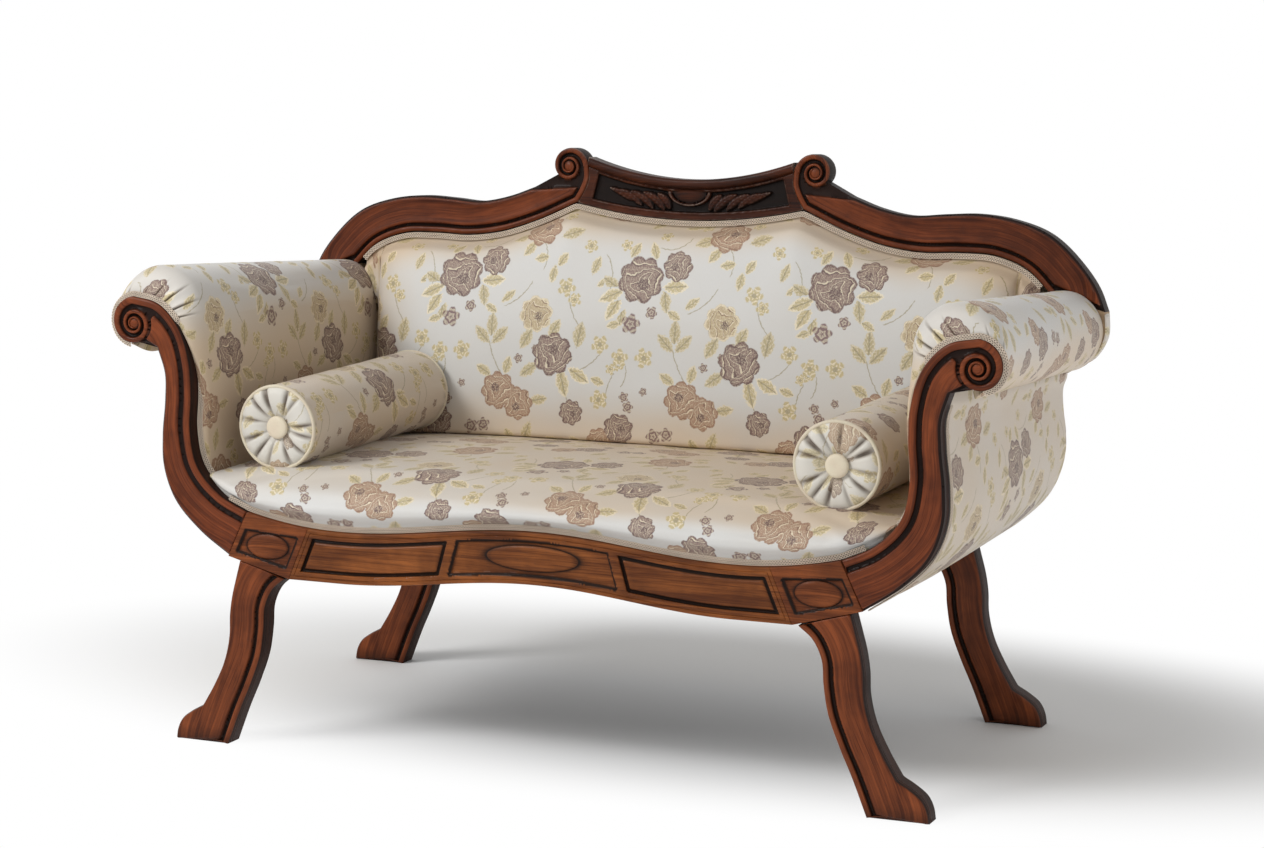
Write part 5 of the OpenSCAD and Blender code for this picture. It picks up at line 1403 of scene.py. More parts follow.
class SOFA_OT_back_pad(SofaOperator, bpy.types.Operator):
    """Makes the broad crowned back that fills the frame under the crest"""
    bl_idname = "sofa.back_pad"
    bl_label = "Back"

    def build(self, scene):
        look = scene.sofa_upholstery
        body = PAD_HALF * np.sin(np.linspace(0, 1, 58) * math.pi / 2 * 0.97) / math.sin(math.pi / 2 * 0.97)
        half = np.concatenate([body, np.linspace(PAD_HALF + 0.004, BACK_HALF, 9)])
        xs = np.concatenate([-half[:0:-1], half])
        s = np.sin(np.linspace(0, 1, 56) * math.pi / 2) ** 1.05
        rows = len(s) + 4
        front = np.empty((len(xs), rows, 3))
        rear = np.empty_like(front)
        uv = np.empty((len(xs), rows, 2))
        for i, x in enumerate(xs):
            low, top = pad_low(x), pad_top(x)
            border = 0.012
            z = np.concatenate([mixed(low, top - border, s), top - border * np.array([0.75, 0.5, 0.25, 0.0])])
            sh = np.concatenate([s, np.ones(4)])
            step = smooth((z - top + 0.031) / 0.016)
            fall = (np.sqrt(np.maximum(0, 1 - sh ** 5))
                    * math.sqrt(max(0, 1 - min(1, abs(x) / PAD_HALF) ** 14)))
            swell = BACK_PAD_T * (1 - 0.35 * sh) * fall
            y = mixed(-BACK_GAP - 0.008, 0.004, step) - swell
            zz = z.copy()
            zz[0] += y[0] * math.tan(RAKE)
            front[i] = leaned(np.stack([np.full(rows, x), y, zz], axis=1))
            yr = mixed(-BACK_GAP + 0.001, 0.010, step)
            rear[i] = leaned(np.stack([np.full(rows, x), yr, z], axis=1))
            run = runs_of(np.stack([y, zz], axis=1))
            uv[i, :, 0] = x
            uv[i, :, 1] = run - run[0] + 0.62
        n = grid_normals(front, (0, -1, 0), (len(xs) // 2, rows // 2))
        ease = np.linspace(0, 1, rows)[None, :] * (1 - np.linspace(0, 1, rows)[None, :]) * 4
        ease = np.clip(ease * 1.4, 0, 1) * smooth((BACK_HALF - np.abs(uv[:, :, 0])) / 0.08)
        front += n * (0.0015 * waves(uv[:, :, 0], uv[:, :, 1], 0.18, 8) * ease)[:, :, None]
        # Painted shade: low on the back, towards its sides and under the crest
        up = (front[:, :, 2] - JOINT_Z) / 0.40
        tops = np.array([pad_top(x) for x in xs])[:, None] + JOINT_Z
        shade_amount = 0.85 * (1 - smooth((up - 0.02) / 0.42)) + 0.10 + 0.35 * smooth(
            (np.abs(front[:, :, 0]) - 0.78 * PAD_HALF) / (0.22 * PAD_HALF))
        shade_amount = shade_amount + 0.75 * (1 - smooth((tops - front[:, :, 2]) / 0.075))
        pad = sheet_mesh("back_pad", front, uv, rear, shaded=np.clip(shade_amount, 0, 1), phase=(0.058, -0.483))
        def hold(p):
            x, y, z = p.T
            up = (z - JOINT_Z) / math.cos(RAKE)
            top, low = np.array([(pad_top(k), pad_low(k)) for k in x]).T
            loose = held(smooth((top - 0.034 - up) / 0.04), smooth((up - low - 0.004) / 0.05),
                         smooth((PAD_HALF - np.abs(x)) / 0.05))
            return np.where(y > frame_y(z) - 0.012, 1.0, loose)
        tight(pad, hold, look.puff)
        rounder(pad)
        finished(pad, weave(), nodes=("back_cover", "back_stuffing"))


# Short creases where the roll's cloth is gathered to the wood: angle on the roll in degrees,
# how far they run, their depth and their width in degrees
CREASES = ((118, 0.50, 0.0040, 1.5), (141, 0.74, 0.0052, 1.6), (163, 0.88, 0.0060, 1.7),
           (180, 0.72, 0.0046, 1.5), (97, 0.30, 0.0026, 1.5), (60, 0.36, 0.0030, 1.8),
           (22, 0.62, 0.0050, 1.9), (-6, 0.72, 0.0058, 2.0), (-30, 0.82, 0.0064, 2.0),
           (-50, 0.72, 0.0054, 1.8), (129, 0.28, 0.0022, 1.3), (40, 0.30, 0.0022, 1.6))


class SOFA_OT_arm_pads(SofaOperator, bpy.types.Operator):
    """Makes the stuffed arms, whose cloth wraps round the roll and is gathered to the scroll"""
    bl_idname = "sofa.arm_pads"
    bl_label = "Arms"

    def build(self, scene):
        look = scene.sofa_upholstery
        face = spline(ARM_FACE, 5)
        angles = np.linspace(186, -72, 236)
        start = int(len(FACADE_IN) * 0.72)
        wrap = np.vstack([FACADE_IN[start:], scroll_points(EYE, SCROLL_R, 90, np.arange(4, 166, 4))])
        wrap = even(beside(wrap, 0.0005), 0.002)
        ws = runs_of(wrap)
        cols = len(face) + len(angles)
        edge = beside(FACADE_IN, 0.0006)
        arc = np.append(186 + (face[-1, 1] - face[:, 1]) / ROLL_FRONT_R * 57.3 + 50, angles)
        t = np.clip((214 - angles) / 266, 0, 1) * ws[-1]
        on_scroll = np.stack([np.interp(t, ws, wrap[:, 0]), np.interp(t, ws, wrap[:, 1])], axis=1)
        z = face[:, 1]
        k = smooth((z - (z[-1] - 0.075)) / 0.075)
        depth = np.append(mixed(TACK_LOW, TACK_HIGH, k), np.full(len(angles), TACK_HIGH))
        z = mixed(z, mixed(z, on_scroll[0, 1], 0.65), k)
        target = np.vstack([np.stack([np.interp(z, edge[:-1, 1], edge[:-1, 0]), z], axis=1), on_scroll])

        def section(t):
            """The arm's outline at a share of the way from front to rear."""
            c = mixed(ROLL_FRONT, ROLL_REAR, t)
            r = mixed(ROLL_FRONT_R, ROLL_REAR_R, t)
            a = np.radians(angles)
            roll = np.stack([c[0] + r * np.cos(a), c[1] + r * np.sin(a)], axis=1)
            return np.vstack([fallen(face, t), roll])

        q = np.linspace(0, 1, 15)
        ts = np.linspace(0.016, 1, 46)
        rows = len(q) + len(ts) - 1
        grid = np.empty((cols, rows, 3))
        uv = np.empty((cols, rows, 2))
        full = section(0)
        path_run = runs_of(full)
        y_full = mixed(PAD_Y0, frame_y(full[:, 1]) - BACK_GAP, 0.016)
        for k, t in enumerate(q):
            w = math.sin(t * math.pi / 2)
            p = target + (section(0.016 * w) - target) * w
            y = depth + (y_full - depth) * (1 - math.cos(t * math.pi / 2))
            grid[:, k] = np.stack([p[:, 0], y, p[:, 1]], axis=1)
        for k, t in enumerate(ts[1:]):
            p = section(t)
            y = mixed(PAD_Y0, frame_y(p[:, 1]) - BACK_GAP, t)
            grid[:, len(q) + k] = np.stack([p[:, 0], y, p[:, 1]], axis=1)
        step = np.linalg.norm(np.diff(grid, axis=1), axis=2)
        across = np.concatenate([np.zeros((cols, 1)), np.cumsum(step, axis=1)], axis=1)
        uv[:, :, 0] = across - across[:, len(q) - 1:len(q)]
        uv[:, :, 1] = path_run[:, None]
        n = grid_normals(grid, (0, 0, 1), (len(face) + 90, rows // 2))
        push = np.zeros((cols, rows))
        # How deep in a crease each point lies, where the cloth gets painted shade
        crease_shades = np.zeros((cols, rows))
        qq = np.concatenate([q, np.full(rows - len(q), 1.0) + np.linspace(0, 1, rows - len(q) + 1)[1:] * 2])
        for angle, reach, deep, wide in CREASES:
            bell = np.exp(-((arc - angle) / wide) ** 2)
            lift = np.exp(-((arc - angle) / (wide * 4.4)) ** 2)
            fade = 1 - smooth((qq - 0.15 * reach) / (reach * 1.1))
            start_up = smooth(qq / 0.12)
            run_out = (fade * start_up)[None, :]
            push += (-deep * bell + deep * 0.42 * lift)[:, None] * run_out
            crease_shades += bell[:, None] * run_out * min(1, deep / 0.005)
        ease = smooth((qq[None, :] - 0.7) / 0.8) * smooth((path_run / 0.05))[:, None]
        push += 0.0013 * waves(uv[:, :, 0], uv[:, :, 1], 0.13, 3) * ease
        grid += n * push[:, :, None]
        inner = grid - n * ARM_CLOTH_T
        inner[:, :len(q), 1] = np.maximum(inner[:, :len(q), 1], FRONT + 0.0085)
        # Painted shade on the arm's upright face below the roll
        upright = smooth((ROLL_FRONT[1] + 0.02 - grid[:, :, 2]) / 0.09)
        pad = sheet_mesh("right_arm_pad", grid, uv, inner, 0.28 + 0.62 * upright,
                         np.clip(crease_shades, 0, 1), (0.125, 0.09), angle=70)
        def hold(p):
            x, y, z = p.T
            loose = held(smooth((y - PAD_Y0 - 0.02) / 0.08), smooth((frame_y(z) - BACK_GAP - y) / 0.04),
                         smooth((z - ARM_FACE[0][1] - 0.01) / 0.06))
            return np.where((x > ROLL_FRONT[0]) & (z < ROLL_REAR[1] - 0.04), 1.0, loose)
        tight(pad, hold, look.puff * 0.6)
        for obj, side in ((pad, "right"), (mirrored(pad, "left_arm_pad"), "left")):
            finished(obj, weave(),
                     nodes=(side + "_arm_cover", side + "_arm_stuffing", side + "_roll_facing"))


class SOFA_OT_outer_arms(SofaOperator, bpy.types.Operator):
    """Makes the cloth panels outside the arms"""
    bl_idname = "sofa.outer_arms"
    bl_label = "Outer Arms"

    def build(self, scene):
        top = ROLL_FRONT[1] - ROLL_FRONT_R - ROLL_UNDER
        edge = FACADE_OUT[FACADE_OUT[:, 1] < top]
        tuck = edge[0] + np.array([(0.003, 0.030), (0.001, 0.016)])
        edge = np.vstack([tuck, edge])
        path = even(beside(edge, 0.0012), 0.006)
        back_path = even(beside(edge, -0.0012), 0.006)
        n = len(path)
        goal, here = np.linspace(0, 1, n), np.linspace(0, 1, len(back_path))
        back_path = np.stack([np.interp(goal, here, back_path[:, i]) for i in (0, 1)], axis=1)
        ts = np.concatenate([[0, 0.003, 0.007, 0.014], np.linspace(0.03, 1, 40)])
        grid = np.empty((n, len(ts), 3))
        inner = np.empty_like(grid)
        uv = np.empty((n, len(ts), 2))
        run = runs_of(path)
        for k, t in enumerate(ts):
            p = fallen(path, t)
            b = fallen(back_path, t)
            w = math.sqrt(1 - (1 - min(1, t / 0.014)) ** 2)
            p = mixed(b, p, 0.25 + 0.75 * w)
            y = mixed(PAD_Y0, frame_y(p[:, 1]) + BOARD_T, t)
            bulge = 0.0065 * smooth(t / 0.3) + 0.0020 * math.sin(math.pi * t) * np.sin(np.pi * run / run[-1])
            off = normals_of(p) * bulge[:, None]
            grid[:, k] = np.stack([p[:, 0] + off[:, 0], y, p[:, 1] + off[:, 1]], axis=1)
            low = b + normals_of(b) * bulge[:, None]
            y_low = mixed(PAD_Y0, frame_y(b[:, 1]) + BOARD_T, t)
            inner[:, k] = np.stack([low[:, 0], y_low, low[:, 1]], axis=1)
            uv[:, k, 0] = y - PAD_Y0
            uv[:, k, 1] = -run
        panel = sheet_mesh("right_outer_arm_cloth", grid, uv, inner, shaded=0.62, phase=(0.03, 0.16))
        rounder(panel)
        for obj, side in ((panel, "right"), (mirrored(panel, "left_outer_arm_cloth"), "left")):
            finished(obj, weave(), nodes=(side + "_outer_arm",))


class SOFA_OT_outside_back(SofaOperator, bpy.types.Operator):
    """Covers the frame from behind with cloth that bends at the arm joint"""
    bl_idname = "sofa.outside_back"
    bl_label = "Outside Back"

    def build(self, scene):
        shoulder = [(1.12, 0.93), (1.02, 0.845), (0.87, 0.80), (0.76, 0.76)]
        post = spline([tuple(CREST_FOOT_OUT + [0, JOINT_Z])]
                      + placed(shoulder + FACADE_OUT_SHARES[2:], *ARM)
                      + [tuple(JOINT_END), (BLOCK_FOOT_X + 0.02, RAIL_LOW + 0.004)])
        side = in_order(beside(post, -0.0005), 1)
        crest = in_order(beside(CREST_IN, -0.015), 0)
        reach = float(crest[:, 0].max()) - 0.002
        foot_z = float(CREST_FOOT_OUT[1]) + JOINT_Z

        def top_at(x):
            x = abs(x)
            if x < CUSP[0]:
                return float(tablet_foot(x)) + 0.015 + JOINT_Z
            return float(np.interp(x, crest[:, 0], crest[:, 1])) + JOINT_Z

        def reach_at(z):
            wide = float(np.interp(z, side[:, 1], side[:, 0]))
            return mixed(wide, min(wide, reach), float(smooth((z - foot_z + 0.006) / 0.030)))

        z0 = RAIL_LOW + 0.018
        rows = 70
        middle = np.sin(np.linspace(-1, 1, 81) * math.pi / 2 * 0.9) / math.sin(math.pi / 2 * 0.9)
        places = [(-1, k) for k in (3, 2, 1)] + [(s, 0) for s in middle] + [(1, k) for k in (1, 2, 3)]
        grid = np.empty((len(places), rows, 3))
        inner = np.empty_like(grid)
        uv = np.empty((len(places), rows, 2))
        for i, (s, wrap) in enumerate(places):
            for r in range(rows):
                v = r / (rows - 1)
                z = mixed(z0, top_at(s * reach), v)
                x = s * reach_at(z)
                edge = max(0, min(1, (1 - abs(s)) / 0.03) * min(1, v / 0.02, (1 - v) / 0.02))
                proud = 0.0012 + 0.0026 * math.sqrt(1 - (1 - edge) ** 2)
                y = (frame_y(z) if z > JOINT_Z else BACK) + BOARD_T + GAP
                ahead = wrap * 0.0117 * float(smooth((foot_z + 0.004 - z) / 0.010))
                out = s * (0.0035 if wrap else 0)
                grid[i, r] = (x + out, y + proud - ahead, z)
                inner[i, r] = (x + out * 0.3, y - ahead, z)
                uv[i, r] = (-x - s * ahead, z)
        panel = sheet_mesh("outside_back_cloth", grid, uv, inner, shaded=0.4)
        finished(panel, weave(), nodes=("outside_back",))


# ---- Braid, by Geometry Nodes ----
def loop_unit():
    """One pitch of the braid: a small loop on either side, a pitch long."""
    n, m = 10, 3
    verts, faces = [], []
    for side in (-1, 1):
        base = len(verts)
        for i in range(n):
            a = 2 * math.pi * i / n
            for j in range(m):
                b = 2 * math.pi * j / m + 0.5
                r = 0.33 + 0.16 * math.cos(b)
                verts.append((r * 1.30 * math.cos(a), side * 0.52 + r * 1.10 * math.sin(a),
                              0.20 + 0.17 * math.sin(b)))
        ring = lambda i, j: base + i % n * m + j % m
        faces += [(ring(i, j), ring(i + 1, j), ring(i + 1, j + 1), ring(i, j + 1))
                  for i in range(n) for j in range(m)]
    mesh = bpy.data.meshes.new("braid_loop")
    mesh.from_pydata(verts, [], faces)
    outward(mesh)
    rounded_look(mesh)
    return shown("braid_loop", mesh)


def braid_tree(unit, material):
    """A tree that sets loops along a path; the path's points say which way the braid faces."""
    tree = bpy.data.node_groups.new("braid", "GeometryNodeTree")
    tree.is_modifier = True
    tree.interface.new_socket("Geometry", in_out="INPUT", socket_type="NodeSocketGeometry")
    pitch = tree.interface.new_socket("Pitch", in_out="INPUT", socket_type="NodeSocketFloat")
    size = tree.interface.new_socket("Half Width", in_out="INPUT", socket_type="NodeSocketFloat")
    tree.interface.new_socket("Geometry", in_out="OUTPUT", socket_type="NodeSocketGeometry")
    node = {key: tree.nodes.new(kind) for key, kind in (
        ("enter", "NodeGroupInput"), ("leave", "NodeGroupOutput"), ("curve", "GeometryNodeMeshToCurve"),
        ("even", "GeometryNodeResampleCurve"), ("put", "GeometryNodeInstanceOnPoints"),
        ("unit", "GeometryNodeObjectInfo"), ("facing", "GeometryNodeInputNamedAttribute"),
        ("tangent", "GeometryNodeInputTangent"), ("outwards", "FunctionNodeAlignRotationToVector"),
        ("along", "FunctionNodeAlignRotationToVector"), ("scale", "ShaderNodeCombineXYZ"),
        ("real", "GeometryNodeRealizeInstances"), ("paint", "GeometryNodeSetMaterial"))}
    node["even"].mode = "LENGTH"
    node["unit"].inputs["Object"].default_value = unit
    node["facing"].data_type = "FLOAT_VECTOR"
    node["facing"].inputs["Name"].default_value = "facing"
    node["outwards"].axis = "Z"
    node["along"].axis = "X"
    node["along"].pivot_axis = "Z"
    node["paint"].inputs["Material"].default_value = material
    for start, out, end, socket in (
            ("enter", "Geometry", "curve", "Mesh"), ("curve", 0, "even", "Curve"),
            ("enter", "Pitch", "even", "Length"), ("even", 0, "put", "Points"),
            ("unit", "Geometry", "put", "Instance"), ("facing", "Attribute", "outwards", "Vector"),
            ("outwards", 0, "along", "Rotation"), ("tangent", 0, "along", "Vector"),
            ("along", 0, "put", "Rotation"), ("enter", "Pitch", "scale", "X"),
            ("enter", "Half Width", "scale", "Y"), ("enter", "Half Width", "scale", "Z"),
            ("scale", 0, "put", "Scale"), ("put", 0, "real", "Geometry"), ("real", 0, "paint", "Geometry"),
            ("paint", 0, "leave", "Geometry")):
        tree.links.new(node[start].outputs[out], node[end].inputs[socket])
    return tree, pitch.identifier, size.identifier


def braided(name, paths, trim, material, unit):
    """Braid along paths of (points, facing directions): a tape with rows of loops on it."""
    verts, edges, face = [], [], []
    tape_v, tape_f = [], []
    w = trim.braid_w / 2 * 0.92
    low, high = -0.0003, 0.0006
    for points, facing in paths:
        p = even(np.hstack([points, facing]), trim.loop)
        points, facing = p[:, :3], p[:, 3:]
        facing = facing / np.linalg.norm(facing, axis=1)[:, None]
        count = len(points)
        edges += [(len(verts) + i, len(verts) + i + 1) for i in range(count - 1)]
        verts += [tuple(q) for q in points]
        face += [tuple(q) for q in facing]
        t = np.gradient(points, axis=0)
        t /= np.linalg.norm(t, axis=1)[:, None]
        side = np.cross(facing, t)
        b = len(tape_v)
        tape_v += [tuple(q + s * w * k + f * d) for q, s, f in zip(points, side, facing)
                   for k, d in ((-1, low), (1, low), (1, high), (-1, high))]
        tape_f += [tuple(b + k for k in f) for f in grid_faces(count, 4, closed=True)]
        tape_f += [(b + 3, b + 2, b + 1, b), tuple(range(len(tape_v) - 4, len(tape_v)))]
    mesh = bpy.data.meshes.new(name)
    mesh.from_pydata(verts, edges, [])
    mesh.attributes.new("facing", "FLOAT_VECTOR", "POINT").data.foreach_set("vector", np.array(face).ravel())
    obj = shown(name, mesh)
    tree, pitch_id, size_id = braid_tree(unit, material)
    mod = obj.modifiers.new("braid", "NODES")
    mod.node_group = tree
    mod[pitch_id] = trim.loop
    mod[size_id] = trim.braid_w / 2
    baked(obj)
    loops = len(obj.data.vertices)
    tape = bpy.data.meshes.new("tape")
    tape.from_pydata(tape_v, [], tape_f)
    outward(tape)
    joined(obj.data, [tape])
    bpy.data.meshes.remove(tape)
    marked(obj.data, {"tape": np.arange(len(obj.data.vertices)) >= loops})
    return obj


SEAT_BRAID_HALF = 0.545


class SOFA_OT_braids(SofaOperator, bpy.types.Operator):
    """Sets the looped braid along the wood: seat, back, arms and scrolls"""
    bl_idname = "sofa.braids"
    bl_label = "Braids"

    def build(self, scene):
        trim = scene.sofa_trim
        look = braid_cloth("braid_thread")
        unit = loop_unit()
        w = trim.braid_w / 2
        xs = np.linspace(-SEAT_BRAID_HALF, SEAT_BRAID_HALF, 240)
        z = np.array([sill(x) for x in xs]) + w * 0.85
        path = np.stack([xs, np.full(len(xs), FRONT + GIMP_Y + 0.0022), z], axis=1)
        seat = braided("seat_braid", [(path, np.tile((0.0, -1.0, 0.0), (len(xs), 1)))], trim, look, unit)
        finished(seat, look, nodes=("seat_gimp",))
        xs = np.linspace(-BACK_HALF, BACK_HALF, 300)
        flat = np.stack([xs, np.full(len(xs), 0.0015), [pad_top(x) - w - 0.0004 for x in xs]], axis=1)
        path = leaned(flat)
        face = np.tile((0.0, -math.cos(RAKE), math.sin(RAKE)), (len(xs), 1))
        back = braided("back_braid", [(path, face)], trim, look, unit)
        finished(back, look, nodes=("back_gimp",))
        inner = even(FACADE_IN, 0.004)
        inner = inner[int(len(inner) * 0.055):int(len(inner) * 0.74)]
        wrap = np.vstack([FACADE_IN[int(len(FACADE_IN) * 0.73):],
                          scroll_points(EYE, SCROLL_R, 90, np.arange(6, 166, 4))])
        wrap = even(wrap)
        lift = np.full(len(wrap), 0.0080)
        lift[:8] += np.linspace(0.010, 0, 8)
        out = even(FACADE_OUT, 0.004)
        out = out[out[:, 1] < ROLL_FRONT[1] - ROLL_FRONT_R - ROLL_UNDER]
        paths = []
        # A line, how far beside it and behind the front plane the braid lies, and how it faces
        for line, aside, behind, sideways, ahead in (
                (inner, 0.0030, BOARD_T - w * 0.72, 0.75, -0.66), (wrap, w * 0.75, lift, 0.35, -0.94),
                (out, 0.0026, BOARD_T - w * 0.85, 1.0, -0.12)):
            n = normals_of(line)
            p = line + n * aside
            paths.append((np.stack([p[:, 0], FRONT + behind + np.zeros(len(p)), p[:, 1]], axis=1),
                          np.stack([n[:, 0] * sideways, np.full(len(n), ahead), n[:, 1] * sideways], axis=1)))
        for side, sign in SIDES:
            flip = np.array([sign, 1, 1])
            piece = braided(side + "_arm_braid", [(p * flip, f * flip) for p, f in paths], trim, look, unit)
            finished(piece, look, nodes=(side + "_arm_gimp",))
        bpy.data.objects.remove(unit)


# ---- Bolsters ----
BOLSTER_X, BOLSTER_L, BOLSTER_R = 0.484, 0.478, 0.071
BOLSTER_Y0 = FRONT + 0.060
CASE_R = BOLSTER_R - 0.0015
BOLSTER_Z = float(seat_top(BOLSTER_X)) + GAP + 0.0001 + CASE_R
AROUND = 300
# A button from its back to its crown: share of its radius, and how far it stands out
BUTTON_PROFILE = ((0, -0.004), (0.8, -0.0035), (0.97, -0.0005), (1, 0.0020), (0.955, 0.0042), (0.84, 0.0056),
                  (0.62, 0.0064), (0.40, 0.0066), (0.2, 0.0064), (0, 0.0063))
# A bolster's end along its radius: share of the case's radius, and how far it stands out
END_PROFILE = ((1.0, -0.006), (0.988, -0.0015), (0.955, 0.0022), (0.90, 0.0048), (0.80, 0.0066),
               (0.68, 0.0068), (0.56, 0.0056), (0.45, 0.0034), (0.36, 0.0004), (0.30, -0.0022),
               (0.24, -0.0035), (0.12, -0.0040))


def end_rings(rng, pleats, a):
    """Rings over one gathered end, from its rim inwards: radius, how far out, and how deep in a fold.

    a holds the angles round the end. Each pleat has its own place, depth and slant, and some fork.
    """
    marks = np.sort((np.arange(pleats) + rng.uniform(-0.26, 0.26, pleats)) / pleats * 2 * math.pi)
    deep = rng.uniform(0.65, 1.15, pleats)
    skew = rng.uniform(-0.16, 0.16, pleats)
    fork = rng.uniform(0, 1, pleats)
    around = lambda angle: (a - angle + math.pi) % (2 * math.pi) - math.pi
    for share_r, proud in END_PROFILE:
        crease = np.zeros(len(a))
        wide = 0.042 + 0.022 / max(share_r, 0.2)
        for mark, depth, slant, forks in zip(marks, deep, skew, fork):
            drift = mark + slant * (1 - share_r)
            crease += depth * np.exp(-np.abs(around(drift) / wide) ** 1.5)
            if forks > 0.55 and share_r > 0.5:
                branch = around(drift + 0.13 * (share_r - 0.3))
                crease += 0.45 * depth * np.exp(-np.abs(branch / (wide * 0.8)) ** 1.6)
        gain = math.sin(math.pi * min(1, max(0, (1.03 - share_r) / 0.80)) ** 0.75)
        yield (share_r * CASE_R - 0.0006 * np.clip(crease, 0, 1) * gain,
               proud - 0.0070 * np.clip(crease, 0, 1.3) * gain + 0.0022 * gain,
               np.clip(1.25 * crease - 0.22, 0, 1) * gain)


def bolster_case(name, pleats, seed, phase):
    """One closed skin: the long case and both gathered ends, drawn round the Y axis."""
    rng = np.random.default_rng(seed)
    a = np.linspace(0, 2 * math.pi, AROUND, endpoint=False)
    front, rear = [list(end_rings(rng, pleats, a)) for _ in range(2)]
    rows = [(r, BOLSTER_Y0 - y, deep) for r, y, deep in front[::-1]]
    for t in np.linspace(0.009, BOLSTER_L - 0.009, 60):
        near_end = min(t, BOLSTER_L - t)
        pinch = 0.0016 * math.exp(-near_end / 0.010)
        wave = 0.0010 * waves(a * CASE_R, np.full(AROUND, t), 0.10, seed + 4)
        fold = 0.0008 * np.sin(a * 15 + 3 * math.sin(t * 9)) * math.exp(-near_end / 0.022)
        rows.append((CASE_R - pinch + (wave * 0.6 + fold) * smooth(near_end / 0.01), BOLSTER_Y0 + t, 0.0))
    rows += [(r, BOLSTER_Y0 + BOLSTER_L + y, deep) for r, y, deep in rear]
    m = len(rows)
    rings = np.array([np.stack([r * np.cos(a), y + np.zeros(AROUND), r * np.sin(a)], axis=1)
                      for r, y, deep in rows])
    pit = np.array([deep + np.zeros(AROUND) for r, y, deep in rows])
    hem = len(END_PROFILE) - 2
    zone = np.ones((m, AROUND))
    zone[hem:m - hem] = 0.0
    verts = [tuple(q) for q in rings.reshape(-1, 3)] + [(0, rings[0, 0, 1], 0), (0, rings[-1, 0, 1], 0)]
    middles = (m * AROUND, m * AROUND + 1)
    faces = grid_faces(m, AROUND, closed=True)
    along = runs_of(rings[:, 0])
    turn = np.arange(AROUND + 1) / AROUND * 2 * math.pi * CASE_R
    uvs = [c for j in range(m - 1) for i in range(AROUND)
           for c in ((along[j], turn[i]), (along[j], turn[i + 1]), (along[j + 1], turn[i + 1]),
                     (along[j + 1], turn[i]))]
    for i in range(AROUND):
        k = (i + 1) % AROUND
        faces += [(middles[0], k, i), (middles[1], (m - 1) * AROUND + i, (m - 1) * AROUND + k)]
    uvs += [(0, 0)] * (6 * AROUND)
    mesh = bpy.data.meshes.new(name)
    mesh.from_pydata(verts, [], faces)
    mesh.uv_layers.new(name="weave").data.foreach_set("uv", (np.array(uvs, np.float32) + phase).astype(
        np.float32).ravel())
    zone = np.append(zone, [1.0, 1.0]).astype(np.float32)
    # Painted shade in the folds of the ends, and less painted shade on the gathered ends than along the case
    marked(mesh, {"gathered": zone, "pit": np.append(pit, [0.3, 0.3]), "shade": 0.62 - 0.42 * zone})
    rounded_look(mesh)
    outward(mesh)
    return shown(name, mesh)


def lathe(name, profile, around, y_of, close=True):
    """A turned shape round the Y axis; profile is (radius, distance along the axis)."""
    n = len(profile)
    verts = [(r * math.cos(a), y_of(t), r * math.sin(a))
             for a in (2 * math.pi * i / around for i in range(around)) for r, t in profile]
    faces = [(i * n + j, k * n + j, k * n + (j + 1) % n, i * n + (j + 1) % n)
             for i, k in ((i, (i + 1) % around) for i in range(around)) for j in range(n if close else n - 1)]
    obj = new_piece(name, verts, faces, angle=60)
    outward(obj.data, merge=True)
    return obj


def join_into(pieces):
    """One piece out of several, in the first one's place."""
    first, *others = pieces
    joined(first.data, [o.data for o in others])
    for o in others:
        bpy.data.objects.remove(o)
    rounded_look(first.data)
    return first


class SOFA_OT_bolsters(SofaOperator, bpy.types.Operator):
    """Makes the two bolsters: cases with gathered ends, piping and covered buttons"""
    bl_idname = "sofa.bolsters"
    bl_label = "Bolsters"

    def build(self, scene):
        soft, trim = scene.sofa_upholstery, scene.sofa_trim
        ends = (lambda t: BOLSTER_Y0 - t, lambda t: BOLSTER_Y0 + BOLSTER_L + t)
        r = trim.cord_r
        ring = [(BOLSTER_R - r + r * math.cos(b), 0.0012 + r * math.sin(b))
                for b in np.linspace(0, 2 * math.pi, 14, endpoint=False)]
        cap = [(trim.button_r * k, y) for k, y in BUTTON_PROFILE]
        for side, sign, seed, phase, turn in (("right", 1, 21, (0.05, 0.08), 40),
                                              ("left", -1, 34, (0.215, 0.26), -15)):
            body = side + "_bolster"
            case = bolster_case(body + "_cover", soft.pleats, seed, phase)
            pipe = join_into([lathe(body + "_piping", ring, 160, y_of) for y_of in ends])
            button = join_into([lathe(body + "_button", cap, 64, y_of, close=False) for y_of in ends])
            place = (Matrix.Translation((sign * BOLSTER_X, 0, BOLSTER_Z))
                     @ Matrix.Rotation(math.radians(turn), 4, "Y"))
            for obj in (case, pipe, button):
                obj.data.transform(place)
            finished(case, weave(), body, (body + "_case", body + "_fill", body + "_ends"))
            finished(pipe, satin("piping_satin", 0.92), body)
            finished(button, satin("button_satin", 1.0), body, (body + "_buttons",))


# ---- Brocade ----
# Motifs of one repeat, in metres from the large rose: across, up, radius, turn, and the rose's kind
ROSES = ((0.000, 0.000, 0.043, 0, "mauve"), (0.152, 0.090, 0.038, 70, "copper"),
    (0.158, -0.068, 0.033, 20, "pale"), (0.194, -0.137, 0.039, 130, "dark"),
    (0.092, -0.205, 0.034, 200, "rust"), (0.130, -0.226, 0.030, 310, "copper"),
    (0.233, -0.237, 0.023, 40, "pink"), (0.066, 0.026, 0.028, 250, "mauve"),
    (-0.026, -0.262, 0.029, 90, "mauve"), (-0.062, -0.284, 0.024, 10, "rust"))
MOTIF_REACH = 0.06
KINDS = {"mauve": 0.04, "dark": 0.20, "pink": 0.40, "rust": 0.64, "copper": 0.80, "pale": 0.95}
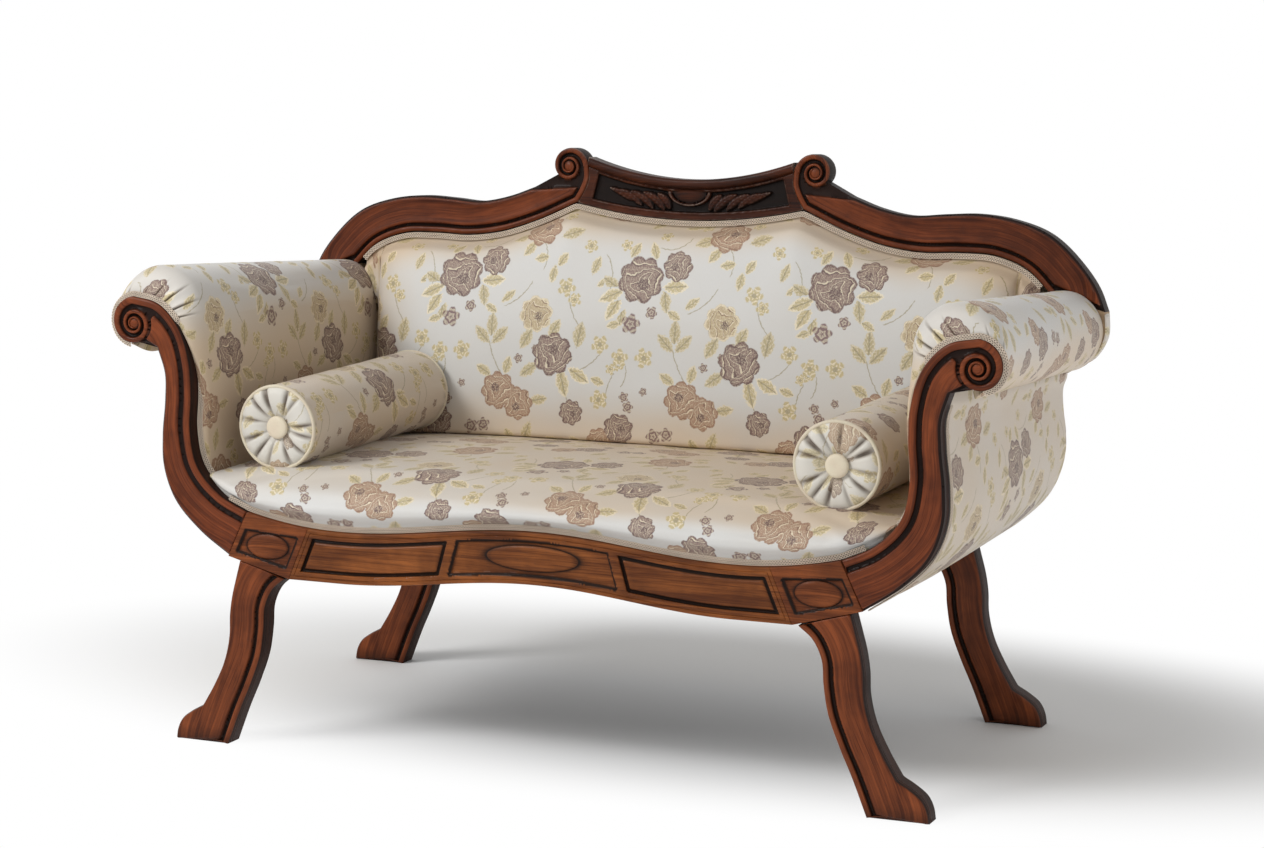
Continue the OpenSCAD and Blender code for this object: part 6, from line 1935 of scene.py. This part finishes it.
# Leaves: across, up, half length, half width, turn
LEAVES = ((0.066, -0.010, 0.025, 0.014, 5), (0.050, -0.036, 0.022, 0.012, -80),
    (-0.016, 0.052, 0.017, 0.010, 60), (-0.054, -0.008, 0.022, 0.012, 150),
    (-0.052, -0.030, 0.026, 0.013, 205), (-0.046, -0.052, 0.026, 0.013, 240),
    (-0.030, -0.064, 0.020, 0.011, 265), (0.073, -0.090, 0.024, 0.012, 92),
    (0.056, -0.108, 0.022, 0.012, 135), (0.090, -0.108, 0.022, 0.012, 45),
    (0.213, 0.078, 0.023, 0.012, 20), (0.184, 0.004, 0.018, 0.010, -100),
    (0.200, 0.030, 0.016, 0.010, 55), (0.112, 0.072, 0.022, 0.012, 200),
    (0.132, 0.048, 0.018, 0.011, 230), (0.158, 0.032, 0.016, 0.010, 190),
    (0.244, -0.102, 0.024, 0.014, 80), (0.216, -0.186, 0.028, 0.014, -75),
    (0.246, -0.172, 0.025, 0.013, -30), (0.142, -0.112, 0.022, 0.013, 240),
    (0.150, -0.166, 0.022, 0.012, 215), (0.062, -0.170, 0.018, 0.011, 150),
    (0.170, -0.218, 0.019, 0.011, 10), (0.264, 0.022, 0.019, 0.010, 70),
    (0.282, -0.008, 0.016, 0.009, 30), (0.068, -0.060, 0.016, 0.009, 150),
    (0.100, -0.038, 0.018, 0.009, 40), (0.196, -0.092, 0.020, 0.012, 60),
    (0.108, -0.160, 0.018, 0.011, 75), (0.282, -0.180, 0.016, 0.009, 160),
    (0.148, -0.276, 0.022, 0.012, 250), (0.116, -0.286, 0.020, 0.011, 300),
    (0.020, 0.052, 0.018, 0.010, 110), (0.190, -0.290, 0.018, 0.010, 20),
    (0.244, -0.290, 0.018, 0.010, 140), (0.308, -0.080, 0.016, 0.009, 200),
    (0.076, -0.316, 0.018, 0.010, 190), (0.010, -0.310, 0.020, 0.011, 60))
# Small flowers: across, up, radius, turn
FLOWERS = ((0.017, -0.136, 0.019, 0), (0.212, -0.019, 0.019, 30), (0.230, -0.040, 0.014, 10),
    (0.284, -0.116, 0.018, 20), (0.322, -0.138, 0.018, 50), (0.286, -0.212, 0.019, 70),
    (0.250, 0.056, 0.014, 15), (0.036, 0.082, 0.013, 40), (-0.030, -0.150, 0.012, 0),
    (0.100, 0.116, 0.015, 5), (0.306, -0.158, 0.011, 35), (0.316, 0.060, 0.012, 0),
    (0.198, 0.118, 0.014, 20))
# Sprigs and rings of dark dots
SPRIGS = ((-0.011, -0.078, 0.019, 45), (0.026, -0.057, 0.012, 30), (-0.017, -0.205, 0.010, 0),
    (-0.009, -0.222, 0.011, 40), (0.019, -0.194, 0.008, 80), (0.129, -0.147, 0.009, 0),
    (0.040, -0.270, 0.014, 0), (0.064, -0.266, 0.013, 60), (0.160, -0.128, 0.007, 0))
# Stems: middle across and up, half length, turn and bow
STEMS = ((0.230, -0.062, 0.034, -65, 0.20), (0.164, 0.040, 0.028, -80, -0.30),
    (0.082, -0.148, 0.032, -65, 0.10), (0.262, -0.150, 0.040, 35, 0.22),
    (0.222, -0.205, 0.042, -62, 0.12), (0.122, -0.036, 0.034, 42, 0.20),
    (0.292, 0.010, 0.034, 100, 0.25), (-0.020, -0.175, 0.024, 70, 0.30),
    (0.304, -0.190, 0.030, 75, -0.2), (0.060, 0.062, 0.030, 20, 0.35))


def near(net, spot, repeat, table, shape):
    """The nearest of several motifs: the place in its own coordinates, its measure, and its number.

    The motifs are points of a space that repeats. Each is looked for in a cell whose borders are
    far from it. Its third coordinate makes the larger of two motifs win where they meet.
    """
    cells = {}
    best = centre = turned = None
    for row in table:
        (a, b), turn, number = shape(row)
        spots = []
        lows = []
        for c, period in zip(row, repeat):
            middle = abs((c + period / 2) % period - period / 2) <= period / 4
            lows.append(-period / 2 if middle else 0.0)
            spots.append((c - lows[-1]) % period + lows[-1])
        key = tuple(lows)
        if key not in cells:
            highs = [low + period for low, period in zip(lows, repeat)]
            cells[key] = net.vector("WRAP", spot, (*highs, 1.0), (*lows, -1.0))
        rise = math.sqrt(max(0.0, MOTIF_REACH ** 2 - max(a, b) ** 2))
        apart = net.vector("DISTANCE", cells[key], (*spots, rise), out="Value")
        held = (row[0], row[1], number)
        sizes = (a, b, math.radians(turn))
        if best is None:
            best, centre, turned = apart, held, sizes
            continue
        closer = apart < best
        centre = net.either(closer, centre, held)
        turned = net.either(closer, turned, sizes)
        best = apart.low(best)
    w, h = repeat
    off = net.vector("WRAP", net.vector("SUBTRACT", spot, centre), (w / 2, h / 2, 0.5),
                     (-w / 2, -h / 2, -0.5))
    dx, dy = net.parts(off, "xy")
    a, b, turn = net.parts(turned)
    c, d = turn.cos(), turn.sin()
    u = (dx * c + dy * d) / a
    v = (dy * c - dx * d) / b
    return (u, v), (u * u + v * v) ** 0.5, net.parts(centre, "z")[0], (a, b)


def angle_of(net, x, y):
    return net.add("ShaderNodeMath", {"operation": "ARCTAN2"}, {0: y, 1: x})


def brocade(name):
    """Silvery satin with woven roses, leaves and sprigs; the pattern only tints the cloth.

    The mark "shade" says how far the cloth lies in painted shade, which turns it from silver to warm beige
    and darkens it, "pit" how deep in a crease it lies, where it gets painted shade, and "gathered" where it
    is drawn together.
    """
    look = bpy.context.scene.sofa_colours
    soft = bpy.context.scene.sofa_upholstery
    net = Net(name)
    cloth = net.uv("weave")
    wander = net.noise(cloth, 150.0, 2.0, 0.6, 0.0, 2.0, "Color")
    spot = net.vector("MULTIPLY_ADD", wander, (0.0055, 0.0055, 0), cloth)
    repeat = (soft.repeat_w, soft.repeat_h)
    shaded = net.mark("shade")
    # Threads: a coarse stipple that breaks every motif up, and finer flecks
    stitch = net.noise(net.scaled(cloth, (1.0, 0.7, 1)), 400.0, 2.0, 0.7, 0.0, 6.0)
    grit = net.add("ShaderNodeTexVoronoi", {"feature": "DISTANCE_TO_EDGE"},
                   {"Vector": cloth, "Scale": 330.0, "Randomness": 0.9}, "Distance")
    seam = grit.step(0.15, 0.05)
    dark_bit = (stitch.step(0.53, 0.47) * 0.70 + seam * 0.45).low(1.0)
    pale_bit = stitch.step(0.54, 0.66)
    # Roses: petals nested about a heart that stands a little off the middle
    as_round = lambda row: ((row[2], row[2]), row[3], 0)
    (x, y), r, kind, _ = near(net, spot, repeat, ROSES,
                              lambda row: ((row[2], row[2]), row[3], KINDS[row[4]]))
    lobes = abs((angle_of(net, x, y) * 4.0 + kind * 9.0).sin())
    rim = r + (1.0 - lobes) * 0.16
    in_rose = rim.step(1.03, 0.97)
    hx, hy = x - 0.12, y + 0.20
    hr = (hx * hx + hy * hy) ** 0.5
    turn = angle_of(net, hx, hy)
    petals = (hr * 3.3 + abs((turn * 1.5 + hr * 2.4 + kind * 5.0).sin()) * 1.15 + lobes * 0.18).fract()
    pale_line = petals.step(0.20, 0.10) * petals.step(0.0, 0.05)
    dark_line = petals.step(0.80, 0.92)
    copper = kind.step(0.52, 0.58)
    pale = kind.step(0.86, 0.90)
    thread = net.mix(copper, tuple(look.mauve), tuple(look.copper))
    creamed = lambda thread, k: mixed(np.array(thread), np.array(look.cream), k)
    petal = net.mix(copper, shade(creamed(look.mauve, 0.42), 1.0), shade(creamed(look.copper, 0.38), 1.0))
    petal = net.mix(pale, petal, shade(creamed(look.gold, 0.45), 0.95))
    bloom = net.mix(dark_bit * (0.78 - pale * 0.28), petal, thread)
    bloom = net.mix(pale_bit * 0.35, bloom, shade(look.cream, 0.95))
    bloom = net.mix(dark_line * 0.85, bloom,
                    net.mix(copper, shade(look.mauve, 0.62), shade(look.copper, 0.62)))
    bloom = net.mix(pale_line * 0.90, bloom, shade(look.cream, 1.10))
    edge = rim.step(0.84, 0.93) * in_rose
    bloom = net.mix(edge * (0.30 + dark_bit * 0.60), bloom,
                    net.mix(pale, net.mix(copper, shade(look.mauve, 0.70), shade(look.copper, 0.85)),
                            shade(look.cream, 1.15)))
    bloom = net.mix(hr.step(0.30, 0.16) * dark_bit, bloom, shade(look.mauve, 0.60))
    # Leaves: a dark middle vein, ribs, and pale frayed edges
    (lx, ly), _, lit, _ = near(net, spot, repeat, LEAVES,
                               lambda row: ((row[2], row[3]), row[4], row[2] * 917 % 1.0))
    side = abs(ly)
    fret = abs((lx * 8.0 + side * 5.0).sin())
    blade = side + lx * lx * 0.96 + (1.0 - fret) * 0.17 + (stitch - 0.5) * 0.5
    in_leaf = blade.step(1.02, 0.86)
    ribs = ((lx * 15.0 - side * 11.0).sin()).step(0.1, 0.85)
    gold = net.mix(lit, shade(look.gold, 0.84), shade(look.gold, 1.08))
    leaf_tone = net.mix(ribs * 0.55, gold, shade(look.cream, 0.98))
    leaf_tone = net.mix(dark_bit * 0.40, leaf_tone, shade(look.gold, 0.66))
    leaf_tone = net.mix(stitch.step(0.56, 0.62) * 0.55, leaf_tone, shade(look.cream, 1.25))
    leaf_tone = net.mix(side.step(0.13, 0.05) * 0.75, leaf_tone, shade(look.gold, 0.45))
    leaf_tone = net.mix(blade.step(0.66, 0.84) * (lit * 0.6 + 0.35), leaf_tone, shade(look.cream, 1.22))
    # Small flowers
    (fx, fy), fr, _, _ = near(net, spot, repeat, FLOWERS, as_round)
    five = abs((angle_of(net, fx, fy) * 2.5).sin())
    ragged = fr + (1.0 - five) * 0.42 + (stitch - 0.5) * 0.5
    in_flower = ragged.step(1.02, 0.86)
    flower_tone = net.mix((fr * 2.2 + five * 0.7).fract().step(0.45, 0.85), shade(look.gold, 1.05),
                          shade(look.cream, 1.22))
    flower_tone = net.mix(dark_bit * 0.35, flower_tone, shade(look.gold, 0.62))
    flower_tone = net.mix(fr.step(0.28, 0.18) * 0.7, flower_tone, shade(look.gold, 0.45))
    # Dark sprigs
    (dx, dy), dr, _, _ = near(net, spot, repeat, SPRIGS, as_round)
    bumps = abs((angle_of(net, dx, dy) * 2.5).sin())
    in_dots = (dr + (1.0 - bumps) * 0.34).step(1.04, 0.88)
    dot_tone = net.mix((dr * 2.1 + bumps * 0.35).fract().step(0.35, 0.65) * 0.85, shade(look.mauve, 0.95),
                       shade(look.cream, 0.92))
    dot_tone = net.mix(dark_bit * 0.5, dot_tone, tuple(look.mauve))
    # Stems
    (sx, sy), _, bow, (half, _) = near(net, spot, repeat, STEMS,
                                       lambda row: ((row[2], row[2]), row[3], row[4]))
    bent = abs(sy - sx * sx * bow + bow * 0.4) * half
    stem = bent.step(0.0013, 0.0005) * abs(sx).step(1.05, 0.95)
    # Satin ground, silver in the light and beige in the shade
    glow = net.noise(cloth, 7.0, 3.0, 0.5, 0.0, 1.0)
    warm = (shaded + (glow - 0.5) * 0.55).step(0.02, 0.98)
    ground = net.mix(warm, tuple(look.ground), tuple(look.ground_warm))
    fleck = net.noise(net.scaled(cloth, (1, 0.30, 1)), 760.0, 2.0, 0.7, 0.0, 9.0)
    ground = net.mix(fleck.step(0.52, 0.74) * 0.16, ground, shade(look.ground_warm, 0.72))
    tint = net.mix(stem * 0.65, ground, shade(look.gold, 0.55))
    tint = net.mix(in_leaf * 0.84, tint, leaf_tone)
    tint = net.mix(in_flower * 0.84, tint, flower_tone)
    tint = net.mix(in_dots * 0.88, tint, dot_tone)
    tint = net.mix(in_rose * 0.96, tint, bloom)
    figured = in_rose.high(in_leaf).high(in_flower).high(in_dots)
    # Painted shade darkens the cloth where the mark "shade" is high
    tint = net.mix(shaded * 0.45, tint, (0.80, 0.62, 0.44), "MULTIPLY")
    tint = net.mix(net.mark("gathered") * 0.22, tint, tuple(look.cream))
    # Painted shade in the creases and folds
    tint = net.mix(net.mark("pit") * 0.86, tint, (0.085, 0.048, 0.026))
    k = 2 * math.pi / soft.thread
    u, v = net.parts(cloth, "xy")
    twill = ((u * k).sin() * (v * k).sin()) * 0.5 + 0.5
    normal = net.bump(twill + stitch * 0.8, 0.00018, 0.5)
    rough = net.number(figured, 0.40, 0.55) + (stitch - 0.5) * 0.10
    return net.surface(Base_Color=tint, Roughness=rough, Normal=normal, Sheen_Weight=0.16,
                       Sheen_Roughness=0.4, Specular_IOR_Level=0.42)


def satin(name, k):
    """Plain cream satin of the piping and buttons, with fine threads."""
    look = bpy.context.scene.sofa_colours
    net = Net(name)
    fine = net.noise(net.spot(), 420.0, 3.0, 0.65)
    soft = net.noise(net.spot(), 24.0, 3.0, 0.5, 0.0, 3.0)
    tint = net.mix(soft.step(0.3, 0.75), shade(look.cream, k), shade(look.ground_warm, k * 1.02))
    tint = net.mix(fine.step(0.5, 0.75) * 0.30, tint, shade(look.cream, k * 0.68))
    return net.surface(Base_Color=tint, Roughness=soft.ramp(0.3, 0.8, 0.42, 0.60),
                       Normal=net.bump(fine, 0.0003, 0.5), Sheen_Weight=0.2, Specular_IOR_Level=0.35)


def braid_cloth(name):
    """Matt cream-beige thread of the braid, with painted shade on the tape down between its loops."""
    look = bpy.context.scene.sofa_colours
    net = Net(name)
    fine = net.noise(net.spot(), 900.0, 2.0, 0.6)
    age = net.noise(net.spot(), 30.0, 3.0, 0.55, 0.0, 5.0)
    tape = net.mark("tape")
    tint = net.mix(age.step(0.3, 0.75) * 0.55, tuple(look.braid), shade(look.braid, 0.72))
    tint = net.mix(fine.step(0.45, 0.75) * 0.35, tint, shade(look.braid, 1.30))
    # Painted shade: the tape between the loops is darkened
    tint = net.mix(tape * 0.90, tint, shade(look.braid, 0.20))
    return net.surface(Base_Color=tint, Roughness=age.ramp(0.3, 0.8, 0.66, 0.85),
                       Normal=net.bump(fine, 0.0003, 0.5), Sheen_Weight=0.1, Specular_IOR_Level=0.25)


class SOFA_OT_brocade(SofaOperator, bpy.types.Operator):
    """Weaves the rose brocade that the upholstery shares"""
    bl_idname = "sofa.brocade"
    bl_label = "Brocade"

    def build(self, scene):
        brocade("rose_brocade")


# ---- Hidden frame, stage, panel ----
class SOFA_OT_dust_cloth(SofaOperator, bpy.types.Operator):
    """Stretches the black cloth under the seat frame"""
    bl_idname = "sofa.dust_cloth"
    bl_label = "Dust Cloth"

    def build(self, scene):
        (x0, y0, _), (x1, y1, z1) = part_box("dust_cover")
        cols, rows = 61, 49
        gx, gy = np.meshgrid(np.linspace(x0, x1, cols), np.linspace(y0, y1, rows), indexing="ij")
        top = np.empty((cols, rows, 3))
        rng = waves(gx, gy, 0.22, 12)
        edge = np.minimum(np.minimum(gx - x0, x1 - gx), np.minimum(gy - y0, y1 - gy))
        sag = 0.0016 * smooth(edge / 0.12) * (1 + 0.5 * rng)
        top[:, :, 0], top[:, :, 1] = gx, gy
        low = top.copy()
        top[:, :, 2] = z1 - sag
        low[:, :, 2] = z1 - 0.0008 - sag
        uv = np.stack([gx, gy], axis=2)
        cloth = sheet_mesh("dust_cloth", top, uv, low)
        finished(cloth, woven("dust_weave", (0.030, 0.028, 0.027), 0.0016, 0.9),
                 nodes=("dust_cover",))


class SOFA_OT_frame_finishes(SofaOperator, bpy.types.Operator):
    """Gives the hidden frame its timber, webbing, steel and hessian"""
    bl_idname = "sofa.frame_finishes"
    bl_label = "Frame Finishes"

    def build(self, scene):
        looks = {
            "frame_wood": frame_wood("frame_beech", (0.46, 0.31, 0.18)),
            "dowel_wood": frame_wood("dowel_birch", (0.56, 0.42, 0.27)),
            "webbing": woven("jute_webbing", (0.40, 0.29, 0.17), 0.0040, 0.9, (0.20, 0.13, 0.08)),
            "stuffing": woven("hessian", (0.36, 0.26, 0.15), 0.0026, 0.95),
            "spring_steel": metal("spring_wire", (0.42, 0.40, 0.38), 0.30),
            "tack_steel": metal("blued_tacks", (0.10, 0.11, 0.13), 0.36)}
        for node in frame["record"]["subparts"]:
            obj = bpy.data.objects.get(node["node"])
            look = looks.get(node.get("material_slot"))
            if obj is not None and obj.type == "MESH" and look is not None:
                obj.data.materials.clear()
                obj.data.materials.append(look)


class SOFA_OT_stage(SofaOperator, bpy.types.Operator):
    """Sets the pale floor, the soft lights, the white surround and the camera"""
    bl_idname = "sofa.stage"
    bl_label = "Stage"

    def build(self, scene):
        stage = scene.sofa_stage
        floor = bpy.data.meshes.new("floor")
        floor.from_pydata([(-9, -9, 0), (9, -9, 0), (9, 9, 0), (-9, 9, 0)], [], [(0, 1, 2, 3)])
        ground = shown("floor", floor)
        floor.materials.append(self.pale())
        lamps = (("key_light", stage.key, 1.9, 1.5, (-2.6, -3.0, 3.3), (0.0, 0.0, 0.45)),
                 ("fill_light", stage.fill, 2.6, 2.0, (3.4, -3.2, 2.2), (0.1, 0.0, 0.5)),
                 ("rim_light", stage.fill * 0.55, 2.2, 1.2, (-1.0, 3.0, 2.9), (0.0, 0.1, 0.7)))
        for name, power, w, h, spot, aim in lamps:
            data = bpy.data.lights.new(name, "AREA")
            data.shape = "RECTANGLE"
            data.size, data.size_y = w, h
            data.energy = power
            self.aimed(name, data, spot, aim)
        scene.world = self.surround(stage.sky)
        camera = bpy.data.cameras.new("camera")
        camera.lens = stage.lens
        camera.sensor_width = 36.0
        scene.camera = self.aimed("camera", camera, (1.961, -4.5422, 1.283), (0.172, -0.3422, 0.58))
        scene.view_settings.view_transform = "Standard"

    @staticmethod
    def aimed(name, data, spot, aim):
        """A lamp or camera at a spot, turned towards its aim."""
        obj = shown(name, data)
        obj.location = spot
        obj.rotation_euler = (Vector(aim) - Vector(spot)).to_track_quat("-Z", "Y").to_euler()
        return obj

    @staticmethod
    def surround(strength):
        """White where the camera sees it, itself or in a mirror, and an even light elsewhere."""
        world = bpy.data.worlds.new("surround")
        world.use_nodes = True
        tree = world.node_tree
        tree.nodes.clear()
        node = {key: tree.nodes.new("ShaderNode" + kind) for key, kind in (
            ("out", "OutputWorld"), ("seen", "Background"), ("sky", "Background"), ("path", "LightPath"),
            ("either", "Math"), ("any", "Math"), ("mix", "MixShader"))}
        for key in ("seen", "sky"):
            node[key].inputs["Color"].default_value = (1, 1, 1, 1)
        node["sky"].inputs["Strength"].default_value = strength
        for key in ("either", "any"):
            node[key].operation = "MAXIMUM"
        for start, out, end, socket in (
                ("path", "Is Camera Ray", "either", 0), ("path", "Is Glossy Ray", "either", 1),
                ("either", 0, "any", 0), ("path", "Is Transmission Ray", "any", 1), ("any", 0, "mix", 0),
                ("sky", 0, "mix", 1), ("seen", 0, "mix", 2), ("mix", 0, "out", "Surface")):
            tree.links.new(node[start].outputs[out], node[end].inputs[socket])
        return world

    @staticmethod
    def pale():
        """Pale floor that fades into the white surround away from the sofa."""
        net = Net("pale_floor")
        spot = net.spot()
        grain = net.noise(spot, 3.0, 2.0, 0.5)
        reach = net.vector("LENGTH", net.scaled(spot, (0.62, 1.30, 1), (-0.05, -0.40, 0)), out="Value")
        away = reach.step(0.46, 0.98)
        tint = net.mix(grain * 0.3, (0.90, 0.90, 0.895), (0.87, 0.87, 0.868))
        matt = net.add("ShaderNodeBsdfPrincipled", inputs={"Base Color": tint, "Roughness": 0.85})
        white = net.add("ShaderNodeEmission", inputs={"Color": (1, 1, 1), "Strength": 1.0})
        net.add("ShaderNodeOutputMaterial", inputs={"Surface": net.add(
            "ShaderNodeMixShader", inputs={0: away, 1: matt, 2: white})})
        return net.material


PIECES = (SOFA_OT_brocade, SOFA_OT_arm_facades, SOFA_OT_corner_blocks, SOFA_OT_front_rail, SOFA_OT_legs,
          SOFA_OT_crest_rails, SOFA_OT_crest_tablet, SOFA_OT_seat_pad, SOFA_OT_back_pad,
          SOFA_OT_arm_pads, SOFA_OT_outer_arms, SOFA_OT_outside_back, SOFA_OT_bolsters,
          SOFA_OT_braids, SOFA_OT_dust_cloth, SOFA_OT_frame_finishes, SOFA_OT_stage)
GROUPS = (("sofa_colours", SofaColours), ("sofa_moulding", SofaMoulding), ("sofa_upholstery", SofaUpholstery),
          ("sofa_trim", SofaTrim), ("sofa_stage", SofaStage))


class SOFA_PT_panel(bpy.types.Panel):
    """The sofa's sizes, colours and building steps"""
    bl_label = "Scroll-Arm Sofa"
    bl_idname = "SOFA_PT_panel"
    bl_space_type = "VIEW_3D"
    bl_region_type = "UI"
    bl_category = "Sofa"

    def draw(self, context):
        for key, group in GROUPS:
            box = self.layout.box()
            box.label(text=group.__doc__)
            values = getattr(context.scene, key)
            for field in group.__annotations__:
                box.prop(values, field)
        column = self.layout.column()
        for piece in PIECES:
            column.operator(piece.bl_idname)


def register():
    for key, group in GROUPS:
        bpy.utils.register_class(group)
        setattr(bpy.types.Scene, key, PointerProperty(type=group))
    for piece in PIECES:
        bpy.utils.register_class(piece)
    bpy.utils.register_class(SOFA_PT_panel)


def unregister():
    bpy.utils.unregister_class(SOFA_PT_panel)
    for piece in reversed(PIECES):
        bpy.utils.unregister_class(piece)
    for key, group in reversed(GROUPS):
        delattr(bpy.types.Scene, key)
        bpy.utils.unregister_class(group)


def main():
    register()
    for piece in PIECES:
        group, name = piece.bl_idname.split(".")
        done = getattr(getattr(bpy.ops, group), name)()
        if done != {"FINISHED"}:
            raise RuntimeError("%s didn't finish" % piece.bl_label)


if __name__ == "__main__":
    main()
